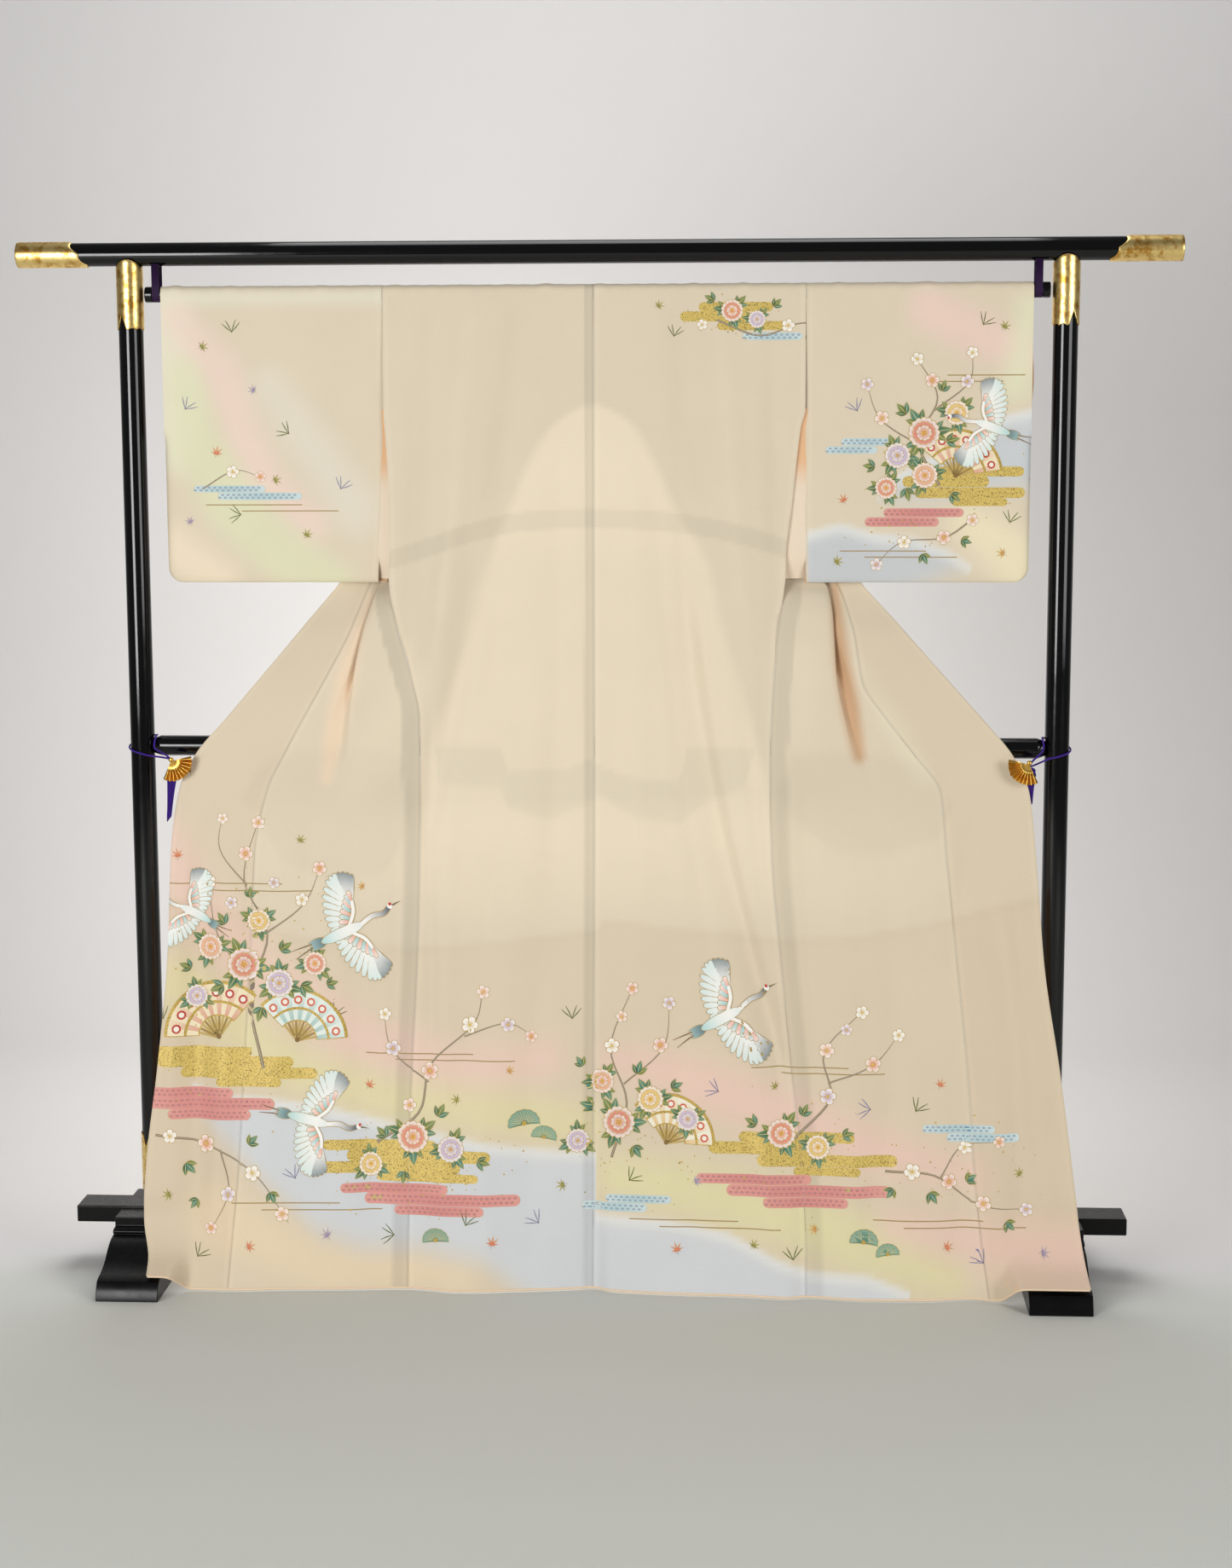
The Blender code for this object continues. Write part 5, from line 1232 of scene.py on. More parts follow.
    def mist(self, rows, tint=None, edge=None, dot=None):
        """Bands of mist: level bars with round ends, in gold leaf, or dyed with rows of small dots."""
        diamond = np.array([[0.3, 0], [0, 0.2], [-0.3, 0], [0, -0.2]])
        for k, (x0, x1, z, height) in enumerate(rows):
            self.at((x0 + x1) / 2, z)
            outline, layer = bar(x1 - x0, height), 0.4 + 0.07 * k
            if tint is None:
                self.add(outline, "#dcc067", layer=layer, gold=True)
                continue
            self.edged(outline, tint, edge, "#cfb27a", 0.05, layer, centre=(0, -height), reach=(x1 - x0) * 0.7)
            for row in (-1, 1):
                for spot in np.arange(-(x1 - x0) / 2 + height * 0.5, (x1 - x0) / 2 - height * 0.5, 0.92):
                    place = [spot + 0.23 * row, row * height * 0.19]
                    self.add(diamond + place, dot, layer=1.4)
                    self.add(diamond * 0.4 + place, "#f3d9cc", layer=1.8)

    def flecks(self, rows):
        """Cut gold leaf: small squares strewn round each place."""
        for x, z, spread_x, spread_z, count, seed in rows:
            rng = np.random.default_rng(int(seed))
            for dx, dz, turn, size in rng.normal(size=(int(count), 4)):
                self.at(x + dx * spread_x, z + dz * spread_z, 90 * turn)
                side = 0.07 + 0.035 * abs(size)
                self.add(side * np.array([[-1, -1], [1, -1], [1, 1], [-1, 1]]), "#cfae55", layer=1.2, gold=True)


# Hem and shoulder: fans, peonies, plum, pine and cranes over bands of mist. Each entry is a motif, its
# settings and its places.
HEM_DESIGN = [
    # Mist on the left: gold over rose
    ("mist", "", "-74 -57 38.6 1.7, -73 -50 37 1.9, -69 -46 35.2 1.8, -63 -52 33.7 1.4"),
    ("mist", "dusk dusk_edge dusk_dot", "-74 -60 31.9 1.7, -74.5 -53 30.2 1.9, -71 -57 28.4 1.7"),
    # Centre left
    ("mist", "", "-45 -26 23.6 1.7, -41 -17 21.9 2, -46 -22 20 1.9, -36 -19 18.4 1.4"),
    ("mist", "dusk dusk_edge dusk_dot", "-42 -24 16.6 1.6, -38 -12 14.9 1.9, -33 -18 13.1 1.6"),
    # Right
    ("mist", "", "24 43 25.8 1.7, 19 38 24 2, 27 50 22.1 1.9, 33 44 20.4 1.4"),
    ("mist", "dusk dusk_edge dusk_dot", "17 36 19 1.6, 22 49 17.2 1.9, 28 42 15.4 1.6"),
    # Small blue bands between
    ("mist", "water water_edge water_dot", "2 13 15.4 1.3, -2 9 14 1.4"),
    ("mist", "water water_edge water_dot", "54 66 27.4 1.3, 58 70 26 1.4"),
    # Fine gold lines of mist
    ("lines", "0.17", """
        -71 -52 66.4, -66 -47 65.2, -38 -20 38.6, -33 -13 37.6, -60 -42 14.2, -55 -35 13.1, 6 24 12.2, 11 31 11.1
        46 64 12.8, 51 71 11.7, 26 42 37, 31 48 36"""),
    # Left cluster
    ("branch", "0.55", "-55 36, -57.5 48, -54.5 58, -58.5 67, -56 77"),
    ("branch", "0.34", "-57 50, -63 58, -64.5 66"),
    ("branch", "0.32", "-55 58, -48.5 63, -45.5 69.5"),
    ("branch", "0.24", "-58 66, -62.5 72, -62 78"),
    ("fans", "2", "-62.5 41 24 9.2 sand brick crimson"),
    ("fans", "5.4", "-49.5 40.5 -20 8.4 mint sea coral"),
    ("blooms", "9 17", """
        -58.5 53 2.9 crimson rose, -52.5 50 2.5 lilac orchid, -64.2 55.8 2.3 coral apricot
        -46.6 53.2 2.1 coral rose, -56 60.2 2.1 amber cream, -66.5 47.6 2 lilac orchid"""),
    ("leaves", "8 teal olive moss", """
        -61.8 49.6 200 2.7, -55.4 46 250 2.6, -49 49.6 -30 2.7, -61.6 59.6 120 2.4, -52.4 55.4 30 2.4
        -67.4 52.2 150 2.2, -44.6 49.8 10 2.1, -57.6 64 80 2"""),
    ("plums", "9.5 40", """
        -56 76.6 1.15 shell, -58.2 71.4 1.3 salmon, -64.4 66.6 1.2 ivory, -62 77.2 0.95 blush
        -45.8 69 1.25 salmon, -48.8 63.8 1.15 ivory, -60.6 63.2 1.1 wisteria, -53.4 66.6 1 wisteria"""),
    ("cranes", "13", "-41.5 58.5 24 8.2, -67 61.5 150 6.2"),
    # Under the left mist
    ("branch", "0.42", "-73 25, -64 23.4, -56 18.6, -50.5 11"),
    ("branch", "0.28", "-62 22.8, -60.5 16, -63.5 9.4"),
    ("plums", "6 50", """
        -64.5 23.6 1.5 salmon, -56.6 19 1.35 ivory, -60.6 15.6 1.3 wisteria, -51.6 12.4 1.25 shell
        -63.3 10.2 1.1 salmon, -70.6 24.8 1.2 ivory"""),
    ("leaves", "4 moss teal olive", "-68 20.4 -50 2.5, -57.4 23.6 40 2.2, -53.6 16 -70 2.2, -65.8 14.6 230 2"),
    # Centre left, over its mist
    ("branch", "0.5", "-36 24, -29 29, -27 37, -20 43.5, -18.5 49"),
    ("branch", "0.3", "-27.4 34, -33.5 39, -35 45"),
    ("branch", "0.28", "-21.5 41.5, -14.5 43.8, -10 41.6"),
    ("plums", "6 50", """
        -27.2 35.8 1.5 salmon, -33.4 39.4 1.35 wisteria, -34.8 45 1.1 ivory, -20.6 43.4 1.45 ivory
        -18.4 48.8 1.15 shell, -14.2 43.6 1.25 wisteria, -10.4 41.6 1.05 salmon, -30.6 30.2 1.2 shell"""),
    ("bloom", "8", "-30 25 8 2.8 coral rose"),
    ("bloom", "7.5", "-23.6 23.2 40 2.3 lilac orchid, -37 20.4 70 2.1 amber cream"),
    ("leaves", "6.6 teal olive moss", """
        -25.8 28.4 60 2.5, -34.4 24.8 130 2.4, -19.2 21.4 -20 2.3, -31.4 19.4 -100 2.2"""),
    ("cranes", "12", "-47 27.6 -14 7.6"),
    ("pines", "4 pine", "-11.5 27.4 8 2.6"),
    ("pines", "5.4 fir", "-8.2 25.2 -8 2.1"),
    ("pines", "4 pine", "-26 8.4 6 2.2"),
    # Centre cluster
    ("branch", "0.46", "3 22, 5.5 31, 2.8 40, 6.5 50"),
    ("branch", "0.3", "5 34, 11.5 40, 12.5 47.5"),
    ("fans", "4.4", "12 24.5 -26 8 linen honey coral"),
    ("blooms", "9 23", """
        4.2 27.8 2.8 crimson rose, 9.4 31.6 2.3 amber cream, -2.6 24.6 2.1 lilac orchid
        1.4 34.4 2.1 coral apricot, 15.6 28.4 2 lilac orchid"""),
    ("leaves", "8 olive teal moss", """
        0 30.2 160 2.5, 7.2 35.6 70 2.4, 6.6 24 -60 2.4, 12.8 33.4 20 2.2, -1.8 36.8 120 2"""),
    ("plums", "9 50", """
        3 40.2 1.3 ivory, 6.3 49.6 1.1 salmon, 12.4 47.2 1.15 wisteria, 11 40.4 1.3 salmon, 4.6 45 1 shell"""),
    ("cranes", "12", "21.5 45 28 8"),
    # Right, over its mist
    ("branch", "0.46", "33 25.5, 39 32, 38 39.5, 44.5 46.5"),
    ("branch", "0.3", "38.6 34.5, 46 37.5, 50.5 42.5"),
    ("plums", "6 50", """
        38.6 32.4 1.4 wisteria, 38.4 39.8 1.3 shell, 44.2 46 1.15 ivory, 46 37.6 1.35 salmon, 50.2 42.2 1.1 ivory
        41.6 43.2 1 wisteria"""),
    ("bloom", "8", "31 26.4 30 2.5 coral rose"),
    ("bloom", "7.5", "37 24.2 10 2.1 amber cream"),
    ("leaves", "6.6 teal olive moss", "27 27.8 150 2.3, 34.4 29.2 60 2.2, 41 26.2 10 2.1"),
    ("branch", "0.42", "48 20.5, 56 20, 63 15.5, 71.5 14.5"),
    ("branch", "0.26", "57 19.6, 60.5 24.5, 67 25.5"),
    ("plums", "6 50", """
        52.4 20.6 1.4 ivory, 58.4 19 1.3 salmon, 64 15.6 1.3 shell, 71 14.6 1.15 wisteria, 61 24.4 1.1 ivory
        66.6 25.4 1 salmon"""),
    ("leaves", "4 moss teal olive", "55.2 17.4 -60 2.3, 61.2 19 30 2.1, 67.6 12.8 -50 2.2, 49.4 17.8 230 2"),
    ("pines", "4 pine", "44.5 9.4 -6 2.3"),
    ("pines", "5.4 fir", "48.4 7.6 8 1.9"),
    # Scattered maple leaves and needles
    ("maples", "", """
        -69.5 71 100 1.5 coral peach, -49 73.6 60 1.3 olive straw, -38.6 66 150 1.2 ochre cream
        -70.5 15.4 200 1.5 olive straw, -57 7.2 20 1.4 coral peach, -44 9 130 1.5 violet mauve
        -37.4 33.2 60 1.4 coral peach, -22.6 31.2 170 1.3 olive straw, -14 36 40 1.2 ochre cream
        -16.6 8 80 1.5 coral peach, -5 17.4 200 1.4 olive straw, 17 18.4 20 1.3 violet mauve
        14 7.4 110 1.5 coral peach, 26.5 8.4 60 1.3 olive straw, 36.6 11.2 190 1.4 ochre cream
        57 34.4 70 1.3 coral peach, 30 33.8 130 1.2 olive straw, 58 8.6 30 1.4 coral peach
        70 20.2 140 1.3 olive straw, 73.6 8 10 1.4 violet mauve"""),
    ("needles", "2.3", """
        -65.5 5.6 20, -49.5 18.2 80, -33 9 140, -21 11 30, -9 11.2 100, -3.6 44.6 60, 6 18.4 10, 20.6 33 120
        33 6.4 60, 53 30.2 20, 64 6.2 100, -43.4 44.6 30, -72 44 80, 45.6 30.4 140"""),
    ("flecks", "", """
        -60 35 7 3.4 70 1, -30 20 8 4 90 2, 34 22 9 3.6 80 3, 6 22 5 4 34 4, 62 22 6 4 34 5, -52 57 7 6 40 6"""),
    # Right shoulder
    ("mist", "", "17 29 160.6 1.5, 14 25.5 159.1 1.6, 20 32 157.6 1.4"),
    ("mist", "water water_edge water_dot", "24 33.8 155.9 1.2, 36 43 159.4 1.2"),
    ("branch", "0.36", "20 158.5, 27 156, 34 158, 41 156, 46.5 157.4"),
    ("bloom", "7", "22.4 160 20 1.9 coral rose"),
    ("bloom", "6.5", "26.4 158.6 20 1.5 lilac orchid"),
    ("plums", "5 50", """
        31.4 157.6 1.1 ivory, 38 157 1.15 salmon, 42.6 156.4 1 wisteria, 46.2 157.4 0.95 shell
        17.6 157.8 0.9 ivory"""),
    ("leaves", "4.5 teal olive moss", "19.6 161.6 150 1.9, 29 160.6 40 1.8, 34.6 156.4 -60 1.7"),
    ("maples", "", "10.5 160.8 40 1.2 olive straw, 38.6 152.6 150 1.2 coral peach"),
    ("needles", "1.9", "13 156 40"),
    ("flecks", "", "24 158.6 5 2 34 7"),
]

# Sleeves: a full cluster on the right, a few strewn leaves on the left
SLEEVE_DESIGN = [
    ("mist", "", "55 69.6 134.2 1.6, 50 64 132.6 1.8, 52 69.8 130.8 1.7, 58 67 129.3 1.3"),
    ("mist", "dusk dusk_edge dusk_dot", "47 60 127.6 1.4, 44 56 126.1 1.5"),
    ("mist", "water water_edge water_dot", "40 49 139 1.2, 37.5 46 137.7 1.2"),
    ("lines", "0.16", "40 54 121.4, 44 59 120.4, 57 69.5 149.6, 54 66 148.6"),
    ("branch", "0.5", "56 132, 52.5 139, 55.5 146, 52 152.5"),
    ("branch", "0.3", "53.4 138, 46.5 142.5, 44 148.5"),
    ("branch", "0.3", "55 144, 60.5 148.5, 61 153.5"),
    ("fans", "4.4", "58.5 133.4 -16 7.6 sand brick crimson"),
    ("blooms", "9 31", """
        53.4 140.4 2.7 crimson rose, 49.2 136.8 2.2 lilac orchid, 58.6 143.6 2.1 amber cream
        53.6 133.6 2.2 coral apricot, 47.4 131.6 1.9 coral rose"""),
    ("leaves", "8 teal olive moss", """
        50.6 143.4 130 2.4, 57 139 10 2.3, 50.6 131.6 -80 2.3, 45.6 135 170 2.1, 56.2 147 70 2, 57.8 130.6 -40 2.1"""),
    ("plums", "9 50", """
        52.2 152.2 1.1 ivory, 54.6 148.8 1.2 salmon, 44.2 148.2 1.1 wisteria, 46.6 142.8 1.25 shell
        61 153.2 1 ivory, 60.2 148.6 1.15 wisteria"""),
    ("cranes", "12", "64 141.4 160 6.4"),
    ("branch", "0.34", "62 127, 57 123.6, 50 122.8, 45.5 118.8"),
    ("plums", "6 50", "56.8 123.6 1.2 salmon, 50.4 122.8 1.15 ivory, 46 119.2 1.05 wisteria, 61.4 126.4 1.05 shell"),
    ("leaves", "4 moss teal olive", "53.4 121 -70 2, 59.6 123.2 -20 1.9"),
    ("maples", "", """
        66 157.2 60 1.3 olive straw, 40.6 129.6 120 1.3 coral peach, 39.5 119.6 40 1.4 olive straw
        66.4 121 160 1.3 ochre cream, -64 154.6 30 1.3 olive straw, -55.6 147.6 150 1.2 violet mauve
        -62 137.4 80 1.4 coral peach, -52.4 133 20 1.3 olive straw, -66.6 126.2 120 1.2 violet mauve
        -47.4 124 60 1.3 olive straw"""),
    ("needles", "2.1", """
        62.6 157.6 20, 42.6 144 80, 67.4 126 40, -59 157 60, -67 144.6 20, -50 140.6 110, -58.2 127.4 140
        -41.6 131.6 30"""),
    ("mist", "water water_edge water_dot", "-66 -54 131.6 1.1, -62 -48 130.4 1.2"),
    ("lines", "0.16", "-64 -48 129, -58 -42 128"),
    ("branch", "0.26", "-64.5 131.6, -59 134.6, -54.5 133.4"),
    ("plums", "4 50", "-59.4 134.4 1.1 ivory, -54.8 133.6 0.95 salmon"),
    ("flecks", "", "58 132 6 3.4 50 8, 50 125 5 2.4 24 9"),
]


def draw(design):
    """Shapes of a design, entry by entry."""
    art = Pattern()
    for motif, settings, places in design:
        getattr(art, motif)(table(places), *(table(settings)[0] if settings else ()))
    return art.shapes


def read_grid(grid, u, v):
    """Value of a grid at column u and row v, bilinear between its points and carried on past its edges, with
    its two slopes."""
    i = np.clip(np.floor(v).astype(int), 0, grid.shape[0] - 2)
    j = np.clip(np.floor(u).astype(int), 0, grid.shape[1] - 2)
    s, t = (u - j)[:, None], (v - i)[:, None]
    a, b, c, d = grid[i, j], grid[i, j + 1], grid[i + 1, j], grid[i + 1, j + 1]
    value = (a * (1 - s) + b * s) * (1 - t) + (c * (1 - s) + d * s) * t
    return value, (b - a) * (1 - t) + (d - c) * t, (c - a) * (1 - s) + (d - b) * s


def find_on_cloth(skin, places):
    """Column and row of a cloth skin under each (x, z): a first guess from its edges, then Newton steps."""
    rows, columns = skin.shape[:2]
    middle = skin[:, columns // 2, 2]
    order = np.argsort(middle)
    v = np.interp(places[:, 1], middle[order], np.arange(rows)[order].astype(float))
    at = np.clip(np.round(v).astype(int), 0, rows - 1)
    first, last = skin[at, 0, 0], skin[at, -1, 0]
    u = np.clip((places[:, 0] - first) / (last - first) * (columns - 1), -2, columns + 1)
    for _ in range(14):
        value, du, dv = read_grid(skin, u, v)
        rx, rz = places[:, 0] - value[:, 0], places[:, 1] - value[:, 2]
        det = du[:, 0] * dv[:, 2] - dv[:, 0] * du[:, 2]
        det = np.where(np.abs(det) < 1e-6, 1e-6, det)
        u = np.clip(u + np.clip((rx * dv[:, 2] - rz * dv[:, 0]) / det, -4, 4), -4, columns + 3)
        v = np.clip(v + np.clip((du[:, 0] * rz - du[:, 2] * rx) / det, -4, 4), -4, rows + 3)
    return u, v


def cut_to_cells(outline, size):
    """Split one outline along the cloth's own cells, and leave out what lies past the cloth's edges. Gives
    the corner places and the faces."""
    outline = np.round(outline, 4)
    low, high, end = outline.min(axis=0), outline.max(axis=0), size - 1
    if (high <= 0).any() or (low >= end).any():
        return None
    if (low > 0).all() and (high < end).all() and (np.floor(low) == np.floor(high)).all():
        return outline, [list(range(len(outline)))]
    points = outline.tolist()
    count = len(points)
    edges = []
    for axis in (0, 1):
        for line in range(math.ceil(low[axis]), math.floor(high[axis]) + 1):
            edges.append((len(points), len(points) + 1))
            for place in (low[1 - axis] - 0.37, high[1 - axis] + 0.37):
                points.append((line, place) if axis == 0 else (place, line))
    edges += [(k, (k + 1) % count) for k in range(count)]
    made, _, faces, _, _, _ = delaunay_2d_cdt(points, edges, [], 0, 1e-5, False)
    made, faces = np.array([tuple(p) for p in made]), np.array(faces)
    middle = made[faces].mean(axis=1)
    a, b = outline[None], np.roll(outline, -1, axis=0)[None]
    x, z = middle[:, None, 0], middle[:, None, 1]
    rise = np.where(np.abs(b[..., 1] - a[..., 1]) < 1e-12, 1e-12, b[..., 1] - a[..., 1])
    edge = a[..., 0] + (z - a[..., 1]) * (b[..., 0] - a[..., 0]) / rise
    crossed = ((a[..., 1] > z) != (b[..., 1] > z)) & (x < edge)
    faces = faces[((middle > 0) & (middle < end)).all(axis=1) & (crossed.sum(axis=1) % 2 == 1)]
    if not len(faces):
        return None
    used, index = np.unique(faces, return_inverse=True)
    return made[used], index.reshape(-1, 3).tolist()


def fine(outline, step=0.7):
    """An outline with no side longer than the step."""
    after = np.roll(outline, -1, axis=0)
    pieces = np.maximum(1, np.ceil(np.linalg.norm(after - outline, axis=1) / step).astype(int))
    return np.vstack([a + (b - a) * np.arange(n)[:, None] / n for a, b, n in zip(outline, after, pieces)])


def signed_area(points):
    """Area of an outline, negative where it runs clockwise."""
    after = np.roll(points, -1, axis=0)
    return 0.5 * float(np.sum(points[:, 0] * after[:, 1] - points[:, 1] * after[:, 0]))


def lay_on_cloth(shapes, skin, way):
    """Lay the shapes on one cloth skin: each a little above it by its layer. Gives points, their normals,
    colours and faces."""
    low, high = skin[..., [0, 2]].min(axis=(0, 1)), skin[..., [0, 2]].max(axis=(0, 1))
    chosen = [(fine(one[0]), *one[1:]) for one in shapes
              if (one[0].max(axis=0) > low).all() and (one[0].min(axis=0) < high).all()]
    if not chosen:
        return None
    found = np.column_stack(find_on_cloth(skin, np.vstack([one[0] for one in chosen])))
    places, faces, spec = [], [], []
    start = 0
    for k, one in enumerate(chosen):
        end = start + len(one[0])
        cut = cut_to_cells(found[start:end], np.array([skin.shape[1], skin.shape[0]]))
        start = end
        if cut is not None:
            faces += [[i + len(spec) for i in face] for face in cut[1]]
            places.append(cut[0])
            spec += [k] * len(cut[0])
    if not places:
        return None
    u, v = np.vstack(places).T
    spot, normal = read_grid(skin, u, v)[0], read_grid(way, u, v)[0]
    normal /= np.linalg.norm(normal, axis=1)[:, None]
    near, far, centre, reach, layer = (np.array([one[i] for one in chosen])[spec] for i in range(1, 6))
    share = np.clip(np.linalg.norm(spot[:, [0, 2]] - centre, axis=1) / reach, 0, 1)[:, None] ** 1.4
    lift = PAINT_LIFT + LAYER_LIFT * layer[:, None]
    return spot + normal * lift, normal, near * (1 - share) + far * share, faces


class GarmentSizes(bpy.types.PropertyGroup):
    """Sizes and colours of the silk."""

    wall: bpy.props.FloatProperty(name="Cloth", description="Outer silk and lining together", default=0.0013,
                                  unit="LENGTH")
    collar: bpy.props.FloatProperty(name="Collar", description="Thickness of the folded collar", default=0.003,
                                    unit="LENGTH")
    cream: bpy.props.StringProperty(name="Silk", description="Ground colour of the silk, sRGB hex", default="#e2d3b9")
    lining: bpy.props.StringProperty(name="Lining", description="Colour of the lower lining, sRGB hex",
                                     default="#f2c8a0")


class StandSizes(bpy.types.PropertyGroup):
    """Finishes of the stand."""

    gold: bpy.props.StringProperty(name="Gilt", description="Colour of the gilt fittings, sRGB hex", default="#fbdc90")
    polish: bpy.props.FloatProperty(name="Gilt roughness", description="Roughness of the gilt", default=0.32, min=0.0,
                                    max=1.0, subtype="FACTOR")


class StudioSettings(bpy.types.PropertyGroup):
    """Floor, backdrop and light."""

    floor: bpy.props.StringProperty(name="Floor", description="Colour of the floor, sRGB hex", default="#d5d6d0")
    wall: bpy.props.StringProperty(name="Backdrop", description="Colour of the backdrop, sRGB hex", default="#d9d7d5")
    key: bpy.props.FloatProperty(name="Key light", description="Power of the large soft light", default=122.0,
                                 unit="POWER")
    fill: bpy.props.FloatProperty(name="Fill light", description="Power of the second light", default=66.0,
                                  unit="POWER")
    top: bpy.props.FloatProperty(name="Top light", description="Power of the light from above", default=42.0,
                                 unit="POWER")
    back: bpy.props.FloatProperty(name="Backdrop light", description="Power of the light on the backdrop",
                                  default=7.5, unit="POWER")
    low: bpy.props.FloatProperty(name="Low light", description="Power of the light on the foot of the backdrop",
                                 default=17.0, unit="POWER")
    sky: bpy.props.FloatProperty(name="Room light", description="Strength of the even light", default=0.17, min=0.0)


# Cloth materials, the grids whose hem is rolled, and the skins that the design is laid on
CLOTH = []
GRIDS = {}
PANELS = {}


def silks():
    """The cloth materials, made once: the silk and its lining."""
    if not CLOTH:
        CLOTH.extend([crepe_silk("hand dyed silk crepe", 0.62, 0.25), crepe_silk("plain woven lining silk", 0.5, 0.2)])
    return CLOTH


def lining_colour(x, z, lower):
    """Lining: pale above the line where the lower lining starts, and in the lower lining's colour below it."""
    return tinted(linear("#fff0dd"), lower, ease((read(LINING_LINE, x) - z) / 0.6 + 0.5))


class SewBody(bpy.types.Operator):
    """Hang the two body panels and the two overlap strips."""

    bl_idname = "kimono.sew_body"
    bl_label = "Body panels"

    def execute(self, context):
        sizes = context.scene.kimono_garment
        for side in FRONTS:
            grid, back_rows = body_grid(side)
            strip = okumi_grid(side)
            GRIDS[side] = (grid, strip)
            z, run = grid[..., 2], widths(grid)
            on_back = np.arange(len(grid))[:, None] < back_rows + 6
            # Painted shade of the side allowance on the fronts and of the centre allowance on the left back, with the
            # seam lines and their painted highlights.
            greyed = (0.17 if side == "left" else 0.13) * (~on_back & (z < 118.0))
            marks = seam_marks(run, SIDE_ALLOWANCE, greyed, np.where(z > 118, 0.03, 0.13))
            marks = marks * seam_marks(run[:, -1:] - run, CENTRE_ALLOWANCE, 0.16 * (on_back & (side == "left")), 0.16)
            obj, (skin, way) = self.panel(f"body_panel_{side}", side, grid, marks[..., None], sizes)
            keep(obj, "silk", f"body_{side}")
            PANELS[f"back_{side}"] = (skin[:back_rows], way[:back_rows])
            front = back_rows + TURN_ROWS
            low = front + int(np.argmax(z[front:, 0] < FRONT_SHOWS_BELOW))
            PANELS[f"front_{side}"] = (skin[low:], way[low:])
            run = widths(strip)
            # Seam lines at both edges of the overlap, with their painted highlights.
            marks = seam_marks(run) * seam_marks(run[:, -1:] - run, line=0.1)
            obj, (skin, way) = self.panel(f"overlap_{side}", side, strip, marks[..., None] * OVERLAP_TINT, sizes)
            keep(obj, "silk", f"okumi_{side}")
            low = int(np.argmax(strip[:, 0, 2] < FRONT_SHOWS_BELOW))
            PANELS[f"okumi_{side}"] = (skin[low:], way[low:])
        return {"FINISHED"}

    def panel(self, name, side, grid, light, sizes):
        """A dyed and lined panel."""
        x, z = grid[..., 0], grid[..., 2]
        # The deep folds' painted shade and light are laid over the grounds of the body and the overlaps.
        outside = silk_colour(x, z, sizes.cream, HEM_GROUNDS + FOLD_SHADE_AND_LIGHT, HEM_BLUES) * light
        return sew(name, grid, sizes.wall / CM, side == "right", silks(), outside, lining_colour(x, z, sizes.lining))


class SewSleeves(bpy.types.Operator):
    """Hang the sleeves, each one length folded over the rod."""

    bl_idname = "kimono.sew_sleeves"
    bl_label = "Sleeves"

    def execute(self, context):
        sizes = context.scene.kimono_garment
        for side in FRONTS:
            grid, back_rows = sleeve_grid(side)
            x, z = grid[..., 0], grid[..., 2]
            # Seam lines along the sleeve's inner edge, with a painted highlight beside them.
            marks = seam_marks(np.abs(x) - np.abs(x[:, :1]), line=0.04)[..., None]
            outside = silk_colour(x, z, sizes.cream, SLEEVE_GROUNDS, SLEEVE_BLUES) * marks
            inside = np.broadcast_to(linear("#eec9a4"), outside.shape)
            obj, (skin, way) = sew(f"sleeve_cloth_{side}", grid, sizes.wall / CM, side == "left", silks(), outside,
                                   inside)
            keep(obj, "silk", f"sleeve_{side}")
            PANELS[f"sleeve_{side}"] = (skin[:back_rows], way[:back_rows])
            strip = slit_grid(side, skin[:back_rows])
            colour = tinted(linear("#f2dfc6"), "#eebd8e", ease((strip[..., 2] - 134.0) / 6.0 + 0.5))
            keep(sew(f"slit_lining_{side}", strip, SLIT_WALL, side == "left", silks()[1:], colour)[0], "lining")
        return {"FINISHED"}


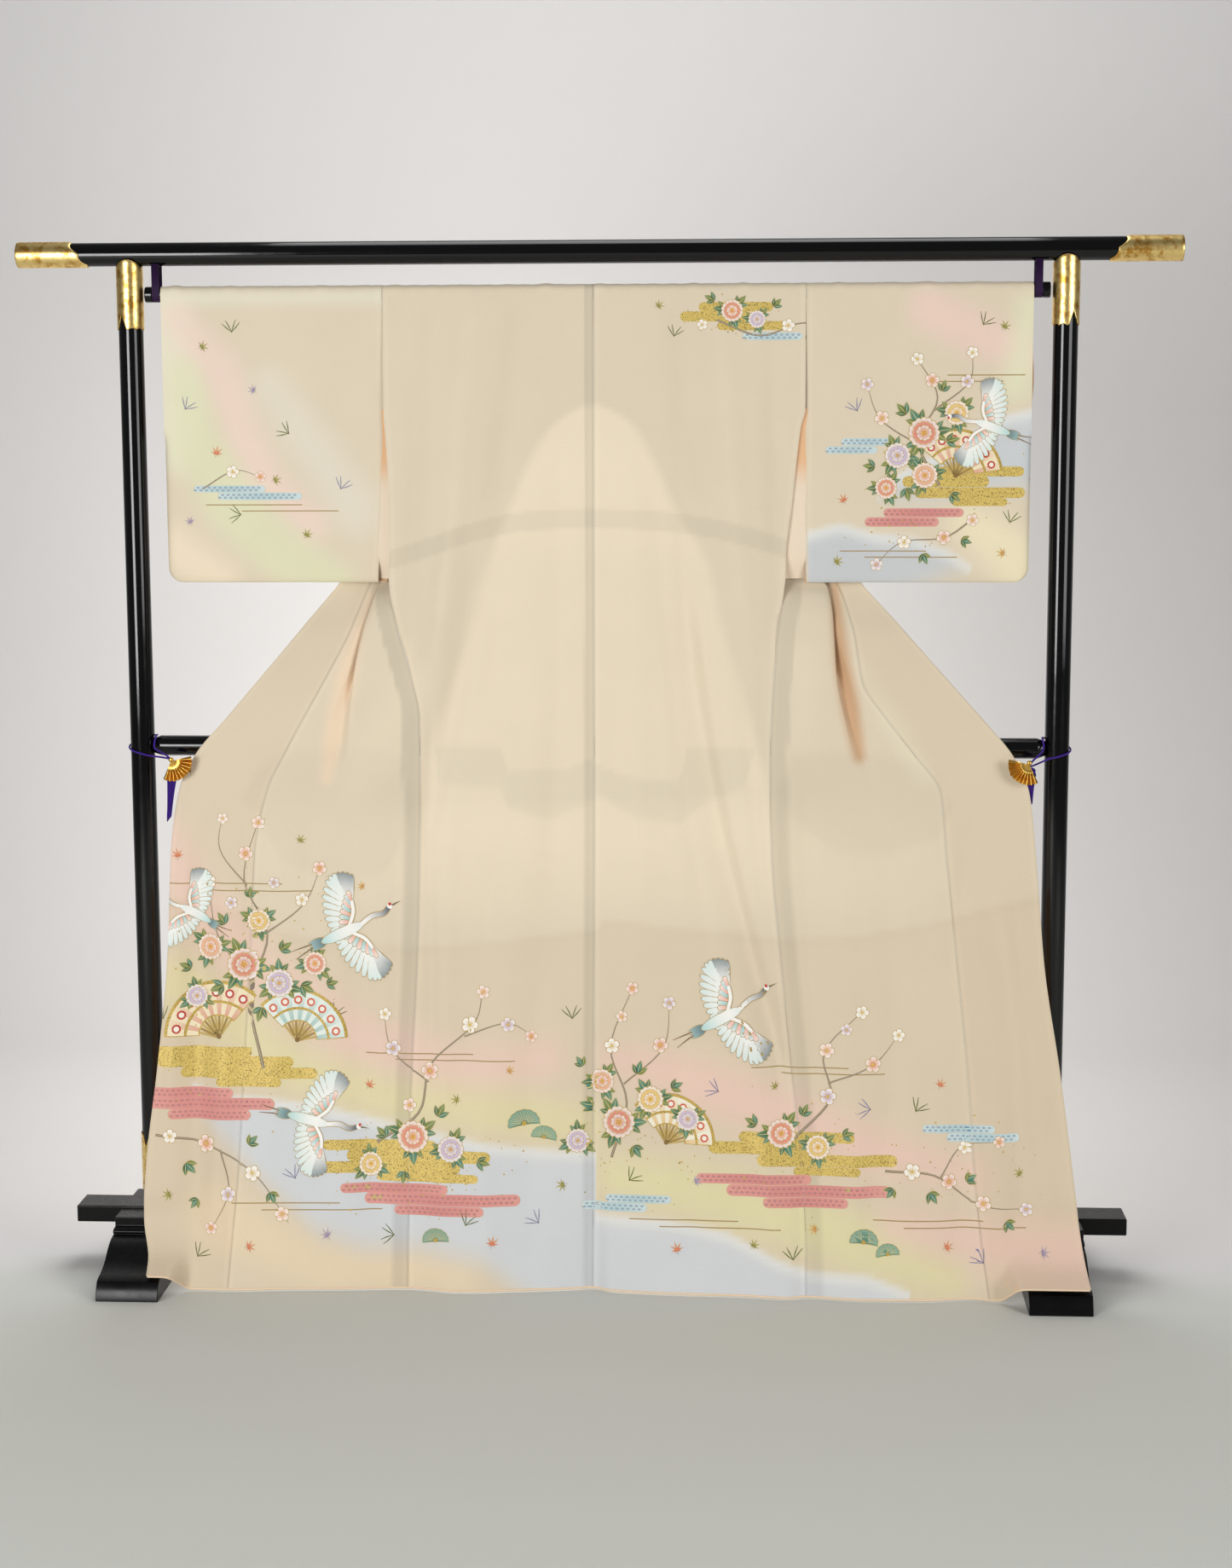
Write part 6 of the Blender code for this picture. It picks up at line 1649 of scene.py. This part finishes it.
class SewCollar(bpy.types.Operator):
    """Fold the collar and its over-collar back behind the front edges, and roll the hem."""

    bl_idname = "kimono.sew_collar"
    bl_label = "Collar and hem"

    def execute(self, context):
        sizes = context.scene.kimono_garment
        count, split = 150, 70
        left, right = (collar_path(side, count) for side in FRONTS)
        cover = collar_grid(np.vstack([left[::-1], right[1:]]))[count - 1 - split:count + split]
        cover[:, :, 1] += 0.03
        for name, grid, node in (("collar_band_left", collar_grid(left)[split + 1:], "collar_left"),
                                 ("collar_band_right", collar_grid(right)[split + 1:], "collar_right"),
                                 ("collar_cover", cover, "over_collar")):
            # Read 200 cm up, clear of every ground and mark, so the collar takes only the painted highlight of the
            # cloth's top over the rod: the cream made 12% lighter.
            outside = silk_colour(grid[..., 0], grid[..., 2] + 200.0, sizes.cream, [])
            facing = normals(grid)[len(grid) // 2, 6, 1] < 0
            obj = keep(sew(name, grid, sizes.collar / CM, facing, silks()[:1], outside)[0], "silk", node)
        self.roll_hem()
        return {"FINISHED"}

    def roll_hem(self):
        """The rolled edge of the lining follows the hem of every panel, one radius below it."""
        runs = []
        for side in FRONTS:
            body, okumi = GRIDS[side]
            for low, above in ((body[0][::-1], body[3][::-1]), (body[-1], body[-4]), (okumi[-1], okumi[-4])):
                down = low - above
                runs.append(low + down / np.linalg.norm(down, axis=1)[:, None] * HEM_ROLL_RADIUS)
        line = np.vstack([np.vstack(runs[:3])[::-1], *runs[3:]])
        length = distance(line)
        path = spread(line, length, np.linspace(0, length[-1], 520))
        padded = np.vstack([path[:1]] * 2 + [path] + [path[-1:]] * 2)
        path = np.column_stack([np.convolve(column, np.ones(5) / 5, mode="valid") for column in padded.T])
        obj = tube("hem_edge", path, HEM_ROLL_RADIUS, silks()[1:])
        paint(obj.data, linear("#f0d6b6"))
        obj.data.uv_layers.new(name="cloth")
        keep(obj, "lining", "hem_roll")


class PaintDesign(bpy.types.Operator):
    """Paint the design on the hanging cloth and lay its gold leaf."""

    bl_idname = "kimono.paint_design"
    bl_label = "Dyed and gilded design"

    def execute(self, context):
        leaf_gold = gold_leaf()
        for name, design, panels in (("hem_left", HEM_DESIGN, ("back_left", "front_left", "okumi_left")),
                                     ("hem_right", HEM_DESIGN, ("back_right", "front_right", "okumi_right")),
                                     ("sleeves", SLEEVE_DESIGN, ("sleeve_left", "sleeve_right"))):
            drawn = draw(design)
            for kind, gold, finish, slot in (("dyed", False, silks()[0], "silk"), ("gilded", True, leaf_gold, "gilt")):
                parts = [lay_on_cloth([one for one in drawn if one[6] == gold], *PANELS[panel]) for panel in panels]
                keep(self.join(f"{kind}_{name}", [part for part in parts if part], finish), slot)
        return {"FINISHED"}

    def join(self, name, parts, finish):
        """One piece from the shapes on several cloths, shaded as the cloth under them is."""
        faces, start = [], 0
        for spot, _, _, own in parts:
            faces += [[i + start for i in face] for face in own]
            start += len(spot)
        spot, normal, colour = (np.vstack([part[i] for part in parts]) for i in range(3))
        first = np.array([face[:3] for face in faces])
        turn = np.cross(spot[first[:, 1]] - spot[first[:, 0]], spot[first[:, 2]] - spot[first[:, 0]])
        behind = (turn * normal[first[:, 0]]).sum(axis=1) < 0
        faces = [face[::-1] if (signed_area(spot[face][:, [0, 2]]) < 0 if len(face) > 3 else back) else face
                 for face, back in zip(faces, behind)]
        obj = new_object(name, spot, faces, [finish])
        paint(obj.data, colour)
        map_cloth(obj.data, spot[:, [0, 2]] * CM)
        obj.data.normals_split_custom_set_from_vertices(normal.tolist())
        return obj


class TurnStand(bpy.types.Operator):
    """Turn the rails, the rod and the uprights, and shape the base."""

    bl_idname = "kimono.turn_stand"
    bl_label = "Rails, uprights and feet"

    def execute(self, context):
        black = [lacquer("black urushi lacquer", 0.07, 0.16, 0.42)]
        dull = [lacquer("rubbed black lacquer", 0.24, 0.36, 0.24)]
        body = RAIL_LENGTH / 2 - 0.45
        profile = rounded([(0, -body), (RAIL_RADIUS, -body), (RAIL_RADIUS, body), (0, body)], 0.15)
        keep(turned("rail_top", profile, (0, 0, RAIL_Z), "x", black), "lacquer", "top_rail")
        reach = UPRIGHT_X - UPRIGHT_RADIUS - GAP
        thin, shoulder = MIDDLE_RAIL_RADIUS * 0.74, reach - 1.2
        profile = rounded([(0, -reach), (thin, -reach), (MIDDLE_RAIL_RADIUS, -shoulder), (MIDDLE_RAIL_RADIUS, shoulder),
                           (thin, reach), (0, reach)], 0.12)
        keep(turned("rail_middle", profile, (0, 0, MIDDLE_RAIL_Z), "x", black), "lacquer", "middle_rail")
        rod = ROD_LENGTH / 2
        knob = [(0, -rod), (KNOB_RADIUS, -rod), (KNOB_RADIUS, KNOB_LENGTH - rod), (ROD_RADIUS, KNOB_LENGTH - rod)]
        profile = rounded(knob + [(r, -h) for r, h in reversed(knob)], 0.18)
        keep(turned("hanging_rod", profile, (0, 0, ROD_Z), "x", black, 64), "lacquer", "rod")
        low, top = BAR_Z[1] + GAP, RAIL_Z - RAIL_RADIUS - GAP
        profile = rounded([(0, low), (UPRIGHT_RADIUS, low), (UPRIGHT_RADIUS, top), (0, top)], 0.06)
        for side, sign in (("left", -1), ("right", 1)):
            keep(turned(f"post_{side}", profile, (sign * UPRIGHT_X, 0, 0), "z", black), "lacquer", f"upright_{side}")
            keep(self.foot(f"stepped_foot_{side}", sign * UPRIGHT_X, dull), "lacquer", f"foot_{side}")
        keep(self.block("foot_bar", (BAR_LENGTH, BAR_DEPTH, BAR_Z[1] - BAR_Z[0]), (0, 0, sum(BAR_Z) / 2), 0.22, dull),
             "lacquer", "base_bar")
        return {"FINISHED"}

    def block(self, name, size, centre, bevel, materials):
        """A plain bar with rounded edges."""
        corner = np.array([(x, y, z) for x in (-0.5, 0.5) for y in (-0.5, 0.5) for z in (-0.5, 0.5)])
        faces = [(0, 1, 3, 2), (4, 6, 7, 5), (0, 4, 5, 1), (2, 3, 7, 6), (0, 2, 6, 4), (1, 5, 7, 3)]
        return self.soften(weld(new_object(name, corner * size + centre, faces, materials)), bevel)

    def foot(self, name, x, materials):
        """A foot: its side profile carried across its width, with the slot that the bar lies in."""
        slot, top = BAR_DEPTH / 2 + GAP, FOOT_PROFILE[-1][1]
        notch = [(-slot, top), (-slot, BAR_Z[0] - GAP), (slot, BAR_Z[0] - GAP), (slot, top)]
        loop = np.array([(-y, z) for y, z in FOOT_PROFILE] + notch + FOOT_PROFILE[::-1])
        count = len(loop)
        verts = np.vstack([np.column_stack([np.full(count, x + s * FOOT_WIDTH / 2), loop]) for s in (-1, 1)])
        k = np.arange(count)
        after = (k + 1) % count
        faces = np.stack([k, after, after + count, k + count], 1).tolist() + [k.tolist(), (k[::-1] + count).tolist()]
        return self.soften(weld(new_object(name, verts, faces, materials)), 0.14)

    def soften(self, obj, bevel):
        """Rounded edges with flat faces kept flat."""
        edge = obj.modifiers.new("Rounded edges", "BEVEL")
        edge.width = bevel * CM
        edge.segments = 4
        edge.limit_method = "ANGLE"
        edge.angle_limit = math.radians(28)
        edge.harden_normals = True
        return obj


def from_front(angle, aside=0.0):
    """Angle round a post from its front, or from a line beside that, between -pi and pi."""
    return (angle + np.pi / 2 - aside + np.pi) % (2 * np.pi) - np.pi


class FitGilt(bpy.types.Operator):
    """Fit the gilt sleeves and ends, with their shaped edges."""

    bl_idname = "kimono.fit_gilt"
    bl_label = "Gilt fittings"

    def execute(self, context):
        settings = context.scene.kimono_stand
        gold = [gilt("gilt sheet brass", settings.gold, settings.polish)]
        angle = np.linspace(0, 2 * np.pi, SHEET_STEPS, endpoint=False)
        front = from_front(angle)
        # Round lobes between the notches, as waves round the post
        lobes = LOBE * np.abs(np.sin(5 * front))
        # Upper edge of the top sleeve: a low arch up over the rail in front and behind
        away = np.minimum(np.abs(front), np.pi - np.abs(front))
        crest = TOP_SLEEVE_Z[1] - 0.05 + 1.15 * np.clip(1 - (away / 1.2) ** 2, 0, 1)
        # Inner edge of a rail end: long above and below, with lobes between
        mouth = RAIL_LENGTH / 2 - RAIL_END_LENGTH + 0.3 + 1.5 * np.sin(angle) + 0.5 * np.abs(np.sin(3 * angle))
        radii = (UPRIGHT_RADIUS + GILT_FIT, UPRIGHT_RADIUS + GAP + GILT_WALL)
        end_radii = (RAIL_RADIUS + GILT_FIT, RAIL_RADIUS + GAP + RAIL_END_WALL)
        for side, sign in (("left", -1), ("right", 1)):
            centre = (sign * UPRIGHT_X, 0, 0)
            # A stepped notch at the sleeve's seam, which faces outwards, and one behind it, pointed at the top
            seam = np.abs(from_front(angle, sign * 0.54))
            share = np.clip(1 - np.minimum(seam, np.pi - seam) / 0.36, 0, 1)
            notch = 0.75 * share**0.6 + 0.25 * (share > 0.5) * (2 * share - 1)
            keep(metal_sleeve(f"post_cap_{side}", radii, TOP_SLEEVE_Z[0] + lobes + 2.2 * notch, crest, centre, "z",
                              gold), "gilt", f"upright_cap_{side}")
            keep(metal_sleeve(f"post_shoe_{side}", radii, SHOE_Z[0], SHOE_Z[1] - lobes - 2.4 * notch, centre, "z",
                              gold), "gilt", f"upright_shoe_{side}")
            keep(metal_sleeve(f"rail_tip_{side}", end_radii, mouth, RAIL_LENGTH / 2 - 0.07, (0, 0, RAIL_Z), "x", gold,
                              sign, cap=0.36), "gilt", f"rail_end_{side}")
        return {"FINISHED"}


class HangClips(bpy.types.Operator):
    """Hang the straps, the fan clips, their ties and tassels."""

    bl_idname = "kimono.hang_clips"
    bl_label = "Clips, ties and straps"

    def execute(self, context):
        purple = [braid("purple silk braid", "#26105c", "#4c22a2")]
        dark = [braid("dark purple woven strap", "#1a0725", "#341345")]
        brass = [gilt("polished gilt brass", "#dcb25a", 0.3, 0.05)]
        for side, (pivot, sign) in CLIPS.items():
            keep(self.strap(f"rod_strap_{side}", sign, dark), "braid", f"strap_{side}")
            keep(self.fan(f"fan_{side}", pivot, sign, brass), "gilt", f"fan_clip_{side}")
            keep(self.jaw(f"fan_jaw_{side}", pivot, sign, brass), "gilt", f"clip_jaw_{side}")
            keep(tube(f"tie_{side}", self.tie(side, pivot, sign), CORD_RADIUS, purple, sides=10, closed=True), "braid",
                 f"tie_cord_{side}")
            keep(self.tassel(f"tassel_threads_{side}", side, purple), "braid", f"tassel_{side}")
        return {"FINISHED"}

    def strap(self, name, sign, materials):
        """A flat strap: fixed along the underside of the rail, with straight sides down to an arc under the
        rod."""
        high, low = RAIL_RADIUS + GAP + STRAP_WALL / 2, ROD_RADIUS + GAP + STRAP_WALL / 2
        loop = np.vstack([arc(high, np.radians(-52), np.radians(-128), 24) + [0, RAIL_Z],
                          arc(low, np.pi, 2 * np.pi, 30) + [0, ROD_Z]])
        across = np.linspace(-0.5, 0.5, 7)[:, None] * STRAP_WIDTH
        grid = np.stack(np.broadcast_arrays(sign * STRAP_X + across, loop[:, 0], loop[:, 1]), axis=2)
        return weld(sew(name, grid, STRAP_WALL, False, materials, closed=True)[0])

    def fan(self, name, pivot, sign, materials):
        """A folding fan: pleats whose depth grows outwards from a plain plate, with a raised rim, and a boss."""
        count = FAN_PLEATS * 12 + 1
        turn = np.radians(np.linspace(*FAN_SPAN, count))
        zigzag = np.abs(np.linspace(0, FAN_PLEATS, count) % 1 - 0.5) * 4 - 1
        radius, depth, out = np.array(FAN_RINGS).T[..., None]
        r = radius * (1 - 0.012 * (zigzag + 1) * (radius > 3.35))
        grid = np.stack([pivot - sign * r * np.cos(turn), FAN_Y - out + depth * zigzag, FAN_Z - r * np.sin(turn)], 2)
        c, s = circle(32)
        ball = np.linspace(0, np.pi, 17)[:, None]
        boss = np.stack(np.broadcast_arrays(pivot + 0.02 * sign + 0.42 * np.sin(ball) * c,
                                            FAN_Y - 0.12 + 0.30 * np.cos(ball),
                                            FAN_Z + 0.22 + 0.42 * np.sin(ball) * s), axis=2)
        made = sew(name, grid, FAN_WALL, sign > 0, materials)[0]
        keep(weld(new_object(name + "_boss", boss.reshape(-1, 3), grid_quads(17, 32, closed=True), materials)), "gilt")
        return made

    def jaw(self, name, pivot, sign, materials):
        """The clip's jaw: a bent spring plate from the back of the fan to the cloth."""
        curve = through([(FAN_Y + 0.16, 86.25), (-4.5, 86.3), (-4.0, 86.2), (-3.7, 85.9), (-3.62, 85.3),
                         (-3.7, 84.95)], 8)
        across = pivot - sign * 2.4 + np.linspace(-0.5, 0.5, 5)
        return sew(name, np.stack(np.broadcast_arrays(across, curve[:, :1], curve[:, 1:]), axis=2), 0.09, False,
                   materials)[0]

    def tie(self, side, pivot, sign):
        """A tie: from the clip in front of the upright, round it and back over the middle rail's end."""
        reach = UPRIGHT_RADIUS + 0.18 + 2 * GAP
        near, hook = abs(pivot), FAN_Y + 0.05 + 0.18 + 3 * GAP
        turns = np.arange(12)
        angle = np.radians(-100 + 22.5 * turns)
        route = [(near - 0.1, hook, FAN_Z + 0.15), TIE_BEND[side], (UPRIGHT_X - 1.6, -2.75, 87.6)]
        route += list(zip(UPRIGHT_X + reach * np.cos(angle), reach * np.sin(angle), 87.8 + 0.25 * turns))
        route += [(UPRIGHT_X - d, y, z) for d, y, z in TIE_RETURN]
        route += [(near + 1.0, -3.9, 87.75), (near - 0.05, hook + 0.02, FAN_Z - 0.15)]
        return through(np.array(route) * [sign, 1, 1], 6, closed=True)

    def tassel(self, name, side, materials):
        """A tassel: tapered threads from the underside of a flattened head that draw in towards the tips."""
        x, y, lean, length = TASSELS[side]
        low, top = TASSEL_Z
        rng = np.random.default_rng(11 if side == "left" else 12)
        u, v = (a.ravel()[:, None] for a in np.meshgrid(*((np.arange(n) + 0.5) / n * 2 - 1 for n in STRANDS)))
        t = np.linspace(0, 1, 12)
        drop = length - (top - low)
        reach = 1 - 0.10 * rng.random(u.shape) ** 2 - 0.05 * (u + 1)
        taper = 1 - 0.58 * t**0.8
        px = x + 0.92 * u * np.sqrt(1 - v * v / 2) * taper + lean * drop * t + 0.03 * np.sin(5 * t + 9 * u)
        py = y + 0.36 * v * np.sqrt(1 - u * u / 2) * taper + 0.02 * np.cos(6 * t + 7 * v)
        pz = low + 0.1 - (drop + 0.1) * t * reach
        size = 0.045 * (1 - 0.35 * t)[:, None]
        ring = np.radians([45, 135, 225, 315])
        grid = np.stack(np.broadcast_arrays(px[..., None] + size * np.cos(ring), py[..., None] + size * np.sin(ring),
                                            pz[..., None]), axis=3)
        corners = np.vstack([grid_quads(12, 4, closed=True), [47, 46, 45, 44], [0, 1, 2, 3]])
        threads = (np.arange(len(u)) * 48)[:, None, None]
        faces = np.vstack([(corners[:-2] + threads).reshape(-1, 4), (corners[-2] + threads).reshape(-1, 4),
                           (corners[-1] + threads).reshape(-1, 4)])
        c, s = circle(32)
        r, h = np.array(HEAD_PROFILE).T[..., None]
        head = np.stack(np.broadcast_arrays(x + 0.8 * r * c, y + 0.36 * r * s, low + h * (top - low) / 1.2), axis=2)
        head_faces = grid_quads(len(HEAD_PROFILE), 32, closed=True) + grid.size // 3
        return weld(new_object(name, np.vstack([grid.reshape(-1, 3), head.reshape(-1, 3)]),
                               np.vstack([faces, head_faces]), materials))


def aimed(name, data, place, side, back):
    """A lamp or a camera at a place, from its right and from the way behind it."""
    obj = bpy.data.objects.new(name, data)
    bpy.context.scene.collection.objects.link(obj)
    basis = np.eye(4)
    basis[:3] = np.column_stack([side, np.cross(back, side), back, place])
    obj.matrix_world = Matrix(basis.tolist())
    return obj


class SetStudio(bpy.types.Operator):
    """Set the floor, the backdrop, the lights and the camera."""

    bl_idname = "kimono.set_studio"
    bl_label = "Floor, light and camera"

    def execute(self, context):
        settings = context.scene.kimono_studio
        self.cove(settings)
        self.light("key light", (-2.3, -4.3, 1.35), (0.0, 0.0, 0.9), 1.7, settings.key)
        self.light("fill light", (3.4, -3.0, 1.7), (0.0, 0.0, 0.8), 2.0, settings.fill)
        self.light("top light", (0.0, 0.5, 4.2), (0.0, 0.1, 0.2), 2.0, settings.top)
        self.light("backdrop light", (-0.5, 0.8, 1.85), (-0.4, 2.4, 1.75), 1.5, settings.back)
        self.light("low backdrop light", (-0.2, 0.85, 1.3), (-0.2, 1.3, 0.0), 1.3, settings.low)
        world = bpy.data.worlds.new("even room light")
        world.use_nodes = True
        connect(world.node_tree.nodes["Background"], {"Color": "#f4f6fa", "Strength": settings.sky})
        context.scene.world = world
        data = bpy.data.cameras.new("viewing camera")
        data.sensor_fit = "VERTICAL"
        data.sensor_height = SENSOR_HEIGHT
        data.lens = FOCAL_HEIGHTS * SENSOR_HEIGHT
        yaw, pitch, roll = np.radians(CAMERA_TURN)
        forward = np.array([-np.sin(yaw) * np.cos(pitch), np.cos(yaw) * np.cos(pitch), -np.sin(pitch)])
        right = np.cross(forward, [0, 0, 1])
        right /= np.linalg.norm(right)
        side = right * np.cos(roll) + np.cross(right, forward) * np.sin(roll)
        context.scene.camera = aimed("viewing camera", data, CAMERA_PLACE, side, -forward)
        context.scene.view_settings.view_transform = "Standard"
        return {"FINISHED"}

    def cove(self, settings):
        """Floor and backdrop as one sheet: a level, a quarter circle and an upright. It can't be seen from
        behind, so the stand can be looked at from there."""
        turn = np.linspace(0, np.pi / 2, 25)
        y = np.concatenate([[-9.0, -4.0, -1.0], COVE_Y - COVE_RADIUS + COVE_RADIUS * np.sin(turn), [COVE_Y, COVE_Y]])
        z = np.concatenate([[0, 0, 0], COVE_RADIUS - COVE_RADIUS * np.cos(turn), [3.0, 7.0]])
        grid = np.stack(np.broadcast_arrays(np.linspace(-9, 9, 19), y[:, None], z[:, None]), axis=2) / CM
        made, tree, shader = material("painted studio paper", {"Roughness": 0.85})
        place = add_node(tree, "ShaderNodeTexCoord")
        apart = add_node(tree, "ShaderNodeSeparateXYZ", {"Vector": place.outputs["Object"]})
        paper = add_node(tree, "ShaderNodeMapRange", {"Value": apart.outputs["Y"], "From Min": -0.14, "From Max": 0.04})
        mix = add_node(tree, "ShaderNodeMix", {"Factor": paper.outputs["Result"], "A": settings.floor,
                                               "B": settings.wall}, data_type="RGBA")
        connect(shader, {"Base Color": mix.outputs["Result"]})
        away = add_node(tree, "ShaderNodeNewGeometry")
        clear = add_node(tree, "ShaderNodeBsdfTransparent")
        shown = add_node(tree, "ShaderNodeMixShader", {0: away.outputs["Backfacing"], 1: shader.outputs["BSDF"],
                                                       2: clear.outputs["BSDF"]})
        connect(tree.nodes["Material Output"], {"Surface": shown.outputs["Shader"]})
        new_object("studio_cove", grid.reshape(-1, 3), grid_quads(*grid.shape[:2]), [made])

    def light(self, name, place, target, size, power):
        """A square soft light that looks at a point."""
        data = bpy.data.lights.new(name, "AREA")
        data.size = size
        data.energy = power
        back = np.array(place) - np.array(target)
        back /= np.linalg.norm(back)
        side = np.cross([0, 0, 1], back)
        aimed(name, data, place, side / np.linalg.norm(side), back)


STEPS = (SewBody, SewSleeves, SewCollar, PaintDesign, TurnStand, FitGilt, HangClips, SetStudio)


class KimonoPanel(bpy.types.Panel):
    """Buttons for each step."""

    bl_idname = "VIEW3D_PT_kimono"
    bl_label = "Kimono on its stand"
    bl_space_type = "VIEW_3D"
    bl_region_type = "UI"
    bl_category = "Kimono"

    def draw(self, context):
        for step in STEPS:
            self.layout.operator(step.bl_idname)
        for group in (context.scene.kimono_garment, context.scene.kimono_stand, context.scene.kimono_studio):
            for name in group.__annotations__:
                self.layout.prop(group, name)


CLASSES = (GarmentSizes, StandSizes, StudioSettings, *STEPS, KimonoPanel)


def register():
    for cls in CLASSES:
        bpy.utils.register_class(cls)
    bpy.types.Scene.kimono_garment = bpy.props.PointerProperty(type=GarmentSizes)
    bpy.types.Scene.kimono_stand = bpy.props.PointerProperty(type=StandSizes)
    bpy.types.Scene.kimono_studio = bpy.props.PointerProperty(type=StudioSettings)


def unregister():
    del bpy.types.Scene.kimono_studio
    del bpy.types.Scene.kimono_stand
    del bpy.types.Scene.kimono_garment
    for cls in reversed(CLASSES):
        bpy.utils.unregister_class(cls)


def main():
    register()
    for step in STEPS:
        group, name = step.bl_idname.split(".")
        getattr(getattr(bpy.ops, group), name)()


if __name__ == "__main__":
    main()
